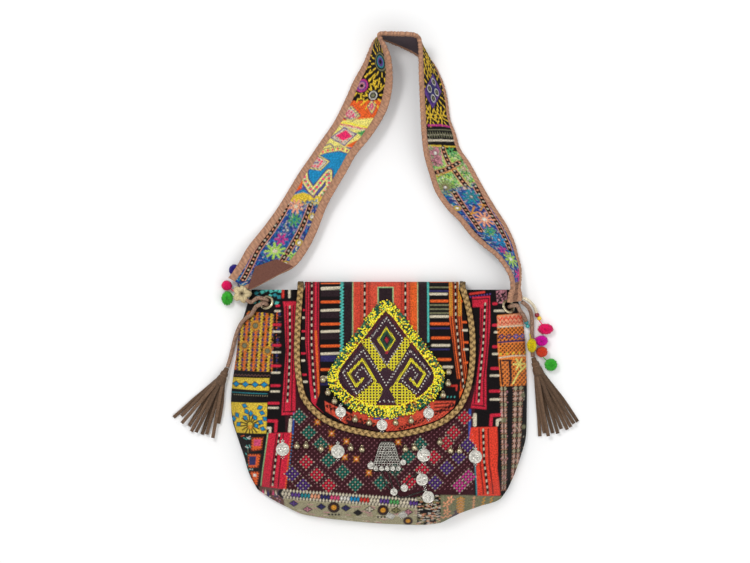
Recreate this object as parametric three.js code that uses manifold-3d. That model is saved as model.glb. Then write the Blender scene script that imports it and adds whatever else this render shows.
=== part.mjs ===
// A patchwork shoulder bag lying on its back, with its strap laid out above it.
// Millimetres. +Z is up from the floor through the front of the bag, +Y runs from the bag's bottom to its strap,
// and the origin is on the floor, midway along the bag and strap and midway across the bag.

import * as THREE from 'three';
import { mergeVertices } from 'three/addons/utils/BufferGeometryUtils.js';
import Module from 'manifold-3d';

const wasm = await Module();
wasm.setup();

// Driving sizes of the bag's body
const BODY_WIDTH = 361;
const BODY_HEIGHT = 287;
const BODY_DEPTH = 46;
const MOUTH_DEPTH = 21;
const CLOTH = 2.4;
const EDGE_HEIGHT = 5;
const LEFT_GUSSET = 43;
const RIGHT_GUSSET = 36;
const BOTTOM_GUSSET = 30;
const CAVITY_INSET = 4;

// Driving sizes of the flap, its braid and the beaded patch
const FLAP_WIDTH = 203;
const FLAP_DROP = 171;
const FLAP_SHIFT = 7;
const FLAP_THICKNESS = 3;
const FOLD_REACH = 9;
const FLAP_LIFT = 0.6;
const BRAID_RADIUS = 3.9;
const PATCH_WIDTH = 141;
const PATCH_HEIGHT = 142;
const PATCH_SHIFT = 8.5;
const PATCH_BELOW_MOUTH = 13;
const PATCH_THICKNESS = 3.4;
const RIM_HEIGHT = 7;

// Driving sizes of the strap
const STRAP_RISE = 312;
const STRAP_WIDTH = 54;
const STRAP_THICKNESS = 3.2;

// Driving sizes of the metal trim, the cords and what hangs on them
const EYELET_RADIUS = 9.2;
const EYELET_BORE = 5.6;
const EYELET_HEIGHT = 1.5;
const EYELET_WALL = 0.9;
const BELL_RADIUS = 3.9;
const FLAP_COIN_RADIUS = 6.6;
const FRONT_COIN_RADIUS = 8.2;
const DROP_COIN_RADIUS = 7.4;
const HEM_COIN_RADIUS = 5.6;
const COIN_THICKNESS = 1.4;
const PENDANT_BELOW_FLAP = 13;
const PENDANT_HEIGHT = 34;
const PENDANT_TOP = 19;
const PENDANT_BOTTOM = 34;
const PENDANT_THICKNESS = 2.2;
const PENDANT_NECK = 5;
const PENDANT_FLARE = 1;
const PENDANT_BOSS = 2.3;
const CHAIN_WIRE = 1.1;
const CORD_DIAMETER = 5;
const CREAM_CORD_DIAMETER = 3.8;
const TASSEL_LENGTH = 102;
const TASSEL_STRIP_WIDTH = 4.2;
const TASSEL_STRIP_THICKNESS = 1.6;
const TASSEL_HEAD_RADIUS = 6.4;
const KNOT_RADIUS = 10.2;
const THREAD_RADIUS = 0.7;
const GAP = 0.35;
const COIN_LIFT = 0.45;
const HEM_COIN_LIFT = 0.1;
const PENDANT_LIFT = 0.85;

const HALF_WIDTH = BODY_WIDTH / 2;
const MOUTH_Y = BODY_HEIGHT - (BODY_HEIGHT + STRAP_RISE) / 2;
const ROUND = 2 * Math.PI;

const bag = new THREE.Group();

const FINISHES = {
  patchwork: { color: 0x3a2228, roughness: 0.9, metalness: 0 },
  flapCloth: { color: 0xb4442f, roughness: 0.9, metalness: 0 },
  braid: { color: 0xb08a55, roughness: 0.7, metalness: 0 },
  beads: { color: 0xe6d51f, roughness: 0.35, metalness: 0 },
  darkBeads: { color: 0x3a1a2a, roughness: 0.35, metalness: 0 },
  strapCloth: { color: 0x2f5fa8, roughness: 0.9, metalness: 0 },
  lining: { color: 0x4a3a42, roughness: 0.9, metalness: 0 },
  agedBrass: { color: 0x8d7b50, roughness: 0.45, metalness: 0.9 },
  silver: { color: 0xb9b6ae, roughness: 0.4, metalness: 0.9 },
  brownCord: { color: 0x8a6a4c, roughness: 0.85, metalness: 0 },
  creamCord: { color: 0xd9c8a0, roughness: 0.85, metalness: 0 },
  suede: { color: 0x5c4a38, roughness: 0.9, metalness: 0 },
  navy: { color: 0x2a1a80, roughness: 0.95, metalness: 0 },
  pink: { color: 0xff1070, roughness: 0.95, metalness: 0 },
  magenta: { color: 0xe810c0, roughness: 0.95, metalness: 0 },
  green: { color: 0x4cc83c, roughness: 0.95, metalness: 0 },
  orange: { color: 0xf0502d, roughness: 0.95, metalness: 0 },
  yellow: { color: 0xf4d010, roughness: 0.95, metalness: 0 },
  teal: { color: 0x2a7f86, roughness: 0.3, metalness: 0 },
  red: { color: 0xb81a33, roughness: 0.3, metalness: 0 },
};

function addPiece(name, geometry, finish) {
  const piece = new THREE.Mesh(geometry, new THREE.MeshStandardMaterial(FINISHES[finish]));
  piece.name = name;
  bag.add(piece);
  return piece;
}

function clamp01(value) {
  return Math.min(1, Math.max(0, value));
}

// A smooth curve through a short table's rows, read by one column and giving another
function tableCurve(rows, from, to) {
  const slopes = rows.map((row, i) => {
    const before = rows[Math.max(0, i - 1)];
    const after = rows[Math.min(rows.length - 1, i + 1)];
    return (after[to] - before[to]) / (after[from] - before[from]);
  });
  return (at) => {
    const last = rows.length - 2;
    let i = 0;
    while (i < last && at > rows[i + 1][from]) i += 1;
    const [a, b] = [rows[i], rows[i + 1]];
    const span = b[from] - a[from];
    const t = clamp01((at - a[from]) / span);
    const rise = b[to] - a[to];
    const bendIn = slopes[i] * span - rise;
    const bendOut = rise - slopes[i + 1] * span;
    return a[to] + rise * t + t * (1 - t) * (bendIn * (1 - t) + bendOut * t);
  };
}

// A closed solid between a front grid and a back grid of points, each grid[row][column]
function slab(front, back) {
  const rows = front.length;
  const columns = front[0].length;
  const positions = [];
  for (const grid of [front, back]) {
    for (const row of grid) {
      for (const point of row) positions.push(point.x, point.y, point.z);
    }
  }
  const at = (side, row, column) => (side * rows + row) * columns + column;
  const faces = [];
  const quad = (a, b, c, d) => faces.push(a, b, c, a, c, d);
  for (let r = 0; r < rows - 1; r += 1) {
    for (let c = 0; c < columns - 1; c += 1) {
      quad(at(0, r, c), at(0, r, c + 1), at(0, r + 1, c + 1), at(0, r + 1, c));
      quad(at(1, r, c), at(1, r + 1, c), at(1, r + 1, c + 1), at(1, r, c + 1));
    }
    quad(at(0, r, 0), at(0, r + 1, 0), at(1, r + 1, 0), at(1, r, 0));
    quad(at(0, r, columns - 1), at(1, r, columns - 1), at(1, r + 1, columns - 1), at(0, r + 1, columns - 1));
  }
  for (let c = 0; c < columns - 1; c += 1) {
    quad(at(0, 0, c), at(1, 0, c), at(1, 0, c + 1), at(0, 0, c + 1));
    quad(at(0, rows - 1, c), at(0, rows - 1, c + 1), at(1, rows - 1, c + 1), at(1, rows - 1, c));
  }
  return facingOut(positions, faces);
}

function facingOut(positions, faces) {
  let volume = 0;
  const corner = (i) => new THREE.Vector3().fromArray(positions, faces[i] * 3);
  for (let i = 0; i < faces.length; i += 3) {
    volume += corner(i).dot(corner(i + 1).cross(corner(i + 2)));
  }
  if (volume < 0) {
    for (let i = 0; i < faces.length; i += 3) {
      [faces[i + 1], faces[i + 2]] = [faces[i + 2], faces[i + 1]];
    }
  }
  const geometry = new THREE.BufferGeometry();
  geometry.setAttribute('position', new THREE.Float32BufferAttribute(positions, 3));
  geometry.setIndex(faces);
  return geometry;
}

// A ring of sections that closes on itself
function closedRing(sections) {
  const count = sections[0].length;
  const positions = sections.flat().flatMap((point) => [point.x, point.y, point.z]);
  const faces = [];
  sections.forEach((_, r) => {
    const next = (r + 1) % sections.length;
    for (let c = 0; c < count; c += 1) {
      const side = (c + 1) % count;
      faces.push(r * count + c, r * count + side, next * count + side);
      faces.push(r * count + c, next * count + side, next * count + c);
    }
  });
  return facingOut(positions, faces);
}

// A tube with closed ends. With no steps given, its sections stand at the points themselves.
function tubeAlong(points, radius, sides, steps = 0) {
  const section = new THREE.Shape();
  for (let i = 0; i < sides; i += 1) {
    const angle = (i / sides) * ROUND;
    const point = [radius * Math.cos(angle), radius * Math.sin(angle)];
    if (i === 0) section.moveTo(...point);
    else section.lineTo(...point);
  }
  section.closePath();
  const extrudePath = new THREE.CatmullRomCurve3(points, false, 'centripetal');
  if (!steps) extrudePath.getUtoTmapping = (u) => u;
  return new THREE.ExtrudeGeometry(section, {
    steps: steps || points.length - 1,
    extrudePath,
    bevelEnabled: false,
  });
}

function toSolid(geometry) {
  const bare = geometry.clone();
  bare.deleteAttribute('normal');
  bare.deleteAttribute('uv');
  const merged = mergeVertices(bare, 1e-4);
  return new wasm.Manifold(
    new wasm.Mesh({
      numProp: 3,
      vertProperties: new Float32Array(merged.attributes.position.array),
      triVerts: new Uint32Array(merged.index.array),
    }),
  );
}

function toGeometry(solid) {
  const mesh = solid.getMesh();
  const geometry = new THREE.BufferGeometry();
  geometry.setAttribute('position', new THREE.BufferAttribute(mesh.vertProperties.slice(), 3));
  geometry.setIndex(new THREE.BufferAttribute(mesh.triVerts.slice(), 1));
  return geometry;
}

function join(geometries) {
  const [first, ...rest] = geometries.map(toSolid);
  return toGeometry(rest.reduce((whole, piece) => whole.add(piece), first));
}

function cut(geometry, tools) {
  return toGeometry(tools.map(toSolid).reduce((whole, tool) => whole.subtract(tool), toSolid(geometry)));
}

// Body outline: how far each side stands out from the middle, going down from the mouth
const LEFT_SIDE = [
  { down: 0.0, out: 0.858 },
  { down: 0.081, out: 0.899 },
  { down: 0.183, out: 0.946 },
  { down: 0.285, out: 0.967 },
  { down: 0.451, out: 1.0 },
  { down: 0.553, out: 0.993 },
  { down: 0.638, out: 0.953 },
  { down: 0.715, out: 0.912 },
  { down: 0.787, out: 0.878 },
  { down: 0.851, out: 0.824 },
];
const RIGHT_SIDE = [
  { down: 0.0, out: 0.905 },
  { down: 0.081, out: 0.959 },
  { down: 0.183, out: 0.983 },
  { down: 0.362, out: 1.0 },
  { down: 0.553, out: 1.0 },
  { down: 0.638, out: 0.993 },
  { down: 0.715, out: 0.959 },
  { down: 0.787, out: 0.919 },
  { down: 0.851, out: 0.872 },
];
const BOTTOM_EDGE = [
  { across: -0.824, down: 0.851 },
  { across: -0.723, down: 0.894 },
  { across: -0.635, down: 0.923 },
  { across: -0.514, down: 0.957 },
  { across: -0.2, down: 0.985 },
  { across: 0.14, down: 1.0 },
  { across: 0.4, down: 0.996 },
  { across: 0.534, down: 0.957 },
  { across: 0.682, down: 0.923 },
  { across: 0.818, down: 0.894 },
  { across: 0.872, down: 0.851 },
];
// How far the body has swelled from its mouth's depth to its full depth
const SWELL = [
  { down: 0.0, full: 0.0 },
  { down: 0.12, full: 0.42 },
  { down: 0.25, full: 0.74 },
  { down: 0.45, full: 1.0 },
  { down: 0.8, full: 1.0 },
  { down: 1.0, full: 0.94 },
];
const CORNER_DOWN = 0.851;
const CROWN = 0.08;

const leftOut = tableCurve(LEFT_SIDE, 'down', 'out');
const rightOut = tableCurve(RIGHT_SIDE, 'down', 'out');
const bottomDown = tableCurve(BOTTOM_EDGE, 'across', 'down');
const swell = tableCurve(SWELL, 'down', 'full');

function bodyPlace(across, down) {
  return { x: across * HALF_WIDTH, y: MOUTH_Y - down * BODY_HEIGHT };
}

function gussetRise(distance, gusset) {
  const t = clamp01(distance / gusset);
  return t * (2 - t);
}

// Height of the unpierced front cloth above the floor
function smoothClothHeight(x, y) {
  const across = x / HALF_WIDTH;
  const down = clamp01((MOUTH_Y - y) / BODY_HEIGHT);
  const fromLeft = (across + leftOut(down)) * HALF_WIDTH;
  const fromRight = (rightOut(down) - across) * HALF_WIDTH;
  const fromBottom = (bottomDown(across) - down) * BODY_HEIGHT;
  const depth = MOUTH_DEPTH + (BODY_DEPTH - MOUTH_DEPTH) * swell(down) * (1 - CROWN * across * across);
  const rise =
    gussetRise(fromLeft, LEFT_GUSSET) *
    gussetRise(fromRight, RIGHT_GUSSET) *
    gussetRise(fromBottom, BOTTOM_GUSSET);
  return EDGE_HEIGHT + (depth - EDGE_HEIGHT) * rise;
}

const EYELET_PLACES = [
  { name: 'eyelet_left', ...bodyPlace(-0.757, 0.055) },
  { name: 'eyelet_right', ...bodyPlace(0.872, 0.072) },
];
const SLOPE_STEP = 1;
const EYELET_SIDES = 12;
const HOLE_LENGTH = 6.5 * CLOTH;
const EYELET_LIP = 0.4;

function slopeAt(height, x, y) {
  return {
    alongX: (height(x + SLOPE_STEP, y) - height(x - SLOPE_STEP, y)) / (2 * SLOPE_STEP),
    alongY: (height(x, y + SLOPE_STEP) - height(x, y - SLOPE_STEP)) / (2 * SLOPE_STEP),
  };
}

const eyeletSeats = EYELET_PLACES.map((place) => ({
  ...place,
  z: smoothClothHeight(place.x, place.y),
  ...slopeAt(smoothClothHeight, place.x, place.y),
}));

// The front cloth, pressed flat round each eyelet
function clothHeight(x, y) {
  let z = smoothClothHeight(x, y);
  for (const seat of eyeletSeats) {
    const distance = Math.hypot(x - seat.x, y - seat.y);
    const flat = clamp01((1.7 * EYELET_RADIUS - distance) / (0.5 * EYELET_RADIUS));
    const plane = seat.z + seat.alongX * (x - seat.x) + seat.alongY * (y - seat.y);
    z += (plane - z) * flat;
  }
  return z;
}

function flapTopHeight(x, y) {
  return clothHeight(x, y) + FLAP_LIFT + FLAP_THICKNESS;
}

// A patch of cloth between four edges: top(u), bottom(u), left(v) and right(v)
function betweenEdges(edges, u, v) {
  const [top, bottom, left, right] = [edges.top(u), edges.bottom(u), edges.left(v), edges.right(v)];
  const corners = [edges.top(0), edges.top(1), edges.bottom(0), edges.bottom(1)];
  const blend = (axis) =>
    (1 - v) * top[axis] + v * bottom[axis] + (1 - u) * left[axis] + u * right[axis] -
    (1 - u) * (1 - v) * corners[0][axis] - u * (1 - v) * corners[1][axis] -
    (1 - u) * v * corners[2][axis] - u * v * corners[3][axis];
  return { x: blend('x'), y: blend('y') };
}

function bodyEdges(inset) {
  const side = (sign, out) => (v) => {
    const place = bodyPlace(sign * out(v * CORNER_DOWN), v * CORNER_DOWN);
    return { x: place.x - sign * inset, y: place.y + inset * v };
  };
  const [left, right] = [side(-1, leftOut), side(1, rightOut)];
  const [start, end] = [BOTTOM_EDGE[0].across, BOTTOM_EDGE[BOTTOM_EDGE.length - 1].across];
  return {
    left,
    right,
    top: (u) => ({ x: left(0).x + (right(0).x - left(0).x) * u, y: MOUTH_Y }),
    bottom: (u) => {
      const across = start + (end - start) * u;
      const place = bodyPlace(across, bottomDown(across));
      return { x: place.x + inset * (1 - 2 * u), y: place.y + inset };
    },
  };
}

// Parts of a span, closer together towards both its ends, or towards its far end alone
const closeAtEnds = (i, count) => 0.5 - 0.5 * Math.cos((Math.PI * i) / count);
const closeAtFarEnd = (i, count) => Math.sin((Math.PI * i) / (2 * count));

const BODY_COLUMNS = 18;
const BODY_ROWS = 13;
const CAVITY_COLUMNS = 12;
const CAVITY_ROWS = 9;
const CAVITY_REACH = 6;
const CAVITY_LEAST = 1;

function bodyGrid(inset, columns, rows, heightAt) {
  const edges = bodyEdges(inset);
  const grid = [];
  for (let r = 0; r <= rows; r += 1) {
    const row = [];
    for (let c = 0; c <= columns; c += 1) {
      const place = betweenEdges(edges, closeAtEnds(c, columns), closeAtFarEnd(r, rows));
      row.push(new THREE.Vector3(place.x, place.y, heightAt(place.x, place.y)));
    }
    grid.push(row);
  }
  return grid;
}

function bodyShell() {
  const front = bodyGrid(0, BODY_COLUMNS, BODY_ROWS, clothHeight);
  const back = bodyGrid(0, BODY_COLUMNS, BODY_ROWS, () => 0);
  const roof = (x, y) => Math.max(clothHeight(x, y) - 1.25 * CLOTH, CLOTH + CAVITY_LEAST);
  const cavityFront = bodyGrid(CAVITY_INSET, CAVITY_COLUMNS, CAVITY_ROWS, roof);
  const cavityBack = bodyGrid(CAVITY_INSET, CAVITY_COLUMNS, CAVITY_ROWS, () => CLOTH);
  for (const grid of [cavityFront, cavityBack]) {
    grid.unshift(grid[0].map((point) => point.clone().setY(MOUTH_Y + CAVITY_REACH)));
  }
  const holes = eyeletSeats.map((seat) => {
    const hole = new THREE.CylinderGeometry(holeRadius(), holeRadius(), HOLE_LENGTH, EYELET_SIDES);
    hole.rotateX(Math.PI / 2);
    return seated(hole, seat.x, seat.y, 0, clothHeight);
  });
  return cut(slab(front, back), [slab(cavityFront, cavityBack), ...holes]);
}

function holeRadius() {
  return EYELET_BORE + EYELET_WALL + 2 * GAP;
}

// Lays a shape that was made on the XY plane on a surface, lifted from it, and turned in that plane
function seated(geometry, x, y, lift, height, turn = 0) {
  const slope = slopeAt(height, x, y);
  const up = new THREE.Vector3(-slope.alongX, -slope.alongY, 1).normalize();
  const right = new THREE.Vector3(0, 1, 0).cross(up).normalize();
  const ahead = up.clone().cross(right);
  const frame = new THREE.Matrix4().makeBasis(right, ahead, up);
  const place = new THREE.Vector3(x, y, height(x, y)).addScaledVector(up, lift);
  const laid = geometry.clone().rotateZ(turn);
  laid.applyMatrix4(frame.setPosition(place));
  return laid;
}

addPiece('bag_body', bodyShell(), 'patchwork');

// Eyelets: a flanged ring through the cloth
function eyelet() {
  const barrel = EYELET_BORE + EYELET_WALL;
  const depth = CLOTH;
  const profile = [
    [EYELET_BORE, -depth],
    [barrel, -depth],
    [barrel, 0],
    [EYELET_RADIUS, 0],
    [EYELET_RADIUS - EYELET_LIP, 0.8 * EYELET_HEIGHT],
    [0.5 * (EYELET_RADIUS + barrel), EYELET_HEIGHT],
    [EYELET_BORE, 0.7 * EYELET_HEIGHT],
    [EYELET_BORE, -depth],
  ].map(([radius, z]) => new THREE.Vector2(radius, z));
  return new THREE.LatheGeometry(profile, EYELET_SIDES).rotateX(Math.PI / 2);
}
for (const seat of eyeletSeats) {
  addPiece(seat.name, seated(eyelet(), seat.x, seat.y, 2 * GAP, clothHeight), 'agedBrass');
}

// Flap outline, as shares of half its width and of its drop below the mouth
const FLAP_LEFT = [
  { drop: 0.0, out: -0.963 },
  { drop: 0.21, out: -0.988 },
  { drop: 0.45, out: -1.0 },
  { drop: 0.648, out: -0.976 },
];
const FLAP_RIGHT = [
  { drop: 0.0, out: 0.889 },
  { drop: 0.114, out: 0.946 },
  { drop: 0.285, out: 0.994 },
  { drop: 0.463, out: 1.0 },
  { drop: 0.598, out: 0.982 },
];
const FLAP_END = [
  { out: -0.976, drop: 0.648 },
  { out: -0.904, drop: 0.769 },
  { out: -0.706, drop: 0.886 },
  { out: -0.478, drop: 0.947 },
  { out: -0.237, drop: 0.982 },
  { out: -0.045, drop: 1.0 },
  { out: 0.183, drop: 0.993 },
  { out: 0.411, drop: 0.964 },
  { out: 0.64, drop: 0.915 },
  { out: 0.79, drop: 0.851 },
  { out: 0.874, drop: 0.79 },
  { out: 0.94, drop: 0.697 },
  { out: 0.982, drop: 0.598 },
];

function flapPlace(out, drop) {
  return { x: FLAP_SHIFT + (out * FLAP_WIDTH) / 2, y: MOUTH_Y - drop * FLAP_DROP };
}

const flapEndCurve = new THREE.SplineCurve(
  FLAP_END.map(({ out, drop }) => {
    const place = flapPlace(out, drop);
    return new THREE.Vector2(place.x, place.y);
  }),
);

function flapSide(rows) {
  const outAt = tableCurve(rows, 'drop', 'out');
  const length = rows[rows.length - 1].drop;
  return (v) => flapPlace(outAt(v * length), v * length);
}

const flapEdges = {
  left: flapSide(FLAP_LEFT),
  right: flapSide(FLAP_RIGHT),
  top: (u) => flapPlace(FLAP_LEFT[0].out + (FLAP_RIGHT[0].out - FLAP_LEFT[0].out) * u, 0),
  bottom: (u) => flapEndCurve.getPointAt(u),
};

const FLAP_COLUMNS = 10;
const FLAP_ROWS = 12;
const FOLD_ROWS = 6;

// A point of the fold over the mouth, from the back's top edge (turn 0) to the front (turn 1)
function foldPoint(x, turn, isOuter) {
  const skin = isOuter ? 0 : FLAP_THICKNESS;
  const top = clothHeight(x, MOUTH_Y) + FLAP_LIFT + FLAP_THICKNESS - skin;
  const middle = (top + skin) / 2;
  const angle = Math.PI * (turn - 0.5);
  return new THREE.Vector3(
    x,
    MOUTH_Y + GAP + (FOLD_REACH - skin) * Math.cos(angle),
    middle + (top - middle) * Math.sin(angle),
  );
}

function flapSheet() {
  const grids = [true, false].map((isOuter) => {
    const grid = [];
    for (let r = 0; r <= FOLD_ROWS; r += 1) {
      const row = [];
      for (let c = 0; c <= FLAP_COLUMNS; c += 1) {
        row.push(foldPoint(flapEdges.top(c / FLAP_COLUMNS).x, r / FOLD_ROWS, isOuter));
      }
      grid.push(row);
    }
    for (let r = 1; r <= FLAP_ROWS; r += 1) {
      const row = [];
      for (let c = 0; c <= FLAP_COLUMNS; c += 1) {
        const { x, y } = betweenEdges(flapEdges, c / FLAP_COLUMNS, closeAtFarEnd(r, FLAP_ROWS));
        row.push(new THREE.Vector3(x, y, clothHeight(x, y) + FLAP_LIFT + (isOuter ? FLAP_THICKNESS : 0)));
      }
      grid.push(row);
    }
    return grid;
  });
  return slab(...grids);
}
addPiece('flap', flapSheet(), 'flapCloth');

// The braid follows the flap's edge just outside it, over the fold at both sides
const BRAID_REACH = BRAID_RADIUS + 3 * GAP;
const BRAID_TURNS = [0.3, 0.5, 0.7];
const BRAID_STOPS = [0.08, 0.24, 0.45, 0.68, 0.9];
const BRAID_SLOPE_STEP = 0.04;
const BRAID_LIP = 1.6;
const BRAID_OFF_FLOOR = 0.2;
const BRAID_END_POINTS = 19;

function braidAlong(place, outward) {
  const x = place.x + outward.x * BRAID_REACH;
  const y = place.y + outward.y * BRAID_REACH;
  return new THREE.Vector3(x, y, clothHeight(x, y) + BRAID_RADIUS + 2 * GAP);
}

// One side of the braid, from the back of the fold forward and down
function braidSide(edge, sign) {
  const x = edge(0).x + sign * BRAID_REACH;
  const fold = BRAID_TURNS.map((turn) => {
    const point = foldPoint(x, turn, true).lerp(foldPoint(x, turn, false), 0.5);
    return point.setZ(Math.max(point.z, BRAID_RADIUS + BRAID_OFF_FLOOR));
  });
  const lip = new THREE.Vector3(x, MOUTH_Y + BRAID_LIP, clothHeight(x, MOUTH_Y) + BRAID_RADIUS + 2 * GAP);
  const front = BRAID_STOPS.map((v) => {
    const [before, after] = [edge(v - BRAID_SLOPE_STEP), edge(v + BRAID_SLOPE_STEP)];
    const run = new THREE.Vector2(after.x - before.x, after.y - before.y).normalize();
    return braidAlong(edge(v), { x: -sign * run.y, y: sign * run.x });
  });
  return [...fold, lip, ...front];
}

function braidRoute() {
  const end = Array.from({ length: BRAID_END_POINTS }, (_, i) => {
    const share = (i + 1) / (BRAID_END_POINTS + 1);
    const tangent = flapEndCurve.getTangentAt(share);
    return braidAlong(flapEndCurve.getPointAt(share), { x: tangent.y, y: -tangent.x });
  });
  return [...braidSide(flapEdges.left, -1), ...end, ...braidSide(flapEdges.right, 1).toReversed()];
}
addPiece('flap_braid', tubeAlong(braidRoute(), BRAID_RADIUS, 8), 'braid');

// Beaded patch: a teardrop, widest below its middle. Each row pairs a point of its rim's outer edge with one of
// its inner edge, as shares of the patch's half width and of its height.
const PATCH_ROWS = [
  { outHalf: 0.0, outDrop: 0.0, inHalf: 0.0, inDrop: 0.13 },
  { outHalf: 0.155, outDrop: 0.038, inHalf: 0.09, inDrop: 0.175 },
  { outHalf: 0.3, outDrop: 0.124, inHalf: 0.2, inDrop: 0.25 },
  { outHalf: 0.51, outDrop: 0.261, inHalf: 0.36, inDrop: 0.355 },
  { outHalf: 0.777, outDrop: 0.438, inHalf: 0.58, inDrop: 0.49 },
  { outHalf: 0.95, outDrop: 0.57, inHalf: 0.73, inDrop: 0.59 },
  { outHalf: 1.0, outDrop: 0.656, inHalf: 0.76, inDrop: 0.65 },
  { outHalf: 0.95, outDrop: 0.75, inHalf: 0.7, inDrop: 0.72 },
  { outHalf: 0.743, outDrop: 0.877, inHalf: 0.52, inDrop: 0.79 },
  { outHalf: 0.475, outDrop: 0.955, inHalf: 0.3, inDrop: 0.84 },
  { outHalf: 0.22, outDrop: 0.99, inHalf: 0.14, inDrop: 0.865 },
  { outHalf: 0.0, outDrop: 1.0, inHalf: 0.0, inDrop: 0.87 },
];
const PATCH_SPOKES = 44;

function patchLoop(half, drop) {
  const place = (row, sign) =>
    new THREE.Vector3(
      PATCH_SHIFT + (sign * row[half] * PATCH_WIDTH) / 2,
      MOUTH_Y - PATCH_BELOW_MOUTH - row[drop] * PATCH_HEIGHT,
      0,
    );
  const right = PATCH_ROWS.map((row) => place(row, 1));
  const left = PATCH_ROWS.slice(1, -1).toReversed().map((row) => place(row, -1));
  return new THREE.CatmullRomCurve3([...right, ...left], true, 'centripetal');
}

const spokes = (curve) => Array.from({ length: PATCH_SPOKES }, (_, i) => curve.getPoint(i / PATCH_SPOKES));
const rimOutline = patchLoop('outHalf', 'outDrop');
const rimOuterEdge = spokes(rimOutline);
const rimInnerEdge = spokes(patchLoop('inHalf', 'inDrop'));

const PATCH_RINGS = [0, 0.5, 1];
const PATCH_LIFT = 2 * GAP;

function patchPad() {
  const middle = new THREE.Vector3(PATCH_SHIFT, MOUTH_Y - PATCH_BELOW_MOUTH - 0.58 * PATCH_HEIGHT, 0);
  const surface = (lift) =>
    PATCH_RINGS.map((ring) =>
      rimInnerEdge.map((edge) => {
        const point = middle.clone().lerp(edge, ring);
        return point.setZ(flapTopHeight(point.x, point.y) + lift);
      }),
    );
  const [bottom, top] = [surface(PATCH_LIFT), surface(PATCH_LIFT + PATCH_THICKNESS)];
  const positions = [];
  const faces = [];
  const add = (point) => positions.push(point.x, point.y, point.z) / 3 - 1;
  const [low, high] = [bottom, top].map((rings) => ({
    middle: add(rings[0][0]),
    rings: rings.slice(1).map((ring) => ring.map(add)),
  }));
  for (let i = 0; i < PATCH_SPOKES; i += 1) {
    const next = (i + 1) % PATCH_SPOKES;
    faces.push(high.middle, high.rings[0][next], high.rings[0][i]);
    faces.push(low.middle, low.rings[0][i], low.rings[0][next]);
    const bands = [
      [high.rings[0], high.rings[1]],
      [high.rings[1], low.rings[1]],
      [low.rings[1], low.rings[0]],
    ];
    for (const [inner, outer] of bands) {
      faces.push(inner[i], inner[next], outer[next]);
      faces.push(inner[i], outer[next], outer[i]);
    }
  }
  return facingOut(positions, faces);
}
addPiece('bead_patch', patchPad(), 'darkBeads');

// The rim's section, from its inner edge (across 0) to its outer edge (across 1)
const RIM_SECTION = [
  { across: 0.04, up: 0.1 },
  { across: 0.16, up: 0.8 },
  { across: 0.5, up: 1.0 },
  { across: 0.86, up: 0.8 },
  { across: 1, up: 0.1 },
  { across: 0.8, up: 0 },
  { across: 0.2, up: 0 },
];

function patchRim() {
  return closedRing(
    rimInnerEdge.map((inner, i) =>
      RIM_SECTION.map(({ across, up }) => {
        const point = inner.clone().lerp(rimOuterEdge[i], across);
        return point.setZ(flapTopHeight(point.x, point.y) + PATCH_LIFT + up * RIM_HEIGHT);
      }),
    ),
  );
}
addPiece('bead_patch_rim', patchRim(), 'beads');

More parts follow.
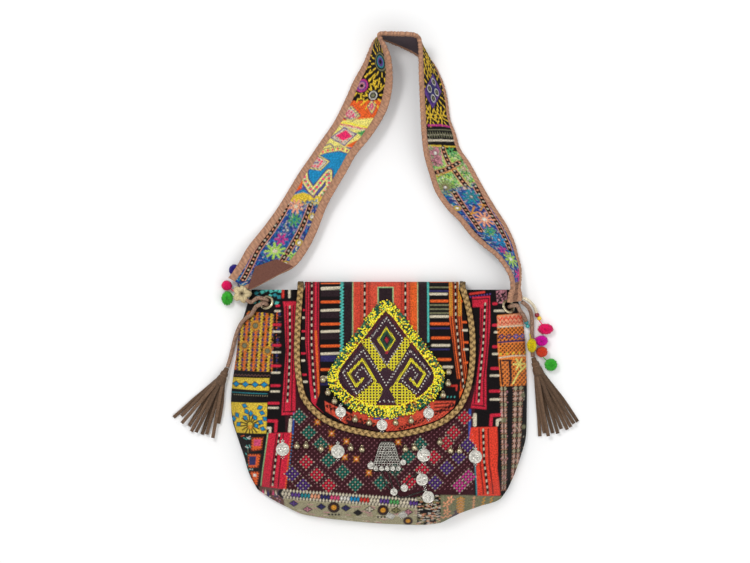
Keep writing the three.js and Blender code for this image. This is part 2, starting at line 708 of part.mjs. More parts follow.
// Strap: rulings from its outer edge to its inner edge, from the left end over the top to the right end.
// x is a share of half the body's width, up a share of the strap's rise and z a share of its width.
const STRAP_RULINGS = [
  { outX: -1.018, outUp: 0.047, outZ: 0.26, inX: -0.872, inUp: 0.0, inZ: 0.34 },
  { outX: -0.986, outUp: 0.07, outZ: 0.28, inX: -0.791, inUp: 0.023, inZ: 0.38 },
  { outX: -0.939, outUp: 0.113, outZ: 0.27, inX: -0.682, inUp: 0.057, inZ: 0.4 },
  { outX: -0.885, outUp: 0.168, outZ: 0.2, inX: -0.574, inUp: 0.09, inZ: 0.38 },
  { outX: -0.784, outUp: 0.242, outZ: 0.1, inX: -0.494, inUp: 0.148, inZ: 0.33 },
  { outX: -0.691, outUp: 0.316, outZ: 0.05, inX: -0.426, inUp: 0.223, inZ: 0.34 },
  { outX: -0.61, outUp: 0.391, outZ: 0.035, inX: -0.358, inUp: 0.324, inZ: 0.4 },
  { outX: -0.541, outUp: 0.457, outZ: 0.035, inX: -0.291, inUp: 0.395, inZ: 0.46 },
  { outX: -0.459, outUp: 0.525, outZ: 0.035, inX: -0.223, inUp: 0.461, inZ: 0.5 },
  { outX: -0.389, outUp: 0.585, outZ: 0.035, inX: -0.155, inUp: 0.53, inZ: 0.51 },
  { outX: -0.301, outUp: 0.659, outZ: 0.035, inX: -0.054, inUp: 0.602, inZ: 0.5 },
  { outX: -0.226, outUp: 0.746, outZ: 0.035, inX: 0.041, inUp: 0.691, inZ: 0.47 },
  { outX: -0.174, outUp: 0.814, outZ: 0.035, inX: 0.081, inUp: 0.77, inZ: 0.52 },
  { outX: -0.109, outUp: 0.881, outZ: 0.035, inX: 0.088, inUp: 0.836, inZ: 0.7 },
  { outX: -0.074, outUp: 0.924, outZ: 0.035, inX: 0.074, inUp: 0.898, inZ: 0.86 },
  { outX: -0.047, outUp: 0.958, outZ: 0.035, inX: 0.044, inUp: 0.943, inZ: 0.96 },
  { outX: -0.024, outUp: 0.978, outZ: 0.035, inX: 0.014, inUp: 0.972, inZ: 1.0 },
  { outX: 0.0, outUp: 0.986, outZ: 0.035, inX: 0.002, inUp: 0.99, inZ: 1.02 },
  { outX: 0.03, outUp: 0.985, outZ: 0.035, inX: 0.022, inUp: 0.995, inZ: 1.02 },
  { outX: 0.066, outUp: 0.977, outZ: 0.035, inX: 0.06, inUp: 0.995, inZ: 1.02 },
  { outX: 0.115, outUp: 0.965, outZ: 0.035, inX: 0.108, inUp: 0.995, inZ: 1.02 },
  { outX: 0.169, outUp: 0.951, outZ: 0.035, inX: 0.162, inUp: 0.995, inZ: 1.0 },
  { outX: 0.223, outUp: 0.936, outZ: 0.035, inX: 0.209, inUp: 0.995, inZ: 0.96 },
  { outX: 0.27, outUp: 0.919, outZ: 0.035, inX: 0.24, inUp: 0.993, inZ: 0.92 },
  { outX: 0.316, outUp: 0.904, outZ: 0.035, inX: 0.259, inUp: 0.986, inZ: 0.87 },
  { outX: 0.351, outUp: 0.889, outZ: 0.035, inX: 0.267, inUp: 0.972, inZ: 0.84 },
  { outX: 0.378, outUp: 0.87, outZ: 0.035, inX: 0.271, inUp: 0.948, inZ: 0.83 },
  { outX: 0.402, outUp: 0.844, outZ: 0.035, inX: 0.272, inUp: 0.91, inZ: 0.83 },
  { outX: 0.436, outUp: 0.8, outZ: 0.035, inX: 0.273, inUp: 0.844, inZ: 0.83 },
  { outX: 0.461, outUp: 0.741, outZ: 0.035, inX: 0.277, inUp: 0.766, inZ: 0.8 },
  { outX: 0.479, outUp: 0.669, outZ: 0.035, inX: 0.284, inUp: 0.68, inZ: 0.78 },
  { outX: 0.517, outUp: 0.611, outZ: 0.035, inX: 0.291, inUp: 0.602, inZ: 0.7 },
  { outX: 0.548, outUp: 0.553, outZ: 0.035, inX: 0.307, inUp: 0.527, inZ: 0.58 },
  { outX: 0.617, outUp: 0.495, outZ: 0.035, inX: 0.345, inUp: 0.449, inZ: 0.4 },
  { outX: 0.679, outUp: 0.43, outZ: 0.035, inX: 0.385, inUp: 0.383, inZ: 0.3 },
  { outX: 0.742, outUp: 0.366, outZ: 0.035, inX: 0.459, inUp: 0.32, inZ: 0.32 },
  { outX: 0.804, outUp: 0.308, outZ: 0.035, inX: 0.541, inUp: 0.271, inZ: 0.42 },
  { outX: 0.867, outUp: 0.25, outZ: 0.04, inX: 0.615, inUp: 0.217, inZ: 0.52 },
  { outX: 0.917, outUp: 0.185, outZ: 0.05, inX: 0.696, inUp: 0.174, inZ: 0.6 },
  { outX: 0.942, outUp: 0.127, outZ: 0.07, inX: 0.777, inUp: 0.139, inZ: 0.64 },
  { outX: 0.958, outUp: 0.086, outZ: 0.12, inX: 0.838, inUp: 0.098, inZ: 0.64 },
  { outX: 0.959, outUp: 0.043, outZ: 0.2, inX: 0.882, inUp: 0.051, inZ: 0.6 },
  { outX: 0.955, outUp: 0.004, outZ: 0.3, inX: 0.89, inUp: 0.008, inZ: 0.52 },
  { outX: 0.966, outUp: -0.025, outZ: 0.37, inX: 0.874, inUp: -0.018, inZ: 0.47 },
  { outX: 0.962, outUp: -0.045, outZ: 0.38, inX: 0.868, inUp: -0.048, inZ: 0.42 },
];
const STRAP_COLUMNS = 3;

function strapPoint(x, up, z) {
  return new THREE.Vector3(x * HALF_WIDTH, MOUTH_Y + up * STRAP_RISE, z * STRAP_WIDTH);
}

function strapRibbon() {
  const outer = STRAP_RULINGS.map((row) => strapPoint(row.outX, row.outUp, row.outZ));
  const inner = STRAP_RULINGS.map((row) => strapPoint(row.inX, row.inUp, row.inZ));
  const grids = [0.5, -0.5].map((side) =>
    STRAP_RULINGS.map((_, r) => {
      const [before, after] = [Math.max(0, r - 1), Math.min(outer.length - 1, r + 1)];
      return Array.from({ length: STRAP_COLUMNS + 1 }, (_, c) => {
        const share = c / STRAP_COLUMNS;
        const point = outer[r].clone().lerp(inner[r], share);
        const along = outer[after].clone().lerp(inner[after], share);
        along.sub(outer[before].clone().lerp(inner[before], share));
        const face = inner[r].clone().sub(outer[r]).cross(along).normalize();
        return point.addScaledVector(face, side * STRAP_THICKNESS);
      });
    }),
  );
  return slab(...grids);
}
addPiece('strap', strapRibbon(), 'strapCloth');

// The strap's inner corner at its left end is folded over its face, so that its lining shows
const FOLD_CLEARANCE = 0.6;

function strapEndFold() {
  const at = (index, share) => {
    const row = STRAP_RULINGS[index];
    const outer = strapPoint(row.outX, row.outUp, row.outZ);
    const face = strapPoint(row.inX, row.inUp, row.inZ).sub(outer);
    return outer.addScaledVector(face, share);
  };
  const rows = [
    [at(0, 0.9), at(0, 0.98)],
    [at(1, 0.62), at(1, 0.98)],
    [at(2, 0.4), at(2, 0.98)],
    [at(3, 0.62), at(3, 0.98)],
  ];
  const lifted = (lift) => rows.map((row) => row.map((point) => point.clone().setZ(point.z + lift)));
  const base = STRAP_THICKNESS / 2 + FOLD_CLEARANCE + GAP;
  return slab(lifted(base + STRAP_THICKNESS), lifted(base));
}
addPiece('strap_end_fold', strapEndFold(), 'lining');

// Bells, coins and the pendant
function bell() {
  return new THREE.SphereGeometry(BELL_RADIUS, 10, 5).rotateX(Math.PI / 2);
}

function coin(radius) {
  const outline = new THREE.Shape();
  const tab = 0.24 * radius;
  outline.moveTo(tab, 0.97 * radius);
  outline.lineTo(tab, 1.22 * radius);
  outline.lineTo(-tab, 1.22 * radius);
  outline.lineTo(-tab, 0.97 * radius);
  const start = Math.PI / 2 + Math.asin(0.24);
  const sides = 12;
  for (let i = 1; i < sides; i += 1) {
    const angle = start + (i / sides) * (ROUND - 2 * Math.asin(0.24));
    outline.lineTo(radius * Math.cos(angle), radius * Math.sin(angle));
  }
  outline.closePath();
  return new THREE.ExtrudeGeometry(outline, { depth: COIN_THICKNESS, bevelEnabled: false });
}

// Trim on the flap lies round the rim: its share of the way round, and how many of its own radii away from the edge
const FLAP_BELLS = [
  { round: 0.718, away: 1.51 },
  { round: 0.675, away: 1.41 },
  { round: 0.652, away: 1.37 },
  { round: 0.592, away: 2.37 },
  { round: 0.554, away: 2.08 },
  { round: 0.468, away: 1.71 },
  { round: 0.423, away: 2.11 },
  { round: 0.33, away: 1.52 },
  { round: 0.295, away: 1.45 },
  { round: 0.256, away: 1.57 },
];
const FLAP_COINS = [
  { round: 0.628, away: 1.47 },
  { round: 0.513, away: 1.33 },
  { round: 0.378, away: 1.35 },
];
// Trim below the flap: its share of half the body's width, and of the way from the flap's end to the body's bottom
const FRONT_BELLS = [
  { across: -0.55, below: 0.159 },
  { across: -0.489, below: 0.154 },
  { across: -0.388, below: 0.186 },
  { across: -0.189, below: 0.179 },
  { across: -0.115, below: 0.193 },
  { across: 0.176, below: 0.191 },
  { across: 0.237, below: 0.176 },
  { across: 0.407, below: 0.117 },
  { across: 0.479, below: 0.206 },
  { across: 0.539, below: 0.208 },
];
const FRONT_COINS = [
  { across: -0.647, below: 0.191 },
  { across: -0.277, below: 0.213 },
  { across: 0.3, below: 0.253 },
  { across: 0.647, below: 0.27 },
];
const HEM_COINS = [
  { across: 0.076, below: 0.889, turn: 0.2 },
  { across: 0.16, below: 0.876, turn: -0.2 },
];
const numbered = (name, i) => `${name}_${String(i + 1).padStart(2, '0')}`;

function besideRim({ round, away }, radius) {
  const { x, y } = rimOutline.getPoint(round);
  const along = rimOutline.getTangent(round);
  return { x: x - along.y * away * radius, y: y + along.x * away * radius };
}

function belowFlap({ across, below }) {
  return { x: across * HALF_WIDTH, y: MOUTH_Y - FLAP_DROP - below * (BODY_HEIGHT - FLAP_DROP) };
}

FLAP_BELLS.forEach((row, i) => {
  const { x, y } = besideRim(row, BELL_RADIUS);
  addPiece(numbered('flap_bell', i), seated(bell(), x, y, BELL_RADIUS + GAP, flapTopHeight), 'agedBrass');
});
FLAP_COINS.forEach((row, i) => {
  const { x, y } = besideRim(row, FLAP_COIN_RADIUS);
  addPiece(numbered('flap_coin', i), seated(coin(FLAP_COIN_RADIUS), x, y, COIN_LIFT, flapTopHeight), 'silver');
});
FRONT_BELLS.forEach((row, i) => {
  const { x, y } = belowFlap(row);
  addPiece(numbered('front_bell', i), seated(bell(), x, y, BELL_RADIUS + GAP, clothHeight), 'agedBrass');
});
FRONT_COINS.forEach((row, i) => {
  const { x, y } = belowFlap(row);
  addPiece(numbered('front_coin', i), seated(coin(FRONT_COIN_RADIUS), x, y, COIN_LIFT, clothHeight), 'silver');
});
HEM_COINS.forEach((row, i) => {
  const { x, y } = belowFlap(row);
  const hem = seated(coin(HEM_COIN_RADIUS), x, y, HEM_COIN_LIFT, clothHeight, row.turn);
  addPiece(numbered('hem_coin', i), hem, 'silver');
});

// Pendant: a pierced plate like a small bell, with a row of bosses and a scalloped foot
const PENDANT_PLACE = {
  x: 0.054 * HALF_WIDTH,
  y: MOUTH_Y - FLAP_DROP - PENDANT_BELOW_FLAP - PENDANT_HEIGHT / 2,
};
const PENDANT_SCALLOPS = 5;
const SCALLOP_DROP = (0.3 * PENDANT_BOTTOM) / PENDANT_SCALLOPS;

function pendantPlate() {
  const outline = new THREE.Shape();
  const [top, foot] = [PENDANT_HEIGHT / 2, -PENDANT_HEIGHT / 2];
  outline.moveTo(-PENDANT_BOTTOM / 2, foot);
  const step = PENDANT_BOTTOM / PENDANT_SCALLOPS;
  for (let i = 0; i < PENDANT_SCALLOPS; i += 1) {
    const left = -PENDANT_BOTTOM / 2 + i * step;
    outline.lineTo(left + 0.25 * step, foot - SCALLOP_DROP);
    outline.lineTo(left + 0.75 * step, foot - SCALLOP_DROP);
    outline.lineTo(left + step, foot);
  }
  outline.lineTo(PENDANT_TOP / 2 + PENDANT_FLARE, top - PENDANT_NECK);
  outline.lineTo(PENDANT_TOP / 2, top);
  outline.lineTo(-PENDANT_TOP / 2, top);
  outline.lineTo(-PENDANT_TOP / 2 - PENDANT_FLARE, top - PENDANT_NECK);
  outline.closePath();
  const rows = [
    { up: 0.22, count: 3, size: 0.13 },
    { up: -0.05, count: 4, size: 0.13 },
  ];
  for (const { up, count, size } of rows) {
    const wide = PENDANT_TOP + (PENDANT_BOTTOM - PENDANT_TOP) * (0.5 - up);
    for (let i = 0; i < count; i += 1) {
      const x = ((i + 0.5) / count - 0.5) * 0.82 * wide;
      const half = (size * wide) / 2;
      const hole = new THREE.Path();
      const y = up * PENDANT_HEIGHT;
      hole.moveTo(x, y + 1.3 * half);
      hole.lineTo(x + half, y);
      hole.lineTo(x, y - 1.3 * half);
      hole.lineTo(x - half, y);
      hole.closePath();
      outline.holes.push(hole);
    }
  }
  const plate = new THREE.ExtrudeGeometry(outline, { depth: PENDANT_THICKNESS, bevelEnabled: false });
  const bosses = [-0.36, -0.12, 0.12, 0.36].map((share) => {
    const boss = new THREE.SphereGeometry(PENDANT_BOSS, 8, 5);
    return boss.translate(share * 0.94 * PENDANT_BOTTOM, foot + 0.22 * PENDANT_HEIGHT, PENDANT_THICKNESS);
  });
  return join([plate, ...bosses]);
}
addPiece('pendant', seated(pendantPlate(), PENDANT_PLACE.x, PENDANT_PLACE.y, PENDANT_LIFT, clothHeight), 'silver');

// Chains below the pendant: links strung along a few straight falls, fused, with their small coins. Each point has
// its share of half the body's width, and of the way from the chains' top to the body's bottom.
const CHAIN_TOP = MOUTH_Y - FLAP_DROP - PENDANT_BELOW_FLAP - PENDANT_HEIGHT - SCALLOP_DROP - CHAIN_WIRE / 2;
const CHAIN_FALL = CHAIN_TOP - (MOUTH_Y - BODY_HEIGHT);
const CHAIN_ROUTES = [
  [[0.02, 0], [0.045, 0.222], [0.1, 0.365], [0.15, 0.3]],
  [[0.06, 0], [0.1, 0.365]],
  [[0.1, 0], [0.15, 0.3], [0.2, 0.136], [0.258, 0.032]],
  [[0.1, 0.365], [0.15, 0.473], [0.235, 0.405], [0.3, 0.348]],
];
const SMALL_COINS = [
  { at: [0.1, 0.365], radius: 4.4 },
  { at: [0.17, 0.292], radius: 4.6 },
];
const DROP_COINS = [
  { at: [0.289, 0.14] },
  { at: [0.33, 0.46] },
];
const DROP_COIN_TURN = 0.4;

function belowPendant([across, fall]) {
  return { x: across * HALF_WIDTH, y: CHAIN_TOP - fall * CHAIN_FALL };
}

function onCloth(place, lift) {
  const { x, y } = belowPendant(place);
  return new THREE.Vector3(x, y, clothHeight(x, y) + lift);
}

DROP_COINS.forEach(({ at }, i) => {
  const { x, y } = belowPendant(at);
  const drop = seated(coin(DROP_COIN_RADIUS), x, y, COIN_LIFT, clothHeight, DROP_COIN_TURN);
  addPiece(numbered('drop_coin', i), drop, 'silver');
});

function pendantChains() {
  const lift = CHAIN_WIRE + 2 * GAP;
  const runs = CHAIN_ROUTES.map((route) => {
    const points = route.map((place) => onCloth(place, lift));
    return tubeAlong(points, CHAIN_WIRE, 5, 2 * (points.length - 1));
  });
  const coins = SMALL_COINS.map(({ at, radius }) => {
    const disc = new THREE.CylinderGeometry(radius, radius, COIN_THICKNESS, 10).rotateX(Math.PI / 2);
    const { x, y } = belowPendant(at);
    return seated(disc, x, y, lift, clothHeight);
  });
  return join([...runs, ...coins]);
}
addPiece('pendant_chains', pendantChains(), 'silver');

// Cord routes, in millimetres, chosen by hand. A cord that leaves an eyelet starts with points in the eyelet's own
// frame (right, ahead and up from its middle).
const LINK_CORD = {
  steps: 10,
  eyelet: 0,
  local: [[0, 2.75, -1], [-0.5, 2.8, 3.2], [-2.4, 2.9, 6.6], [-5.8, 3.1, 8.6], [-10.2, 2.8, 8.6]],
  points: [[-154.6, -27.2, 21.8], [-158.3, -27.0, 19.0], [-161.8, -25.3, 16.4]],
};
const TASSEL_CORD_LEFT = {
  steps: 16,
  eyelet: 0,
  local: [[0.2, -2.65, -1], [-0.1, -2.7, 3.6], [-1.8, -3.2, 7.0], [-5.6, -5.8, 8.4], [-9.8, -8.6, 8.6]],
  points: [
    [-155.4, -42.0, 21.6], [-160.8, -46.0, 17.0], [-165.8, -50.4, 12.2], [-170.0, -56.4, 8.2],
    [-173.8, -64.6, 5.2], [-176.8, -74.4, 3.5], [-179.4, -85.0, 3.0], [-182.0, -95.6, 3.8],
    [-185.4, -107.2, 6.5],
  ],
};
const BEAD_CORD = {
  steps: 8,
  eyelet: 1,
  local: [[2.6, 0, -1], [2.9, -0.1, 3.2], [4.4, -0.6, 6.6], [7.6, -1.8, 8.6]],
  points: [[172.2, -38.4, 20.4], [176.2, -43.2, 15.0], [179.5, -50.2, 8.3]],
};
const TASSEL_CORD_RIGHT = {
  steps: 14,
  points: [
    [174.0, -27.2, 20.8], [178.4, -30.2, 19.6], [182.4, -34.0, 16.4], [185.4, -39.4, 11.0],
    [187.0, -46.4, 6.4], [187.6, -54.4, 3.6], [187.4, -62.6, 2.9], [187.2, -71.0, 2.9],
    [187.4, -78.0, 2.9], [187.8, -86.0, 4.0], [188.4, -94.5, 6.4],
  ],
};
const CREAM_CORD = {
  steps: 6,
  points: [
    [175.4, -22.2, 22.0], [181.0, -24.8, 20.4], [185.2, -28.0, 16.6], [189.2, -32.4, 11.4],
    [193.0, -40.2, 5.5],
  ],
};

function inEyelet(index, [right, ahead, up]) {
  const seat = eyeletSeats[index];
  const marker = new THREE.BufferGeometry();
  marker.setAttribute('position', new THREE.Float32BufferAttribute([right, ahead, up], 3));
  const placed = seated(marker, seat.x, seat.y, 0, clothHeight).attributes.position;
  return new THREE.Vector3().fromBufferAttribute(placed, 0);
}

function cord({ eyelet: index, local = [], points, steps }, diameter) {
  const route = [
    ...local.map((point) => inEyelet(index, point)),
    ...points.map((point) => new THREE.Vector3(...point)),
  ];
  return tubeAlong(route, diameter / 2, 8, steps);
}

addPiece('link_cord_left', cord(LINK_CORD, CORD_DIAMETER), 'brownCord');
addPiece('tassel_cord_left', cord(TASSEL_CORD_LEFT, CORD_DIAMETER), 'brownCord');
addPiece('bead_cord_right', cord(BEAD_CORD, CORD_DIAMETER), 'brownCord');
addPiece('tassel_cord_right', cord(TASSEL_CORD_RIGHT, CORD_DIAMETER), 'brownCord');
addPiece('cream_cord_right', cord(CREAM_CORD, CREAM_CORD_DIAMETER), 'creamCord');

// Plaited knot beside the strap's left end: lobes fused round a core
const KNOT_CENTRE = new THREE.Vector3(-167.4, -17.2, 12.4);

function plaitedKnot() {
  const lobe = 0.42 * KNOT_RADIUS;
  const reach = KNOT_RADIUS - lobe;
  const shapes = [new THREE.IcosahedronGeometry(0.84 * KNOT_RADIUS, 1)];
  const rings = [
    { tilt: 0.12, count: 3 },
    { tilt: 0.42, count: 6 },
  ];
  for (const { tilt, count } of rings) {
    for (let i = 0; i < count; i += 1) {
      const around = ((i + tilt) / count) * ROUND;
      const polar = tilt * Math.PI;
      const bump = new THREE.IcosahedronGeometry(lobe, 0);
      bump.translate(
        reach * Math.sin(polar) * Math.cos(around),
        reach * Math.sin(polar) * Math.sin(around),
        reach * Math.cos(polar),
      );
      shapes.push(bump);
    }
  }
  return join(shapes).translate(...KNOT_CENTRE.toArray());
}
addPiece('knot_left', plaitedKnot(), 'creamCord');

// Pompoms: a rough ball of yarn with the thread that it hangs by
const POMPOMS = [
  { side: 'left', finish: 'navy', at: [-177.0, 11.4, 6.2], radius: [6.2, 7.0, 5.6], to: [-171.0, -9.8, 9.4] },
  { side: 'left', finish: 'pink', at: [-186.4, -7.4, 6.5], radius: [6.0, 6.0, 6.0], to: [-175.7, -15.9, 9.8] },
  { side: 'left', finish: 'green', at: [-185.8, -23.0, 7.6], radius: [6.6, 8.4, 7.0], to: [-176.0, -20.2, 10.3] },
  { side: 'right', finish: 'pink', at: [203.8, -60.6, 7.4], radius: [9.0, 6.4, 6.8], to: [196.4, -50.5, 6.8] },
  { side: 'right', finish: 'magenta', at: [199.0, -75.0, 7.6], radius: [7.4, 6.4, 7.0], to: [189.8, -72.0, 4.6] },
  { side: 'right', finish: 'orange', at: [199.4, -88.6, 7.2], radius: [6.6, 6.4, 6.6], to: [190.9, -86.0, 4.6] },
  { side: 'right', finish: 'yellow', at: [186.6, -80.6, 14.0], radius: [5.6, 8.4, 7.0], to: [184.5, -66.5, 5.3] },
  { side: 'right', finish: 'green', at: [210.4, -104.4, 7.4], radius: [7.4, 7.4, 7.0], to: [200.9, -94.9, 7.2] },
];

function pompom({ at, radius, to }) {
  const ball = new THREE.IcosahedronGeometry(1, 1);
  const place = ball.attributes.position;
  const point = new THREE.Vector3();
  for (let i = 0; i < place.count; i += 1) {
    point.fromBufferAttribute(place, i);
    const ruffle = 1 - 0.09 * (0.5 + 0.5 * Math.sin(7 * point.x + 11 * point.y + 5 * point.z));
    place.setXYZ(i, ...point.multiplyScalar(ruffle).toArray());
  }
  ball.scale(...radius).translate(...at);
  const [start, end] = [new THREE.Vector3(...at), new THREE.Vector3(...to)];
  const thread = tubeAlong([start, start.clone().lerp(end, 0.5), end], THREAD_RADIUS, 5, 2);
  return join([ball, thread]);
}
for (const row of POMPOMS) addPiece(`pompom_${row.side}_${row.finish}`, pompom(row), row.finish);

// Beads at the cords' ends
function beadRun(places, finish, name) {
  const beads = places.map(({ at, radius }) => new THREE.SphereGeometry(radius, 10, 5).translate(...at));
  addPiece(name, join(beads), finish);
}
beadRun([{ at: [180.4, -52.6, 6.0], radius: 2.9 }, { at: [182.0, -57.2, 4.4], radius: 2.6 }], 'teal', 'teal_beads');
beadRun([{ at: [193.6, -43.4, 4.4], radius: 3.0 }, { at: [196.4, -47.6, 4.2], radius: 2.8 }], 'red', 'red_beads');

// Tassels: suede strips fused to a bound head
const TASSEL_STRIPS_LEFT = [
  { turn: -137, length: 0.88, layer: 0 },
  { turn: -133, length: 0.8, layer: 1 },
  { turn: -129, length: 0.86, layer: 2 },
  { turn: -124, length: 0.84, layer: 0 },
  { turn: -120, length: 0.88, layer: 1 },
  { turn: -116, length: 0.86, layer: 2 },
  { turn: -111, length: 0.86, layer: 0 },
  { turn: -107, length: 0.84, layer: 1 },
  { turn: -102, length: 0.86, layer: 2 },
  { turn: -99, length: 0.68, layer: 1 },
];
const TASSEL_STRIPS_RIGHT = [
  { turn: -85, length: 0.95, layer: 0 },
  { turn: -82, length: 0.92, layer: 1 },
  { turn: -79, length: 0.96, layer: 2 },
  { turn: -75, length: 0.94, layer: 0 },
  { turn: -72, length: 0.96, layer: 1 },
  { turn: -69, length: 0.92, layer: 2 },
  { turn: -65, length: 0.96, layer: 0 },
  { turn: -62, length: 0.95, layer: 1 },
  { turn: -58, length: 0.93, layer: 2 },
  { turn: -55, length: 0.94, layer: 0 },
];
const STRIP_STATIONS = [0.1, 0.3, 0.6, 1];
const LAYER_STEP = 3.4;

function tassel(neck, heading, strips) {
  const middle = THREE.MathUtils.degToRad(heading);
  const headLength = 0.22 * TASSEL_LENGTH;
  const profile = [
    [0, 0], [0.42, 0], [0.5, 0.25], [0.85, 0.55], [1, 0.85], [0.9, 1], [0, 1],
  ].map(([radius, along]) => new THREE.Vector2(radius * TASSEL_HEAD_RADIUS, along * headLength));
  const head = new THREE.LatheGeometry(profile, 12);
  head.rotateZ(middle - Math.PI / 2).translate(neck.x, neck.y, TASSEL_HEAD_RADIUS + 0.3);
  const pieces = strips.map(({ turn, length, layer }) => {
    const angle = THREE.MathUtils.degToRad(turn);
    const reach = length * TASSEL_LENGTH;
    const start = new THREE.Vector2(Math.cos(middle), Math.sin(middle)).multiplyScalar(0.35 * headLength);
    const low = 0.3 + layer * LAYER_STEP;
    const rows = STRIP_STATIONS.map((share) => {
      const away = new THREE.Vector2(Math.cos(angle), Math.sin(angle)).multiplyScalar(share * reach);
      const swing = clamp01(share * 1.6);
      const x = neck.x + start.x * (1 - swing) + away.x;
      const y = neck.y + start.y * (1 - swing) + away.y;
      const z = low + (TASSEL_HEAD_RADIUS - low) * (1 - clamp01(share * 2.2)) + 1.2 * layer * (1 - share);
      return { x, y, z };
    });
    const across = new THREE.Vector2(-Math.sin(angle), Math.cos(angle)).multiplyScalar(TASSEL_STRIP_WIDTH / 2);
    const sheet = (lift) =>
      rows.map(({ x, y, z }) => [
        new THREE.Vector3(x - across.x, y - across.y, z + lift),
        new THREE.Vector3(x + across.x, y + across.y, z + lift),
      ]);
    return slab(sheet(TASSEL_STRIP_THICKNESS), sheet(0));
  });
  return join([head, ...pieces]);
}
const NECK_LEFT = new THREE.Vector2(-185.8, -108);
const NECK_RIGHT = new THREE.Vector2(188.8, -95.6);
addPiece('tassel_left', tassel(NECK_LEFT, -116, TASSEL_STRIPS_LEFT), 'suede');
addPiece('tassel_right', tassel(NECK_RIGHT, -71, TASSEL_STRIPS_RIGHT), 'suede');

export default bag;
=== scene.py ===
"""The visual model of a patchwork shoulder bag that lies on its back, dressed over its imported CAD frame."""
import logging
import math
from collections.abc import Callable
from dataclasses import dataclass, field
from enum import Enum

import bpy
import numpy as np
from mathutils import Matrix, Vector
from mathutils.kdtree import KDTree


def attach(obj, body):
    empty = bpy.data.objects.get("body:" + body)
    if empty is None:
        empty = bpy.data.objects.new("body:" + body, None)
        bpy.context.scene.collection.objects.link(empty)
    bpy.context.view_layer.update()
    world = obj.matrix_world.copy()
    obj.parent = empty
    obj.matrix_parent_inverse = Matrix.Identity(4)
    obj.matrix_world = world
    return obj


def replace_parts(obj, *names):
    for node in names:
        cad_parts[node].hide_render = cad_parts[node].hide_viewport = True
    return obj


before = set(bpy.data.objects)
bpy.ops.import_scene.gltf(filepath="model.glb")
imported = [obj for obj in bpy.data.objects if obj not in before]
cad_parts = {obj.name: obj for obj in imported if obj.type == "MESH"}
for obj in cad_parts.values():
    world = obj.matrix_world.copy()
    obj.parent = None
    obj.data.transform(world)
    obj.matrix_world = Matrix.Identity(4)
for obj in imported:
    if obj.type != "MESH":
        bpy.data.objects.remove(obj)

logging.basicConfig(level=logging.INFO, format="%(message)s")
log = logging.getLogger("shoulder_bag")

MM = 0.001
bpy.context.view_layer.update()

# The photograph's pixels on the bag: how many millimetres one spans, and the pixel at the frame's origin
PIXEL = 1.22
PIXEL_X = 379.0
PIXEL_Y = 279.5


class Dye(Enum):
    """The colours of the cloth, thread and beads, as sRGB hex values."""

    BLACK = "130e10"
    PLUM = "2c1e23"
    DUSK = "4a3a42"
    MAROON = "3d1a20"
    BEAD_MAROON = "3c162a"
    CREAM = "d9cdb4"
    WHITE = "e6e1d6"
    GOLD = "d9942e"
    YELLOW = "e3c23f"
    LEMON = "f6e92c"
    LIME = "a9cf5a"
    GREEN = "55a35c"
    PALE_GREEN = "9fc98f"
    TURQUOISE = "55bfb4"
    TEAL = "2c8a94"
    BLUE = "1f8cc0"
    ROYAL = "2c52a4"
    NAVY = "332f63"
    PURPLE = "5f3f8c"
    LILAC = "9a86b8"
    MAGENTA = "c23a86"
    PINK = "e0507c"
    ROSE = "c98692"
    CRIMSON = "d0283f"
    RUBY = "c8283e"
    AUBERGINE = "513078"
    PINE = "1f6a5c"
    RED = "d0392f"
    SCARLET = "e6432f"
    TOMATO = "d8523c"
    ORANGE = "e8622a"
    PEACH = "eda27c"
    TAN = "b88a6e"
    BARK = "6b4a42"
    OLIVE = "8f8a5c"
    OCHRE = "b87f26"
    STRAW = "f0e37c"
    COBALT = "26468c"
    HIDE = "8d6a56"
    ROSEWOOD = "70483c"
    KHAKI = "a8a080"
    STONE = "7b7a5c"
    SILVER = "b9b6ad"
    PEWTER = "4a4743"
    BRASS = "b8ab8c"
    CORD = "8f7260"
    SUEDE = "66503f"
    PLAIT = "c9b78e"
    # A dark brown that is painted as shade in the gaps of the braid and the knot.
    SHADE_UMBER = "2a1d15"
    BRAID = "b8965f"
    FOREST = "11583a"
    SUNNY = "f6cc38"
    AMBER = "f0883a"
    HOT_PINK = "f2306c"
    BLUSH = "cba392"

    def linear(self) -> np.ndarray:
        """Gives the colour as three linear values."""
        value = np.array([int(self.value[i : i + 2], 16) for i in (0, 2, 4)]) / 255
        return np.where(value <= 0.04045, value / 12.92, ((value + 0.055) / 1.055) ** 2.4)


# Shapes: the same named sizes as the CAD source, in millimetres


@dataclass(frozen=True)
class Curve:
    """A smooth curve through a short table, as the CAD source reads it."""

    at: tuple[float, ...]
    value: tuple[float, ...]

    def __call__(self, where: np.ndarray | float) -> np.ndarray:
        """Reads the curve.

        Args:
            where: the places to read it at.

        Returns:
            The curve's value at each place.
        """
        at, value = np.array(self.at), np.array(self.value)
        before, after = np.maximum(np.arange(len(at)) - 1, 0), np.minimum(np.arange(len(at)) + 1, len(at) - 1)
        slope = (value[after] - value[before]) / (at[after] - at[before])
        i = np.clip(np.searchsorted(at, where, side="left") - 1, 0, len(at) - 2)
        span = at[i + 1] - at[i]
        t = np.clip((where - at[i]) / span, 0, 1)
        rise = value[i + 1] - value[i]
        bend_in = slope[i] * span - rise
        bend_out = rise - slope[i + 1] * span
        return value[i] + rise * t + t * (1 - t) * (bend_in * (1 - t) + bend_out * t)


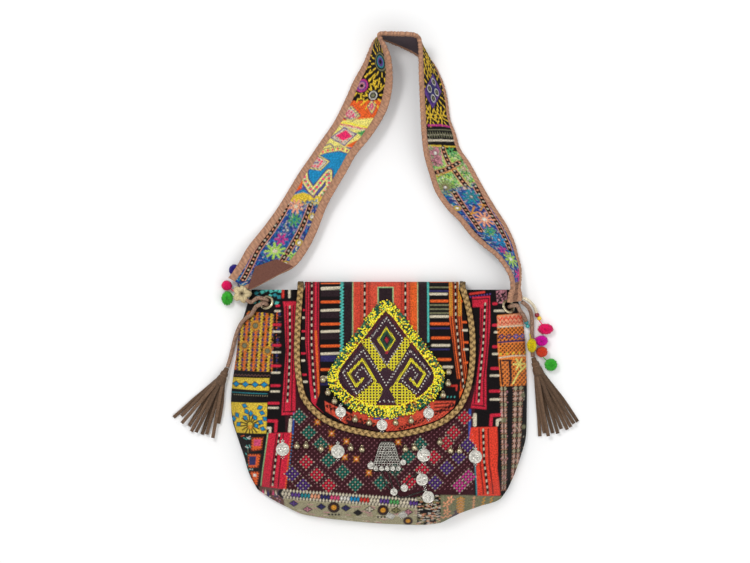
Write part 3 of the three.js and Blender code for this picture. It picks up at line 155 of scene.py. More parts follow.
@dataclass(frozen=True)
class BodyShape:
    """The outline and the front surface of the bag's body."""

    width: float = 361.0
    height: float = 287.0
    depth: float = 46.0
    mouth_depth: float = 21.0
    edge_height: float = 5.0
    left_gusset: float = 43.0
    right_gusset: float = 36.0
    bottom_gusset: float = 30.0
    crown: float = 0.08
    corner_down: float = 0.851
    mouth_y: float = -12.5
    eyelet_radius: float = 9.2
    eyelets: tuple[tuple[float, float], ...] = ((-0.757, 0.055), (0.872, 0.072))
    left: Curve = Curve(
        (0, 0.081, 0.183, 0.285, 0.451, 0.553, 0.638, 0.715, 0.787, 0.851),
        (0.858, 0.899, 0.946, 0.967, 1.0, 0.993, 0.953, 0.912, 0.878, 0.824),
    )
    right: Curve = Curve(
        (0, 0.081, 0.183, 0.362, 0.553, 0.638, 0.715, 0.787, 0.851),
        (0.905, 0.959, 0.983, 1.0, 1.0, 0.993, 0.959, 0.919, 0.872),
    )
    bottom: Curve = Curve(
        (-0.824, -0.723, -0.635, -0.514, -0.2, 0.14, 0.4, 0.534, 0.682, 0.818, 0.872),
        (0.851, 0.894, 0.923, 0.957, 0.985, 1.0, 0.996, 0.957, 0.923, 0.894, 0.851),
    )
    swell: Curve = Curve((0, 0.12, 0.25, 0.45, 0.8, 1.0), (0, 0.42, 0.74, 1.0, 1.0, 0.94))

    def place(self, across: np.ndarray, down: np.ndarray) -> np.ndarray:
        """Gives the point at those shares across and down."""
        return np.stack([across * self.width / 2, self.mouth_y - down * self.height], -1)

    def height_at(self, x: np.ndarray, y: np.ndarray) -> np.ndarray:
        """Gives the front cloth's height above the floor, pressed flat round each eyelet.

        Args:
            x: places across the bag.
            y: places along the bag.

        Returns:
            The heights, in millimetres.
        """
        height = self.swelled(x, y)
        for across, down in self.eyelets:
            at_x, at_y = (float(value) for value in self.place(np.array(across), np.array(down)))
            level = self.swelled(at_x, at_y)
            slope_x = (self.swelled(at_x + 1, at_y) - self.swelled(at_x - 1, at_y)) / 2
            slope_y = (self.swelled(at_x, at_y + 1) - self.swelled(at_x, at_y - 1)) / 2
            distance = np.hypot(x - at_x, y - at_y)
            flat = np.clip((1.7 * self.eyelet_radius - distance) / (0.5 * self.eyelet_radius), 0, 1)
            height = height + (level + slope_x * (x - at_x) + slope_y * (y - at_y) - height) * flat
        return height

    def swelled(self, x: np.ndarray, y: np.ndarray) -> np.ndarray:
        """Gives the front cloth's height as if it had no eyelets."""
        half = self.width / 2
        across = np.asarray(x, float) / half
        down = np.clip((self.mouth_y - np.asarray(y, float)) / self.height, 0, 1)
        rise = np.ones_like(across * down)
        for distance, gusset in (
            ((across + self.left(down)) * half, self.left_gusset),
            ((self.right(down) - across) * half, self.right_gusset),
            ((self.bottom(across) - down) * self.height, self.bottom_gusset),
        ):
            t = np.clip(distance / gusset, 0, 1)
            rise = rise * t * (2 - t)
        swell = self.swell(down) * (1 - self.crown * across**2)
        depth = self.mouth_depth + (self.depth - self.mouth_depth) * swell
        return self.edge_height + (depth - self.edge_height) * rise

    def edges(self, u: np.ndarray, v: np.ndarray) -> tuple[np.ndarray, ...]:
        """Gives the outline's top, bottom, left and right edges at shares u and v."""
        down = v * self.corner_down
        start, end = self.bottom.at[0], self.bottom.at[-1]
        across = start + (end - start) * u
        left, right = self.place(-self.left(down), down), self.place(self.right(down), down)
        top = self.place(-self.left(0.0) + (self.right(0.0) + self.left(0.0)) * u, np.zeros_like(u))
        return top, self.place(across, self.bottom(across)), left, right


@dataclass(frozen=True)
class FlapShape:
    """The outline of the flap and its fold over the mouth."""

    body: BodyShape = BodyShape()
    width: float = 203.0
    drop: float = 171.0
    shift: float = 7.0
    thickness: float = 3.0
    lift: float = 0.6
    fold_reach: float = 9.0
    gap: float = 0.35
    left: Curve = Curve((0, 0.21, 0.45, 0.648), (-0.963, -0.988, -1.0, -0.976))
    right: Curve = Curve((0, 0.114, 0.285, 0.463, 0.598), (0.889, 0.946, 0.994, 1.0, 0.982))
    end: tuple[tuple[float, float], ...] = (
        (-0.976, 0.648), (-0.904, 0.769), (-0.706, 0.886), (-0.478, 0.947), (-0.237, 0.982), (-0.045, 1.0),
        (0.183, 0.993), (0.411, 0.964), (0.64, 0.915), (0.79, 0.851), (0.874, 0.79), (0.94, 0.697),
        (0.982, 0.598),
    )

    def place(self, out: np.ndarray, drop: np.ndarray) -> np.ndarray:
        """Gives the point at those shares out from the flap's middle and down from the mouth."""
        return np.stack([self.shift + out * self.width / 2, self.body.mouth_y - drop * self.drop], -1)

    def top_at(self, x: np.ndarray, y: np.ndarray) -> np.ndarray:
        """Gives the flap's upper surface above the floor."""
        return self.body.height_at(x, y) + self.lift + self.thickness

    def end_curve(self, u: np.ndarray) -> np.ndarray:
        """Reads the flap's rounded end.

        Args:
            u: shares of the end's length, from left to right.

        Returns:
            The points there.
        """
        knots = np.array([self.place(np.array(out), np.array(drop)) for out, drop in self.end])
        fine = smooth_line(knots, 30)
        along = np.concatenate([[0], np.cumsum(np.linalg.norm(np.diff(fine, axis=0), axis=1))])
        along /= along[-1]
        return np.stack([np.interp(u, along, fine[:, 0]), np.interp(u, along, fine[:, 1])], -1)

    def edges(self, u: np.ndarray, v: np.ndarray) -> tuple[np.ndarray, ...]:
        """Gives the flap's top, bottom, left and right edges at shares u and v."""
        left_drop, right_drop = v * self.left.at[-1], v * self.right.at[-1]
        start, end = float(self.left(0.0)), float(self.right(0.0))
        top = self.place(start + (end - start) * u, np.zeros_like(u))
        left = self.place(self.left(left_drop), left_drop)
        right = self.place(self.right(right_drop), right_drop)
        return top, self.end_curve(u), left, right


def smooth_line(knots: np.ndarray, steps: int, closed: bool = False) -> np.ndarray:
    """Runs a smooth line through points.

    Args:
        knots: the points.
        steps: steps from each point to the next.
        closed: whether the line joins its end to its start.

    Returns:
        The line's points.
    """
    if closed:
        padded = np.concatenate([knots[-1:], knots, knots[:2]])
    else:
        padded = np.concatenate([2 * knots[:1] - knots[1:2], knots, 2 * knots[-1:] - knots[-2:-1]])
    t = (np.arange(steps) / steps)[:, None]
    parts = []
    for i in range(len(padded) - 3):
        a, b, c, d = padded[i : i + 4]
        parts.append(
            0.5 * (2 * b + (c - a) * t + (2 * a - 5 * b + 4 * c - d) * t**2 + (3 * b - a - 3 * c + d) * t**3)
        )
    if not closed:
        parts.append(knots[-1:])
    return np.concatenate(parts)


def even_line(points: np.ndarray, step: float) -> np.ndarray:
    """Spaces a line's points evenly.

    Args:
        points: the line's points.
        step: the spacing wanted.

    Returns:
        The evenly spaced points.
    """
    along = np.concatenate([[0], np.cumsum(np.linalg.norm(np.diff(points, axis=0), axis=1))])
    count = max(2, round(along[-1] / step) + 1)
    at = np.linspace(0, along[-1], count)
    return np.stack([np.interp(at, along, points[:, i]) for i in range(points.shape[1])], -1)


def between_edges(edges: tuple[np.ndarray, ...], u: np.ndarray, v: np.ndarray) -> np.ndarray:
    """Fills the patch between four edges.

    Args:
        edges: the top and bottom edges along u, and the left and right edges along v.
        u: shares across.
        v: shares down.

    Returns:
        A grid of points, rows down and columns across.
    """
    top, bottom, left, right = edges
    u, v = u[None, :, None], v[:, None, None]
    return (
        (1 - v) * top[None] + v * bottom[None] + (1 - u) * left[:, None] + u * right[:, None]
        - (1 - u) * (1 - v) * top[0] - u * (1 - v) * top[-1] - (1 - u) * v * bottom[0] - u * v * bottom[-1]
    )


def frame_at(height: Callable, x: float, y: float) -> tuple[np.ndarray, np.ndarray]:
    """Finds how a small flat piece lies on a surface.

    Args:
        height: the surface's height function.
        x: the piece's place across.
        y: the piece's place along.

    Returns:
        The point on the surface, and the axes right, ahead and up as rows.
    """
    slope_x = float(height(x + 1, y) - height(x - 1, y)) / 2
    slope_y = float(height(x, y + 1) - height(x, y - 1)) / 2
    up = np.array([-slope_x, -slope_y, 1.0])
    up /= np.linalg.norm(up)
    right = np.cross([0, 1, 0], up)
    right /= np.linalg.norm(right)
    return np.array([x, y, float(height(x, y))]), np.array([right, np.cross(up, right), up])


BODY = BodyShape()
FLAP = FlapShape()


# Painting with thread: every cloth is a fine grid, and drawn stitches give its points their colour and relief


@dataclass
class Embroidery:
    """The colour and relief of one cloth's points, drawn on as stitches are, in the photograph's pixels."""

    points: np.ndarray
    softness: float
    colour: np.ndarray = field(init=False)
    relief: np.ndarray = field(init=False)

    def __post_init__(self) -> None:
        """Starts with plain black cloth."""
        self.colour = np.tile(Dye.BLACK.linear(), (len(self.points), 1))
        self.relief = np.zeros(len(self.points))

    def lay(self, distance: np.ndarray, dye: Dye, lift: float = 0.0, near: np.ndarray | None = None) -> None:
        """Colours the points inside a shape.

        Args:
            distance: how far each point lies outside the shape's edge, negative inside it.
            dye: the thread's colour.
            lift: how far the thread stands up, in millimetres.
            near: which points the distances are for, where they aren't for all.
        """
        cover = np.clip(0.5 - distance / self.softness, 0, 1)
        rows = slice(None) if near is None else near
        self.colour[rows] += (dye.linear() - self.colour[rows]) * cover[:, None]
        self.relief[rows] = self.relief[rows] * (1 - cover) + np.maximum(self.relief[rows], lift) * cover

    def around(self, low: np.ndarray, high: np.ndarray) -> np.ndarray:
        """Lists the points in a box, with a margin."""
        margin = 2 * self.softness
        inside = np.all((self.points > low - margin) & (self.points < high + margin), axis=1)
        return np.nonzero(inside)[0]

    def field(self, outline: list[tuple[float, float]], dye: Dye, lift: float = 0.0) -> None:
        """Fills a patch of cloth.

        Args:
            outline: the patch's corners.
            dye: the cloth's colour.
            lift: how far it stands up.
        """
        corners = np.array(outline, float)
        near = self.around(corners.min(0), corners.max(0))
        if not len(near):
            return
        point = self.points[near]
        inside = np.zeros(len(near), bool)
        distance = np.full(len(near), 1e9)
        for a, b in zip(corners, np.roll(corners, -1, axis=0)):
            run = b - a
            share = np.clip(((point - a) @ run) / max(run @ run, 1e-9), 0, 1)
            distance = np.minimum(distance, np.linalg.norm(point - a - share[:, None] * run, axis=1))
            crosses = (a[1] > point[:, 1]) != (b[1] > point[:, 1])
            rise = np.where(run[1] == 0, 1e-9, run[1])
            inside ^= crosses & (point[:, 0] < run[0] * (point[:, 1] - a[1]) / rise + a[0])
        self.lay(np.where(inside, -distance, distance), dye, lift, near)

    def line(self, route: list[tuple[float, float]], dye: Dye, width: float = 1.6,
             lift: float = 0.35) -> None:
        """Draws a line of stitches.

        Args:
            route: the line's points.
            dye: the thread's colour.
            width: the line's width.
            lift: how far it stands up.
        """
        for a, b in zip(np.array(route[:-1], float), np.array(route[1:], float)):
            near = self.around(np.minimum(a, b) - width, np.maximum(a, b) + width)
            if not len(near):
                continue
            run = b - a
            share = np.clip(((self.points[near] - a) @ run) / max(run @ run, 1e-9), 0, 1)
            distance = np.linalg.norm(self.points[near] - a - share[:, None] * run, axis=1)
            self.lay(distance - width / 2, dye, lift, near)

    def disc(self, middle: tuple[float, float], radius: float, dye: Dye, lift: float = 0.35) -> None:
        """Fills a round of thread."""
        centre = np.array(middle, float)
        near = self.around(centre - radius, centre + radius)
        self.lay(np.linalg.norm(self.points[near] - centre, axis=1) - radius, dye, lift, near)

    def lozenge(
        self, middle: tuple[float, float], half: tuple[float, float], dye: Dye, turn: float = 0,
        lift: float = 0.35
    ) -> None:
        """Fills a lozenge of thread.

        Args:
            middle: the lozenge's middle.
            half: its half width and half height.
            dye: the thread's colour.
            turn: how far it is turned, in degrees.
            lift: how far it stands up.
        """
        centre = np.array(middle, float)
        reach = max(half)
        near = self.around(centre - reach, centre + reach)
        angle = math.radians(turn)
        axes = np.array([[math.cos(angle), math.sin(angle)], [-math.sin(angle), math.cos(angle)]])
        local = np.abs((self.points[near] - centre) @ axes.T)
        distance = (local[:, 0] / half[0] + local[:, 1] / half[1] - 1) * min(half) * 0.75
        self.lay(distance, dye, lift, near)

    def stitches(self, route: list[tuple[float, float]], dye: Dye, pitch: float, size: float,
                 long: float = 0) -> None:
        """Sets dots or short dashes along a line.

        Args:
            route: the line's points.
            dye: the thread's colour.
            pitch: the spacing of the stitches.
            size: a stitch's width.
            long: a dash's length along the line, or nothing for dots.
        """
        line = even_line(np.array(route, float), pitch)
        for i, point in enumerate(line):
            if long:
                run = line[min(i + 1, len(line) - 1)] - line[max(i - 1, 0)]
                run = run / max(np.linalg.norm(run), 1e-9) * long / 2
                self.line([tuple(point - run), tuple(point + run)], dye, size)
            else:
                self.disc(tuple(point), size / 2, dye)

    def zigzag(self, route: list[tuple[float, float]], dye: Dye, pitch: float, reach: float,
               width: float) -> None:
        """Draws a zigzag along a line."""
        line = even_line(np.array(route, float), pitch)
        run = np.gradient(line, axis=0)
        side = np.stack([-run[:, 1], run[:, 0]], 1) / np.linalg.norm(run, axis=1)[:, None]
        swing = line + side * np.where(np.arange(len(line)) % 2, reach, -reach)[:, None]
        self.line([tuple(point) for point in swing], dye, width)

    def chain(self, route: list[tuple[float, float]], dyes: tuple[Dye, ...], pitch: float,
              width: float) -> None:
        """Sets small lozenges of turning colours along a line."""
        line = even_line(np.array(route, float), pitch)
        run = np.gradient(line, axis=0)
        for i, (point, step) in enumerate(zip(line, run)):
            turn = math.degrees(math.atan2(step[1], step[0]))
            self.lozenge(tuple(point), (pitch * 0.55, width / 2), dyes[i % len(dyes)], turn)

    def flower(
        self, middle: tuple[float, float], radius: float, petal: Dye, heart: Dye, petals: int = 8,
        core: float = 0.35
    ) -> None:
        """Draws a round flower of stitches with a heart."""
        centre = np.array(middle, float)
        for i in range(petals):
            angle = 2 * math.pi * i / petals
            way = np.array([math.cos(angle), math.sin(angle)])
            start, end = centre + way * radius * core, centre + way * radius
            self.line([tuple(start), tuple(end)], petal, max(1.1, 2.6 * radius / petals), 0.4)
        self.disc(middle, radius * core, heart, 0.3)

    def sunburst(
        self, middle: tuple[float, float], inner: float, outer: float, dye: Dye, rays: int, start: float = 0,
        sweep: float = 360, width: float = 1.0,
    ) -> None:
        """Draws rays of stitches round a point.

        Args:
            middle: the point.
            inner: where the rays start.
            outer: where they end.
            dye: the thread's colour.
            rays: how many there are.
            start: the first ray's angle in degrees.
            sweep: the angle that they cover.
            width: a ray's width.
        """
        centre = np.array(middle, float)
        for i in range(rays):
            angle = math.radians(start + sweep * i / max(rays - (sweep < 360), 1))
            way = np.array([math.cos(angle), math.sin(angle)])
            self.line([tuple(centre + way * inner), tuple(centre + way * outer)], dye, width, 0.3)


def to_pixels(points: np.ndarray) -> np.ndarray:
    """Turns millimetres into the photograph's pixels."""
    return np.stack([points[..., 0] / PIXEL + PIXEL_X, PIXEL_Y - points[..., 1] / PIXEL], -1)


def to_place(pixel: tuple[float, float]) -> tuple[float, float]:
    """Turns the photograph's pixels into millimetres."""
    return (pixel[0] - PIXEL_X) * PIXEL, (PIXEL_Y - pixel[1]) * PIXEL


# Mesh making


def clear_selection() -> None:
    """Deselects everything."""
    bpy.ops.object.select_all(action="DESELECT")


def finish_piece(piece: bpy.types.Object, name: str, material: bpy.types.Material) -> bpy.types.Object:
    """Names a piece, dresses it and lets it ride on the bag.

    Args:
        piece: the piece, in its place.
        name: its name.
        material: what it is made of.

    Returns:
        The piece.
    """
    piece.name = name
    piece.data.name = name
    piece.data.materials.clear()
    piece.data.materials.append(material)
    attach(piece, "root")
    log.info("%s: %d faces", name, len(piece.data.polygons) if piece.type == "MESH" else 0)
    return piece


def smooth_faces(piece: bpy.types.Object) -> None:
    """Shades a piece smooth."""
    piece.data.polygons.foreach_set("use_smooth", np.ones(len(piece.data.polygons), bool))
    piece.data.update()


def cloth_grid(points: np.ndarray) -> bpy.types.Object:
    """Makes a sheet of cloth from a grid primitive.

    Args:
        points: the grid's points in millimetres, rows down and columns across.

    Returns:
        The sheet, which faces up where its rows run down and its columns run right.
    """
    rows, columns = points.shape[:2]
    clear_selection()
    bpy.ops.mesh.primitive_grid_add(x_subdivisions=columns - 1, y_subdivisions=rows - 1, size=2)
    sheet = bpy.context.object
    sheet.data.vertices.foreach_set("co", (points[::-1] * MM).astype(np.float32).ravel())
    smooth_faces(sheet)
    return sheet


def paint(piece: bpy.types.Object, colour: np.ndarray) -> None:
    """Stores a colour for each of a mesh's points."""
    layer = piece.data.color_attributes.new("thread", "FLOAT_COLOR", "POINT")
    full = np.concatenate([colour, np.ones((len(colour), 1))], axis=1)
    layer.data.foreach_set("color", full.astype(np.float32).ravel())


def mesh_from(points: np.ndarray, faces: np.ndarray, name: str) -> bpy.types.Object:
    """Makes a mesh object from arrays.

    Args:
        points: its points in millimetres.
        faces: its faces, all with as many corners.
        name: its name.

    Returns:
        The object, linked to the scene.
    """
    mesh = bpy.data.meshes.new(name)
    corners = faces.shape[1]
    mesh.vertices.add(len(points))
    mesh.vertices.foreach_set("co", (points * MM).astype(np.float32).ravel())
    mesh.loops.add(faces.size)
    mesh.loops.foreach_set("vertex_index", faces.astype(np.int32).ravel())
    mesh.polygons.add(len(faces))
    mesh.polygons.foreach_set("loop_start", np.arange(0, faces.size, corners, dtype=np.int32))
    mesh.update(calc_edges=True)
    piece = bpy.data.objects.new(name, mesh)
    bpy.context.scene.collection.objects.link(piece)
    smooth_faces(piece)
    return piece


@dataclass(frozen=True)
class Pattern:
    """A small closed shape to be repeated: points round its own origin, and its triangles."""

    points: np.ndarray
    faces: np.ndarray

    @staticmethod
    def ball(sides: int, rings: int) -> "Pattern":
        """Models a round bead from a sphere primitive."""
        clear_selection()
        bpy.ops.mesh.primitive_uv_sphere_add(segments=sides, ring_count=rings, radius=1)
        ball = bpy.context.object
        bpy.ops.object.mode_set(mode="EDIT")
        bpy.ops.mesh.quads_convert_to_tris()
        bpy.ops.object.mode_set(mode="OBJECT")
        points = np.array([vertex.co for vertex in ball.data.vertices])
        faces = np.array([face.vertices[:] for face in ball.data.polygons])
        bpy.data.objects.remove(ball)
        return Pattern(points, faces)

    def scattered(self, centres: np.ndarray, axes: np.ndarray, name: str) -> bpy.types.Object:
        """Joins copies of the shape.

        Args:
            centres: where each copy's origin goes.
            axes: each copy's three scaled axes, as rows.
            name: the joined mesh's name.

        Returns:
            The joined mesh.
        """
        points = np.einsum("pj,njk->npk", self.points, axes) + centres[:, None]
        faces = self.faces[None] + (np.arange(len(centres)) * len(self.points))[:, None, None]
        return mesh_from(points.reshape(-1, 3), faces.reshape(-1, 3), name)


def tube(routes: list[np.ndarray], radius: float, name: str, closed: bool = False,
         sides: int = 2) -> bpy.types.Object:
    """Makes a mesh of round strands.

    Args:
        routes: the strands' points, in millimetres.
        radius: their radius.
        name: the mesh's name.
        closed: whether each strand joins its end to its start.
        sides: the bevel resolution of the strands' section.

    Returns:
        The mesh.
    """
    curve = bpy.data.curves.new(name, "CURVE")
    curve.dimensions = "3D"
    curve.bevel_depth = radius * MM
    curve.bevel_resolution = sides
    curve.use_fill_caps = True
    for route in routes:
        spline = curve.splines.new("POLY")
        spline.points.add(len(route) - 1)
        spline.points.foreach_set("co", np.c_[route * MM, np.ones(len(route))].astype(np.float32).ravel())
        spline.use_cyclic_u = closed
    piece = bpy.data.objects.new(name, curve)
    bpy.context.scene.collection.objects.link(piece)
    clear_selection()
    piece.select_set(True)
    bpy.context.view_layer.objects.active = piece
    bpy.ops.object.convert(target="MESH")
    piece = bpy.context.object
    smooth_faces(piece)
    return piece


# Finishes


@dataclass(frozen=True)
class Finish:
    """A surface's colour, gloss and grain."""

    name: str
    colour: Dye | None = None
    roughness: float = 0.8
    metallic: float = 0.0
    sheen: float = 0.0
    coat: float = 0.0
    grain: float = 900.0
    bump: float = 0.25
    mottle: float = 0.25
    weave: float = 0.0
    specular: float = 0.5

    def material(self) -> bpy.types.Material:
        """Builds the material.

        Returns:
            A node material with mottled colour and a fine bump, and painted shade between the threads where it is
            woven.
        """
        material = bpy.data.materials.new(self.name)
        material.use_nodes = True
        tree = material.node_tree
        nodes, link = tree.nodes, tree.links.new
        shader = nodes["Principled BSDF"]
        shader.inputs["Roughness"].default_value = self.roughness
        shader.inputs["Metallic"].default_value = self.metallic
        shader.inputs["Sheen Weight"].default_value = self.sheen
        shader.inputs["Sheen Roughness"].default_value = 0.5
        shader.inputs["Coat Weight"].default_value = self.coat
        shader.inputs["Specular IOR Level"].default_value = self.specular
        place = nodes.new("ShaderNodeTexCoord")
        noise = nodes.new("ShaderNodeTexNoise")
        noise.inputs["Scale"].default_value = self.grain
        noise.inputs["Detail"].default_value = 4
        link(place.outputs["Object"], noise.inputs["Vector"])
        shade = nodes.new("ShaderNodeMapRange")
        shade.inputs["From Min"].default_value = 0.3
        shade.inputs["From Max"].default_value = 0.7
        shade.inputs["To Min"].default_value = 1 - self.mottle
        shade.inputs["To Max"].default_value = 1 + self.mottle
        link(noise.outputs["Fac"], shade.inputs["Value"])
        tint = nodes.new("ShaderNodeVectorMath")
        tint.operation = "SCALE"
        if self.colour is None:
            thread = nodes.new("ShaderNodeVertexColor")
            thread.layer_name = "thread"
            link(thread.outputs["Color"], tint.inputs[0])
        else:
            tint.inputs[0].default_value = self.colour.linear()
        link(tint.outputs["Vector"], shader.inputs["Base Color"])
        height, depth = noise.outputs["Fac"], shade.outputs["Result"]
        # A weave adds painted shade between its threads to the colour.
        if self.weave:
            height, depth = self.woven(tree, place, height, depth)
        link(depth, tint.inputs["Scale"])
        bump = nodes.new("ShaderNodeBump")
        bump.inputs["Strength"].default_value = self.bump
        bump.inputs["Distance"].default_value = 0.0006
        link(height, bump.inputs["Height"])
        link(bump.outputs["Normal"], shader.inputs["Normal"])
        return material

    def woven(
        self, tree: bpy.types.NodeTree, place: bpy.types.Node, height: bpy.types.NodeSocket,
        depth: bpy.types.NodeSocket,
    ) -> tuple[bpy.types.NodeSocket, bpy.types.NodeSocket]:
        """Adds the threads of a weave to the bump, with painted shade in the gaps between them and a slight
        painted highlight on the threads.

        Args:
            tree: the material's nodes.
            place: the coordinates' node.
            height: the grain's height.
            depth: the grain's shade.

        Returns:
            The sockets that hold the height and the shade.
        """
        waves = []
        for direction in ("X", "Y"):
            wave = tree.nodes.new("ShaderNodeTexWave")
            wave.bands_direction = direction
            wave.inputs["Scale"].default_value = self.weave
            wave.inputs["Distortion"].default_value = 1.5
            wave.inputs["Detail"].default_value = 1
            tree.links.new(place.outputs["Object"], wave.inputs["Vector"])
            waves.append(wave)
        top = tree.nodes.new("ShaderNodeMath")
        top.operation = "MAXIMUM"
        for i, wave in enumerate(waves):
            tree.links.new(wave.outputs["Fac"], top.inputs[i])
        # Painted light: this factor darkens the colour in the gaps between the threads and brightens it slightly
        # on them.
        gaps = tree.nodes.new("ShaderNodeMapRange")
        gaps.inputs["To Min"].default_value = 0.55
        gaps.inputs["To Max"].default_value = 1.08
        tree.links.new(top.outputs[0], gaps.inputs["Value"])
        sockets = []
        for operation, first, second in (("ADD", top.outputs[0], height),
                                         ("MULTIPLY", gaps.outputs["Result"], depth)):
            both = tree.nodes.new("ShaderNodeMath")
            both.operation = operation
            tree.links.new(first, both.inputs[0])
            tree.links.new(second, both.inputs[1])
            sockets.append(both.outputs[0])
        return sockets[0], sockets[1]


STITCHED = Finish(
    "embroidered_cloth", roughness=0.85, sheen=0.03, specular=0.12, grain=620, bump=0.7, mottle=0.42,
    weave=420
)
BINDING = Finish("soft_binding", roughness=0.85, sheen=0.03, specular=0.12, grain=260, bump=0.35, mottle=0.16)
LINING = Finish("plain_lining", Dye.DUSK, roughness=0.9, sheen=0.1, specular=0.2, bump=0.4, weave=420)
FOLD = Finish("rosy_lining", Dye.ROSEWOOD, roughness=0.88, sheen=0.1, specular=0.2, bump=0.5, weave=420)
BEADWORK = Finish("seed_beads", roughness=0.18, coat=0.3, specular=0.4, bump=0.05, mottle=0.15)
BRAIDED = Finish("gold_braid", roughness=0.42, grain=1500, metallic=0.3, specular=0.3, bump=0.5, mottle=0.45)
AGED_BRASS = Finish("aged_brass", Dye.BRASS, roughness=0.26, metallic=0.9, grain=420, bump=0.2, mottle=0.45)
WORN_SILVER = Finish("worn_silver", Dye.SILVER, roughness=0.3, metallic=0.85, grain=430, bump=0.5,
                     mottle=0.42)
DARK_SILVER = Finish("dark_silver", Dye.PEWTER, roughness=0.36, metallic=0.85, grain=500, bump=0.4,
                     mottle=0.6)
CORD_BROWN = Finish("brown_cord", Dye.CORD, roughness=0.75, specular=0.2, grain=620, bump=0.9, mottle=0.65)
CORD_CREAM = Finish("cream_cord", Dye.CREAM, roughness=0.85, specular=0.2, grain=900, bump=0.7, mottle=0.4)
KNOT_CORD = Finish("knot_cord", roughness=0.85, specular=0.2, grain=900, bump=0.7, mottle=0.35)
SUEDE = Finish("brown_suede", roughness=0.9, sheen=0.1, specular=0.15, grain=700, bump=0.5, mottle=0.35)
YARN = Finish("pompom_yarn", roughness=0.95, sheen=0.15, specular=0.15, grain=1600, bump=0.7, mottle=0.25)


class Look:
    """The room: the floor, the light and the camera."""

    camera_lens: float = 150.0
    aim_pixel: tuple[float, float] = (375.0, 281.5)
    aim_height: float = 20.0
    photo_width: float = 750.0
    sky_strength: float = 0.95
    horizon: float = 0.5

    def build(self) -> None:
        """Makes the camera, the floor and the lights."""
        x, y = to_place(self.aim_pixel)
        distance = self.photo_width * PIXEL * self.camera_lens / 36.0
        clear_selection()
        bpy.ops.object.camera_add(location=(x * MM, y * MM, (self.aim_height + distance) * MM),
                                  rotation=(0, 0, 0))
        camera = bpy.context.object
        camera.data.lens = self.camera_lens
        camera.data.sensor_width = 36.0
        camera.data.clip_end = 20
        bpy.context.scene.camera = camera
        bpy.ops.mesh.primitive_plane_add(size=8, location=(0, 0, -0.0004))
        floor = bpy.context.object
        floor.name = "floor"
        white = bpy.data.materials.new("floor_white")
        white.use_nodes = True
        white.node_tree.nodes["Principled BSDF"].inputs["Base Color"].default_value = (0.9, 0.9, 0.9, 1)
        white.node_tree.nodes["Principled BSDF"].inputs["Roughness"].default_value = 1.0
        floor.data.materials.append(white)
        for name, energy, size, place in (
            ("key_light", 16.0, 0.5, (-0.7, 0.9, 2.0)),
            ("fill_light", 12.0, 2.0, (1.4, -0.6, 1.9)),
        ):
            bpy.ops.object.light_add(type="AREA", location=place)
            light = bpy.context.object
            light.name = name
            light.data.energy = energy
            light.data.size = size
            light.rotation_euler = Vector(place).to_track_quat("Z", "Y").to_euler()
        world = bpy.data.worlds.new("studio")
        world.use_nodes = True
        nodes, link = world.node_tree.nodes, world.node_tree.links.new
        nodes["Background"].inputs["Strength"].default_value = self.sky_strength
        way, parts, ramp = (nodes.new(f"ShaderNode{kind}")
                            for kind in ("TexCoord", "SeparateXYZ", "ValToRGB"))
        link(way.outputs["Generated"], parts.inputs["Vector"])
        link(parts.outputs["Z"], ramp.inputs["Fac"])
        link(ramp.outputs["Color"], nodes["Background"].inputs["Color"])
        ramp.color_ramp.elements[0].color = (*[self.horizon] * 3, 1)
        ramp.color_ramp.elements[0].position = 0.25
        ramp.color_ramp.elements[1].position = 0.85
        bpy.context.scene.world = world
        bpy.context.scene.view_settings.view_transform = "Standard"


@dataclass(frozen=True)
class Eyelet:
    """One brass eyelet, by its shares across and down the body."""

    node: str
    across: float
    down: float
    bore: float = 5.6
    height: float = 1.5
    depth: float = 3.2

    def axes(self) -> tuple[np.ndarray, np.ndarray]:
        """Gives the eyelet's middle on the cloth and its axes."""
        x, y = BODY.place(np.array(self.across), np.array(self.down))
        return frame_at(BODY.height_at, float(x), float(y))


EYELETS = tuple(Eyelet(name, *place) for name, place in zip(("eyelet_left", "eyelet_right"), BODY.eyelets))


@dataclass(frozen=True)
class CordRun:
    """A cord's route, in millimetres: points in its eyelet's frame, then points in the bag's."""

    node: str
    diameter: float
    far_end: str
    carries: tuple[str, ...]
    points: tuple[tuple[float, float, float], ...]
    eyelet: int | None = None
    local: tuple[tuple[float, float, float], ...] = ()

    def route(self) -> np.ndarray:
        """Gives the route's points in the bag's frame."""
        start = []
        if self.eyelet is not None:
            middle, axes = EYELETS[self.eyelet].axes()
            start = [middle + np.array(point) @ axes for point in self.local]
        return np.array([*start, *self.points])


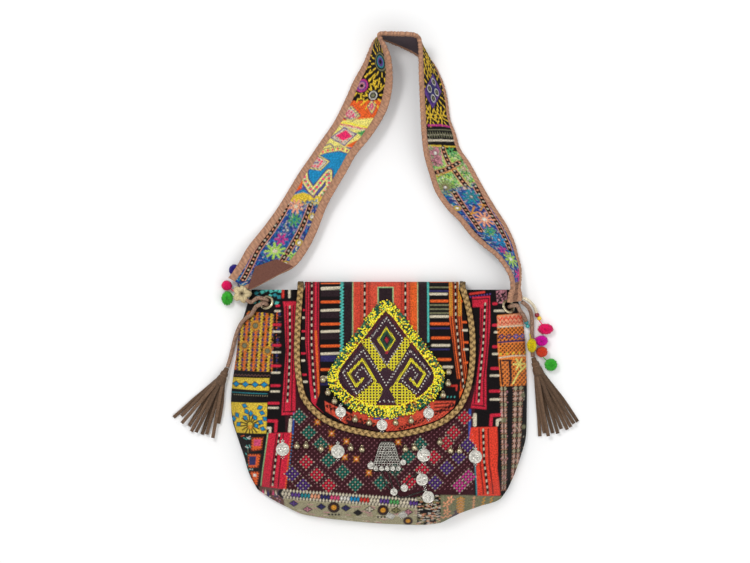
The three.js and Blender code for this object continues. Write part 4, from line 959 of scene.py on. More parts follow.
CORDS = (
    CordRun(
        "link_cord_left", 5.0, "knot",
        ("knot_left", "pompom_left_navy", "pompom_left_pink", "pompom_left_green"),
        ((-154.6, -27.2, 21.8), (-158.3, -27.0, 19.0), (-161.8, -25.3, 16.4)), 0,
        ((0, 2.75, -1), (-0.5, 2.8, 3.2), (-2.4, 2.9, 6.6), (-5.8, 3.1, 8.6), (-10.2, 2.8, 8.6)),
    ),
    CordRun(
        "tassel_cord_left", 5.0, "fitting", ("tassel_left",),
        (
            (-155.4, -42.0, 21.6), (-160.8, -46.0, 17.0), (-165.8, -50.4, 12.2), (-170.0, -56.4, 8.2),
            (-173.8, -64.6, 5.2), (-176.8, -74.4, 3.5), (-179.4, -85.0, 3.0), (-182.0, -95.6, 3.8),
            (-185.4, -107.2, 6.5),
        ),
        0, ((0.2, -2.65, -1), (-0.1, -2.7, 3.6), (-1.8, -3.2, 7.0), (-5.6, -5.8, 8.4), (-9.8, -8.6, 8.6)),
    ),
    CordRun(
        "bead_cord_right", 5.0, "fitting", ("teal_beads",),
        ((172.2, -38.4, 20.4), (176.2, -43.2, 15.0), (179.5, -50.2, 8.3)),
        1, ((2.6, 0, -1), (2.9, -0.1, 3.2), (4.4, -0.6, 6.6), (7.6, -1.8, 8.6)),
    ),
    CordRun(
        "tassel_cord_right", 5.0, "fitting",
        ("tassel_right", "pompom_right_magenta", "pompom_right_orange", "pompom_right_yellow",
         "pompom_right_green"),
        (
            (174.0, -27.2, 20.8), (178.4, -30.2, 19.6), (182.4, -34.0, 16.4), (185.4, -39.4, 11.0),
            (187.0, -46.4, 6.4), (187.6, -54.4, 3.6), (187.4, -62.6, 2.9), (187.2, -71.0, 2.9),
            (187.4, -78.0, 2.9), (187.8, -86.0, 4.0), (188.4, -94.5, 6.4),
        ),
    ),
    CordRun(
        "cream_cord_right", 3.8, "fitting", ("red_beads", "pompom_right_pink"),
        (
            (175.4, -22.2, 22.0), (181.0, -24.8, 20.4), (185.2, -28.0, 16.6), (189.2, -32.4, 11.4),
            (193.0, -40.2, 5.5),
        ),
    ),
)


class Cords:
    """The cords that leave the eyelets and the strap's end."""

    def build(self, finishes: dict[str, bpy.types.Material]) -> None:
        """Makes each cord as a smooth curve over its solid.

        Args:
            finishes: the materials by name.
        """
        for run in CORDS:
            route = smooth_line(run.route(), 6)
            curve = bpy.data.curves.new(run.node, "CURVE")
            curve.dimensions = "3D"
            curve.bevel_depth = run.diameter / 2 * MM
            curve.bevel_resolution = 4
            curve.use_fill_caps = True
            spline = curve.splines.new("POLY")
            spline.points.add(len(route) - 1)
            spline.points.foreach_set("co", np.c_[route * MM, np.ones(len(route))].astype(np.float32).ravel())
            piece = bpy.data.objects.new(f"{run.node}_strand", curve)
            bpy.context.scene.collection.objects.link(piece)
            cream = run.node.startswith("cream")
            curve.materials.append(finishes["cream_cord" if cream else "brown_cord"])
            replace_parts(piece, run.node)
            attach(piece, "root")
            self.declare(piece, run, route)

    def declare(self, piece: bpy.types.Object, run: CordRun, route: np.ndarray) -> None:
        """States a cord's facts.

        Args:
            piece: the cord.
            run: its route and what it carries.
            route: its points.
        """
        length = float(np.linalg.norm(np.diff(route, axis=0), axis=1).sum()) * MM
        log.info("%s: %.1f mm long", run.node, length / MM)
        self.declared = getattr(self, "declared", [])
        self.declared.append((piece, run, route, length))


# Soft shapes


@dataclass(frozen=True)
class StrapShape:
    """The strap as rulings from its outer to its inner edge, from the left end over the top to the right end.

    Each ruling is out_x, out_up, out_z, in_x, in_up and in_z: x is a share of half the body's width, up a share
    of the strap's rise and z a share of its width.
    """

    rise: float = 312.0
    width: float = 54.0
    thickness: float = 3.2
    rulings: tuple[tuple[float, ...], ...] = (
        (-1.018, 0.047, 0.26, -0.872, 0.0, 0.34),
        (-0.986, 0.07, 0.28, -0.791, 0.023, 0.38),
        (-0.939, 0.113, 0.27, -0.682, 0.057, 0.4),
        (-0.885, 0.168, 0.2, -0.574, 0.09, 0.38),
        (-0.784, 0.242, 0.1, -0.494, 0.148, 0.33),
        (-0.691, 0.316, 0.05, -0.426, 0.223, 0.34),
        (-0.61, 0.391, 0.035, -0.358, 0.324, 0.4),
        (-0.541, 0.457, 0.035, -0.291, 0.395, 0.46),
        (-0.459, 0.525, 0.035, -0.223, 0.461, 0.5),
        (-0.389, 0.585, 0.035, -0.155, 0.53, 0.51),
        (-0.301, 0.659, 0.035, -0.054, 0.602, 0.5),
        (-0.226, 0.746, 0.035, 0.041, 0.691, 0.47),
        (-0.174, 0.814, 0.035, 0.081, 0.77, 0.52),
        (-0.109, 0.881, 0.035, 0.088, 0.836, 0.7),
        (-0.074, 0.924, 0.035, 0.074, 0.898, 0.86),
        (-0.047, 0.958, 0.035, 0.044, 0.943, 0.96),
        (-0.024, 0.978, 0.035, 0.014, 0.972, 1.0),
        (0.0, 0.986, 0.035, 0.002, 0.99, 1.02),
        (0.03, 0.985, 0.035, 0.022, 0.995, 1.02),
        (0.066, 0.977, 0.035, 0.06, 0.995, 1.02),
        (0.115, 0.965, 0.035, 0.108, 0.995, 1.02),
        (0.169, 0.951, 0.035, 0.162, 0.995, 1.0),
        (0.223, 0.936, 0.035, 0.209, 0.995, 0.96),
        (0.27, 0.919, 0.035, 0.24, 0.993, 0.92),
        (0.316, 0.904, 0.035, 0.259, 0.986, 0.87),
        (0.351, 0.889, 0.035, 0.267, 0.972, 0.84),
        (0.378, 0.87, 0.035, 0.271, 0.948, 0.83),
        (0.402, 0.844, 0.035, 0.272, 0.91, 0.83),
        (0.436, 0.8, 0.035, 0.273, 0.844, 0.83),
        (0.461, 0.741, 0.035, 0.277, 0.766, 0.8),
        (0.479, 0.669, 0.035, 0.284, 0.68, 0.78),
        (0.517, 0.611, 0.035, 0.291, 0.602, 0.7),
        (0.548, 0.553, 0.035, 0.307, 0.527, 0.58),
        (0.617, 0.495, 0.035, 0.345, 0.449, 0.4),
        (0.679, 0.43, 0.035, 0.385, 0.383, 0.3),
        (0.742, 0.366, 0.035, 0.459, 0.32, 0.32),
        (0.804, 0.308, 0.035, 0.541, 0.271, 0.42),
        (0.867, 0.25, 0.04, 0.615, 0.217, 0.52),
        (0.917, 0.185, 0.05, 0.696, 0.174, 0.6),
        (0.942, 0.127, 0.07, 0.777, 0.139, 0.64),
        (0.958, 0.086, 0.12, 0.838, 0.098, 0.64),
        (0.959, 0.043, 0.2, 0.882, 0.051, 0.6),
        (0.955, 0.004, 0.3, 0.89, 0.008, 0.52),
        (0.966, -0.025, 0.37, 0.874, -0.018, 0.47),
        (0.962, -0.045, 0.38, 0.868, -0.048, 0.42),
    )

    def edges(self, steps: int) -> tuple[np.ndarray, np.ndarray]:
        """Gives the outer and the inner edge's points, with that many steps from ruling to ruling."""
        table = np.array(self.rulings)
        scale = np.array([BODY.width / 2, self.rise, self.width])
        outer, inner = table[:, :3] * scale, table[:, 3:] * scale
        for edge in (outer, inner):
            edge[:, 1] += BODY.mouth_y
        return smooth_line(outer, steps), smooth_line(inner, steps)

    def surface(self, steps: int, shares: np.ndarray) -> tuple[np.ndarray, np.ndarray, np.ndarray]:
        """Lays out the strap's middle surface.

        Args:
            steps: steps from ruling to ruling.
            shares: places across, from the outer edge to the inner one.

        Returns:
            The points, the directions across and the directions that its embroidered face looks in.
        """
        outer, inner = self.edges(steps)
        across = inner - outer
        points = outer[:, None] + across[:, None] * shares[None, :, None]
        along = np.gradient(points, axis=0)
        face = np.cross(np.broadcast_to(across[:, None], along.shape), along)
        face /= np.linalg.norm(face, axis=2, keepdims=True)
        across = across / np.linalg.norm(across, axis=1, keepdims=True)
        return points, across, face


STRAP = StrapShape()


def ripple(points: np.ndarray, pitch: float, seed: int) -> np.ndarray:
    """Gives a soft uneven swell.

    Args:
        points: the places, of which the first two coordinates count.
        pitch: how far apart its crests are.
        seed: the seed of its directions.

    Returns:
        Values from 0 to 1.
    """
    rng = np.random.default_rng(seed)
    total = np.zeros(points.shape[:-1])
    for _ in range(7):
        angle = rng.uniform(0, 2 * math.pi)
        rate = 2 * math.pi / (pitch * rng.uniform(0.7, 1.5))
        way = points[..., 0] * math.cos(angle) + points[..., 1] * math.sin(angle)
        total += np.sin(way * rate + rng.uniform(0, 2 * math.pi))
    return np.clip(0.5 + total / 9, 0, 1)


def seated(
    local: np.ndarray, x: float, y: float, lift: float, height: Callable, turn: float = 0.0
) -> np.ndarray:
    """Sets a small piece's points on a surface.

    Args:
        local: the points, in the piece's own axes.
        x: the piece's place across.
        y: the piece's place along.
        lift: how far it stands off the surface.
        height: the surface's height function.
        turn: how far the piece is turned on the surface, in radians.

    Returns:
        The points in the bag's frame.
    """
    middle, axes = frame_at(height, x, y)
    c, s = math.cos(turn), math.sin(turn)
    spun = np.c_[local[:, :2] @ np.array([[c, s], [-s, c]]), local[:, 2] + lift]
    return middle + spun @ axes


def turned(profile: list[tuple[float, float]], sides: int, closed: bool = True) -> Pattern:
    """Turns a profile round the Z axis.

    Args:
        profile: its points as radius and height.
        sides: how many steps the turn has.
        closed: whether the profile's end joins its start.

    Returns:
        The turned shape.
    """
    rows = np.array(profile, float)
    angle = np.arange(sides) * 2 * math.pi / sides
    points = np.stack([
        rows[:, :1] * np.cos(angle), rows[:, :1] * np.sin(angle), np.repeat(rows[:, 1:], sides, axis=1),
    ], -1).reshape(-1, 3)
    return Pattern(points, wrapped_faces(len(rows), sides, closed))


def wrapped_faces(rows: int, sides: int, closed: bool) -> np.ndarray:
    """Lists the triangles of a grid whose columns close into rings, and whose rows may close too."""
    faces = []
    for r in range(rows if closed else rows - 1):
        low, high = r * sides, (r + 1) % rows * sides
        a = np.arange(sides)
        b = (a + 1) % sides
        faces.append(np.stack([low + a, low + b, high + b], 1))
        faces.append(np.stack([low + a, high + b, high + a], 1))
    return np.concatenate(faces)


def merged(patterns: list[Pattern]) -> Pattern:
    """Joins shapes into one."""
    points, faces, start = [], [], 0
    for pattern in patterns:
        points.append(pattern.points)
        faces.append(pattern.faces + start)
        start += len(pattern.points)
    return Pattern(np.concatenate(points), np.concatenate(faces))


def moved(pattern: Pattern, shift: tuple[float, float, float], axes: np.ndarray | None = None) -> Pattern:
    """Gives a shape turned by the axes' rows and then shifted."""
    points = pattern.points if axes is None else pattern.points @ axes
    return Pattern(points + np.array(shift), pattern.faces)


def ring(major: float, minor: float, sides: int = 20, section: int = 8) -> Pattern:
    """Makes a ring of wire in the XY plane."""
    angle = np.arange(section) * 2 * math.pi / section
    return turned([(major + minor * math.cos(a), minor * math.sin(a)) for a in angle], sides)


def medal(radius: float, thickness: float, rays: int) -> Pattern:
    """Makes a plain struck disc with a raised edge, a ring of dots and a rosette.

    Args:
        radius: its radius.
        thickness: its thickness.
        rays: how many petals its rosette has.

    Returns:
        The disc with its hanging ring.
    """
    sides, rings = 64, 16
    share = np.linspace(0.02, 1, rings)[:, None]
    angle = (np.arange(sides) * 2 * math.pi / sides)[None]
    edge = np.exp(-(((share - 0.93) / 0.05) ** 2))
    dots = np.exp(-(((share - 0.76) / 0.06) ** 2)) * (0.5 + 0.5 * np.cos(angle * 16))
    petals = np.exp(-(((share - 0.42) / 0.2) ** 2)) * (0.5 + 0.5 * np.cos(angle * rays))
    boss = np.exp(-((share / 0.14) ** 2)) + 0 * angle
    relief = 0.55
    top = thickness - relief + relief * np.clip(edge + 0.7 * dots + 0.8 * petals + 0.8 * boss, 0, 1)
    flat = np.stack([share * radius * np.cos(angle), share * radius * np.sin(angle), top], -1).reshape(-1, 3)
    low = np.c_[flat[-sides:, :2], np.zeros(sides)]
    face = Pattern(np.concatenate([flat, low]), wrapped_faces(rings + 1, sides, False)[:, ::-1])
    return merged([face, moved(ring(0.16 * radius, 0.07 * radius), (0, 1.1 * radius, thickness / 2))])


def ribbon(rows: np.ndarray, across: np.ndarray, up: np.ndarray, size: tuple[float, float]) -> Pattern:
    """Sweeps a flat rounded section along a line.

    Args:
        rows: the line's points.
        across: the section's wide direction at each point.
        up: its thin direction at each point.
        size: its width and thickness.

    Returns:
        The closed strip.
    """
    section = np.array([
        (-0.5, -0.3), (-0.42, -0.5), (0.42, -0.5), (0.5, -0.3), (0.5, 0.3), (0.42, 0.5), (-0.42, 0.5), (-0.5, 0.3),
    ])
    section = section * np.array(size)
    points = rows[:, None] + across[:, None] * section[None, :, :1] + up[:, None] * section[None, :, 1:]
    sides = len(section)
    faces = wrapped_faces(len(rows), sides, False)
    cap = np.array([[0, i + 1, i] for i in range(1, sides - 1)])
    last = (len(rows) - 1) * sides
    return Pattern(points.reshape(-1, 3), np.concatenate([faces, cap, cap[:, ::-1] + last]))


# The bag's pieces


class BodyCloth:
    """The embroidered front of the body, laid over its solid."""

    pitch: float = 0.92
    lift: float = 0.45
    fold_height: float = 0.9

    def build(self, finishes: dict[str, bpy.types.Material]) -> bpy.types.Object:
        """Makes the cloth.

        Args:
            finishes: the materials by name.

        Returns:
            The cloth.
        """
        columns, rows = round(BODY.width / self.pitch), round(BODY.height / self.pitch)
        points = between_edges(BODY.edges(np.linspace(0, 1, columns), np.linspace(0, 1, rows)),
                               np.linspace(0, 1, columns), np.linspace(0, 1, rows))
        thread = Embroidery(to_pixels(points).reshape(-1, 2), self.pitch / PIXEL)
        paint_body(thread)
        relief = thread.relief.reshape(rows, columns)
        folds = ripple(points, 46, 3) * self.fold_height
        height = BODY.height_at(points[..., 0], points[..., 1]) + self.lift + relief + folds
        grid = np.concatenate([points, height[..., None]], axis=2)
        grid, colour = self.hemmed(grid, thread.colour.reshape(rows, columns, 3))
        cloth = cloth_grid(grid)
        paint(cloth, colour[::-1].reshape(-1, 3))
        self.cut_away(cloth)
        return finish_piece(cloth, "body_cloth", finishes["embroidered_cloth"])

    def hemmed(self, grid: np.ndarray, colour: np.ndarray) -> tuple[np.ndarray, np.ndarray]:
        """Turns the cloth's edges down to the back.

        Args:
            grid: the cloth's points.
            colour: their colours.

        Returns:
            Both with more columns at the sides and more rows below.
        """
        drops = ((0.55, 0.55), (0.7, 0.25), (0.45, 0.06))
        for axis, end in ((1, 0), (1, -1), (0, -1)):
            edge = np.take(grid, end, axis=axis)
            inside = np.take(grid, 6 if end == 0 else -7, axis=axis)
            out = edge[:, :2] - inside[:, :2]
            out /= np.linalg.norm(out, axis=1, keepdims=True)
            rolled = [np.c_[edge[:, :2] + out * reach, edge[:, 2] * share] for reach, share in drops]
            tints = [np.take(colour, end, axis=axis)] * len(rolled)
            if end == 0:
                rolled, tints = rolled[::-1], tints[::-1]
            bands = [np.stack(rolled, axis), grid] if end == 0 else [grid, np.stack(rolled, axis)]
            shades = [np.stack(tints, axis), colour] if end == 0 else [colour, np.stack(tints, axis)]
            grid, colour = np.concatenate(bands, axis), np.concatenate(shades, axis)
        return grid, colour

    def cut_away(self, cloth: bpy.types.Object) -> None:
        """Leaves out what the flap covers and the eyelets' holes.

        Args:
            cloth: the cloth.
        """
        centres = np.empty(len(cloth.data.polygons) * 3, np.float32)
        cloth.data.polygons.foreach_get("center", centres)
        centres = centres.reshape(-1, 3) / MM
        out = (centres[:, 0] - FLAP.shift) / (FLAP.width / 2)
        drop = (BODY.mouth_y - centres[:, 1]) / FLAP.drop
        covered = (np.abs(out) < 0.86) & (drop < 0.9 - 0.3 * out**2) & (drop > 0.02)
        for eyelet in EYELETS:
            middle, _ = eyelet.axes()
            covered |= np.hypot(centres[:, 0] - middle[0], centres[:, 1] - middle[1]) < eyelet.bore + 1.2
        clear_selection()
        cloth.select_set(True)
        bpy.context.view_layer.objects.active = cloth
        bpy.context.tool_settings.mesh_select_mode = (False, False, True)
        for part in (cloth.data.vertices, cloth.data.edges):
            part.foreach_set("select", np.zeros(len(part), bool))
        cloth.data.polygons.foreach_set("select", covered)
        bpy.ops.object.mode_set(mode="EDIT")
        bpy.ops.mesh.delete(type="FACE")
        bpy.ops.object.mode_set(mode="OBJECT")


class FlapCloth:
    """The embroidered outside of the flap, from the fold's back to its rounded end."""

    pitch: float = 0.85
    lift: float = 0.4
    fold_rows: int = 52
    fold_height: float = 0.5

    def fold_point(self, x: np.ndarray, turn: float, skin: float) -> np.ndarray:
        """Gives points of the fold over the mouth.

        Args:
            x: the places across.
            turn: how far round the fold, from 0 at the back to 1 at the front.
            skin: how deep below the outside.

        Returns:
            The points.
        """
        top = BODY.height_at(x, np.full_like(x, BODY.mouth_y)) + FLAP.lift + FLAP.thickness - skin
        middle = (top + skin) / 2
        angle = math.pi * (turn - 0.5)
        y = np.full_like(x, BODY.mouth_y + FLAP.gap + (FLAP.fold_reach - skin) * math.cos(angle))
        return np.stack([x, y, np.maximum(middle + (top - middle) * math.sin(angle), 0.05)], -1)

    def build(self, finishes: dict[str, bpy.types.Material]) -> bpy.types.Object:
        """Makes the flap's outside.

        Args:
            finishes: the materials by name.

        Returns:
            The cloth.
        """
        columns, rows = round(FLAP.width / self.pitch), round(FLAP.drop / self.pitch)
        u, v = np.linspace(0, 1, columns), np.linspace(0, 1, rows)
        flat = between_edges(FLAP.edges(u, v), u, v)
        x = flat[0, :, 0]
        fold = np.stack([self.fold_point(x, turn, -self.lift)
                         for turn in np.linspace(0, 1, self.fold_rows)[:-1]])
        girth = np.linalg.norm(np.diff(fold, axis=0), axis=2).mean(1)[::-1].cumsum()[::-1]
        unrolled = np.stack([np.tile(x, (len(fold), 1)),
                             BODY.mouth_y + np.tile(np.r_[girth, 0][:len(fold), None],
                             (1, columns))], -1)
        places = np.concatenate([unrolled, flat])
        thread = Embroidery(to_pixels(places).reshape(-1, 2), self.pitch / PIXEL)
        paint_flap(thread)
        relief = thread.relief.reshape(len(places), columns)
        height = FLAP.top_at(flat[..., 0], flat[..., 1]) + self.lift
        free = np.clip(v / 0.08, 0, 1)[:, None]
        height += relief[len(fold):] + ripple(flat, 38, 5) * self.fold_height * free
        grid = np.concatenate([fold, np.concatenate([flat, height[..., None]], axis=2)])
        cloth = cloth_grid(grid)
        paint(cloth, thread.colour.reshape(len(places), columns, 3)[::-1].reshape(-1, 3))
        return finish_piece(cloth, "flap_cloth", finishes["embroidered_cloth"])

    def braid_route(self) -> np.ndarray:
        """Follows the flap's edge as its braid does.

        Returns:
            The route's points, from the back at the left round the end to the back at the right.
        """
        reach, radius = Braid.radius + 3 * FLAP.gap, Braid.radius
        sides = []
        for edge_index, sign in ((2, -1), (3, 1)):
            stops = np.array([0.08, 0.24, 0.45, 0.68, 0.9])
            edge = FLAP.edges(np.array([0.0, 1.0]), stops)[edge_index]
            ahead = FLAP.edges(np.array([0.0, 1.0]), stops + 0.04)[edge_index]
            behind = FLAP.edges(np.array([0.0, 1.0]), stops - 0.04)[edge_index]
            run = (ahead - behind) / np.linalg.norm(ahead - behind, axis=1, keepdims=True)
            line = edge + reach * np.stack([-sign * run[:, 1], sign * run[:, 0]], 1)
            x = FLAP.edges(np.array([0.0, 1.0]), np.array([0.0]))[edge_index][0, 0] + sign * reach
            fold = np.stack([self.fold_point(np.array([x]), turn, FLAP.thickness / 2)[0]
                             for turn in (0.3, 0.5, 0.7)])
            fold[:, 2] = np.maximum(fold[:, 2], radius + 0.2)
            lip = np.array([[x, BODY.mouth_y + 1.6, BODY.height_at(x, BODY.mouth_y) + radius + 2 * FLAP.gap]])
            front = np.c_[line, BODY.height_at(line[:, 0], line[:, 1]) + radius + 2 * FLAP.gap]
            sides.append(np.concatenate([fold, lip, front]))
        shares = np.arange(1, 20) / 20
        end = FLAP.end_curve(shares)
        run = FLAP.end_curve(shares + 0.01) - FLAP.end_curve(shares - 0.01)
        run /= np.linalg.norm(run, axis=1, keepdims=True)
        end = end + reach * np.stack([run[:, 1], -run[:, 0]], 1)
        end = np.c_[end, BODY.height_at(end[:, 0], end[:, 1]) + radius + 2 * FLAP.gap]
        return np.concatenate([sides[0], end, sides[1][::-1]])


class Braid:
    """The plaited braid round the flap's edge."""

    radius: float = 3.9
    strand: float = 1.5
    swing: float = 2.35
    rise: float = 1.3
    pitch: float = 24.0
    step: float = 1.05

    def build(self, finishes: dict[str, bpy.types.Material]) -> None:
        """Makes the braid's three strands, plaited.

        Args:
            finishes: the materials by name.
        """
        line = even_line(smooth_line(FlapCloth().braid_route(), 12), self.step)
        run = np.gradient(line, axis=0)
        run /= np.linalg.norm(run, axis=1, keepdims=True)
        side = np.cross(run, np.array([0, 0, 1.0]))
        side /= np.linalg.norm(side, axis=1, keepdims=True)
        up = np.cross(side, run)
        along = np.arange(len(line)) * self.step * 2 * math.pi / self.pitch
        routes = []
        for strand in range(3):
            phase = along + strand * 2 * math.pi / 3
            for pair in (-0.9, 0.9):
                out = np.sin(phase) * self.swing + pair * self.strand * np.cos(phase) ** 2
                over = np.sin(2 * phase) * self.rise
                routes.append(line + side * out[:, None] + up * over[:, None])
        braid = tube(routes, self.strand, "flap_edge_braid")
        paint(braid, self.shades(braid, line))
        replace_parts(finish_piece(braid, "flap_edge_braid", finishes["gold_braid"]), "flap_braid")

    def shades(self, braid: bpy.types.Object, line: np.ndarray) -> np.ndarray:
        """Paints the strands with a painted highlight where they rise and painted shade in the gaps between them.

        Args:
            braid: the strands.
            line: the braid's middle line.

        Returns:
            A colour for each vertex.
        """
        points = np.empty(len(braid.data.vertices) * 3, np.float32)
        braid.data.vertices.foreach_get("co", points)
        points = points.reshape(-1, 3) / MM
        tree = KDTree(len(line))
        for i, place in enumerate(line):
            tree.insert(place, i)
        tree.balance()
        rise = np.array([point[2] - tree.find(point)[0][2] for point in points])
        # Painted light: the higher a point of a strand rises, the lighter it is painted, and the lowest points in
        # the gaps get the painted shade brown.
        share = np.clip(0.5 + rise / (2 * (self.rise + self.strand)), 0, 1)[:, None]
        return Dye.SHADE_UMBER.linear() + (Dye.BRAID.linear() - Dye.SHADE_UMBER.linear()) * share**2.8


@dataclass(frozen=True)
class BeadPatch:
    """The teardrop of beadwork and its looped fringe, by shares of its half width and its height."""

    width: float = 141.0
    height: float = 142.0
    shift: float = 8.5
    below_mouth: float = 13.0
    thickness: float = 3.4
    rim_height: float = 7.0
    lift: float = 0.7
    bead: float = 0.93
    fringe_bead: float = 1.16
    base_bead: float = 1.9
    edge_bead: float = 1.15
    bead_sides: int = 7
    bead_rings: int = 5
    loops: int = 170
    beads_per_loop: int = 9
    seam_share: float = 0.3
    rows: tuple[tuple[float, float, float, float], ...] = (
        (0, 0, 0, 0.13), (0.155, 0.038, 0.09, 0.175), (0.3, 0.124, 0.2, 0.25), (0.51, 0.261, 0.36, 0.355),
        (0.777, 0.438, 0.58, 0.49), (0.95, 0.57, 0.73, 0.59), (1, 0.656, 0.76, 0.65), (0.95, 0.75, 0.7, 0.72),
        (0.743, 0.877, 0.52, 0.79), (0.475, 0.955, 0.3, 0.84), (0.22, 0.99, 0.14, 0.865), (0, 1, 0, 0.87),
    )

    def loop(self, half: int, drop: int, count: int) -> np.ndarray:
        """Runs round the rim's outer or inner edge.

        Args:
            half: the column of the rows that holds the half width.
            drop: the column that holds the height.
            count: how many points to give.

        Returns:
            The points, paired from one edge to the other by their order.
        """
        table = np.array(self.rows)
        right = np.stack([table[:, half], table[:, drop]], 1)
        left = right[1:-1][::-1] * np.array([-1, 1])
        knots = np.concatenate([right, left])
        line = smooth_line(knots, 24, closed=True)
        at = np.arange(count) * len(line) / count
        index = at.astype(int)
        share = (at - index)[:, None]
        line = line[index] * (1 - share) + line[(index + 1) % len(line)] * share
        top = BODY.mouth_y - self.below_mouth
        return np.stack([self.shift + line[:, 0] * self.width / 2, top - line[:, 1] * self.height], 1)

    def seam(self, count: int) -> np.ndarray:
        """Runs round the line where the beadwork meets its fringe."""
        inner, outer = self.loop(2, 3, count), self.loop(0, 1, count)
        return inner + (outer - inner) * self.seam_share

    def build(self, finishes: dict[str, bpy.types.Material]) -> None:
        """Makes the beadwork and its fringe.

        Args:
            finishes: the materials by name.
        """
        ball = Pattern.ball(self.bead_sides, self.bead_rings)
        inner = self.seam(400)
        pitch = 2 * self.bead + 0.04
        low, high = inner.min(0), inner.max(0)
        ys = np.arange(low[1], high[1], pitch * 0.88)
        xs = np.arange(low[0], high[0], pitch)
        grid = np.array([(x + (row % 2) * pitch / 2, y) for row, y in enumerate(ys) for x in xs])
        grid = grid[inside_loop(grid, inner)]
        thread = Embroidery(to_pixels(grid), 0.6)
        paint_beadwork(thread)
        rng = np.random.default_rng(11)
        lift = self.lift + self.thickness + 0.35 + rng.uniform(-0.08, 0.12, len(grid))
        centres = np.c_[grid, FLAP.top_at(grid[:, 0], grid[:, 1]) + lift]
        self.string(ball, centres, thread.colour, np.full(len(grid), self.bead), "patch_beads", finishes)
        self.fringe(ball, finishes)

    def string(
        self, ball: Pattern, centres: np.ndarray, colour: np.ndarray, radius: np.ndarray, name: str,
        finishes: dict[str, bpy.types.Material],
    ) -> bpy.types.Object:
        """Makes one piece of many beads.

        Args:
            ball: one bead.
            centres: the beads' middles.
            colour: the beads' colours.
            radius: the beads' radii.
            name: the piece's name.
            finishes: the materials by name.

        Returns:
            The piece.
        """
        axes = np.eye(3)[None] * radius[:, None, None] * np.array([1, 1, 0.86])[None, None]
        beads = ball.scattered(centres, axes, name)
        paint(beads, np.repeat(colour, len(ball.points), axis=0))
        return finish_piece(beads, name, finishes["seed_beads"])

    def fringe(self, ball: Pattern, finishes: dict[str, bpy.types.Material]) -> None:
        """Makes the rim's looped strings of beads and the gold beads along its inside.

        Args:
            ball: one bead.
            finishes: the materials by name.
        """
        loops, per_loop = self.loops, self.beads_per_loop
        inner, outer = self.seam(loops), self.loop(0, 1, loops)
        rng = np.random.default_rng(23)
        share = np.linspace(0.0, 1.0, per_loop)
        rise = np.sin(np.clip(0.12 + share * 0.86, 0, 1) * math.pi) ** 0.6
        lean = np.convolve(rng.normal(0, 1, loops + 2), np.ones(3) / 3, "valid") * 6
        centres, colours = [], []
        for i in range(loops):
            height = self.rim_height * rng.uniform(0.5, 0.98)
            run = (outer[i] - inner[i]) * rng.uniform(0.86, 1.04)
            aside = np.array([-run[1], run[0]]) / np.linalg.norm(run)
            for k in range(per_loop):
                bend = math.sin(share[k] * math.pi) * lean[i]
                x, y = inner[i] + run * share[k] + aside * bend + rng.normal(0, 0.45, 2)
                base = FLAP.top_at(x, y) + self.lift + self.bead
                centres.append((x, y, base + height * rise[k] * 0.82))
                colours.append(self.loop_dye(i, share[k], rng).linear())
        radius = np.full(len(centres), self.fringe_bead)
        fringe = self.string(ball, np.array(centres), np.array(colours), radius, "fringe_beads", finishes)
        under = []
        for part in (0.3, 0.55, 0.8):
            line = even_line(inner + (outer - inner) * part, 2.0)
            under.append(np.c_[line, FLAP.top_at(line[:, 0], line[:, 1]) + self.lift + self.base_bead])
        under = np.concatenate(under)
        is_gold = rng.uniform(size=(len(under), 1)) < 0.25
        tint = np.where(is_gold, Dye.GOLD.linear() * 0.6, Dye.FOREST.linear())
        radius = np.full(len(under), self.base_bead)
        below = self.string(ball, under, tint, radius, "fringe_base", finishes)
        edge = even_line(np.concatenate([inner, inner[:1]]), 2.1)
        gold = np.c_[edge, FLAP.top_at(edge[:, 0], edge[:, 1]) + self.lift + self.thickness + 0.6]
        tint = np.stack([(Dye.LEMON if i % 3 else Dye.GOLD).linear() for i in range(len(gold))])
        radius = np.full(len(gold), self.edge_bead)
        self.string(ball, gold, tint, radius, "patch_edge_beads", finishes)
        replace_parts(fringe, "bead_patch_rim")
        log.info("fringe: %d beads, base %s", len(centres), below.name)

    def loop_dye(self, loop: int, share: float, rng: np.random.Generator) -> Dye:
        """Picks a fringe bead's colour: mostly yellow, with clusters of green towards the outer edge."""
        cluster = 0.5 + 0.5 * math.sin(loop * 0.52 + 1.3 * math.sin(loop * 0.19))
        draw = rng.uniform()
        if draw < 0.05:
            return Dye.BLACK
        if draw < 0.1 + 0.62 * cluster * share:
            return Dye.FOREST
        return Dye.LIME if draw > 0.93 else Dye.YELLOW if draw > 0.82 else Dye.LEMON


def inside_loop(points: np.ndarray, loop: np.ndarray) -> np.ndarray:
    """Tells which points lie inside a closed line."""
    inside = np.zeros(len(points), bool)
    for a, b in zip(loop, np.roll(loop, -1, axis=0)):
        crosses = (a[1] > points[:, 1]) != (b[1] > points[:, 1])
        rise = b[1] - a[1] if b[1] != a[1] else 1e-9
        inside ^= crosses & (points[:, 0] < (b[0] - a[0]) * (points[:, 1] - a[1]) / rise + a[0])
    return inside


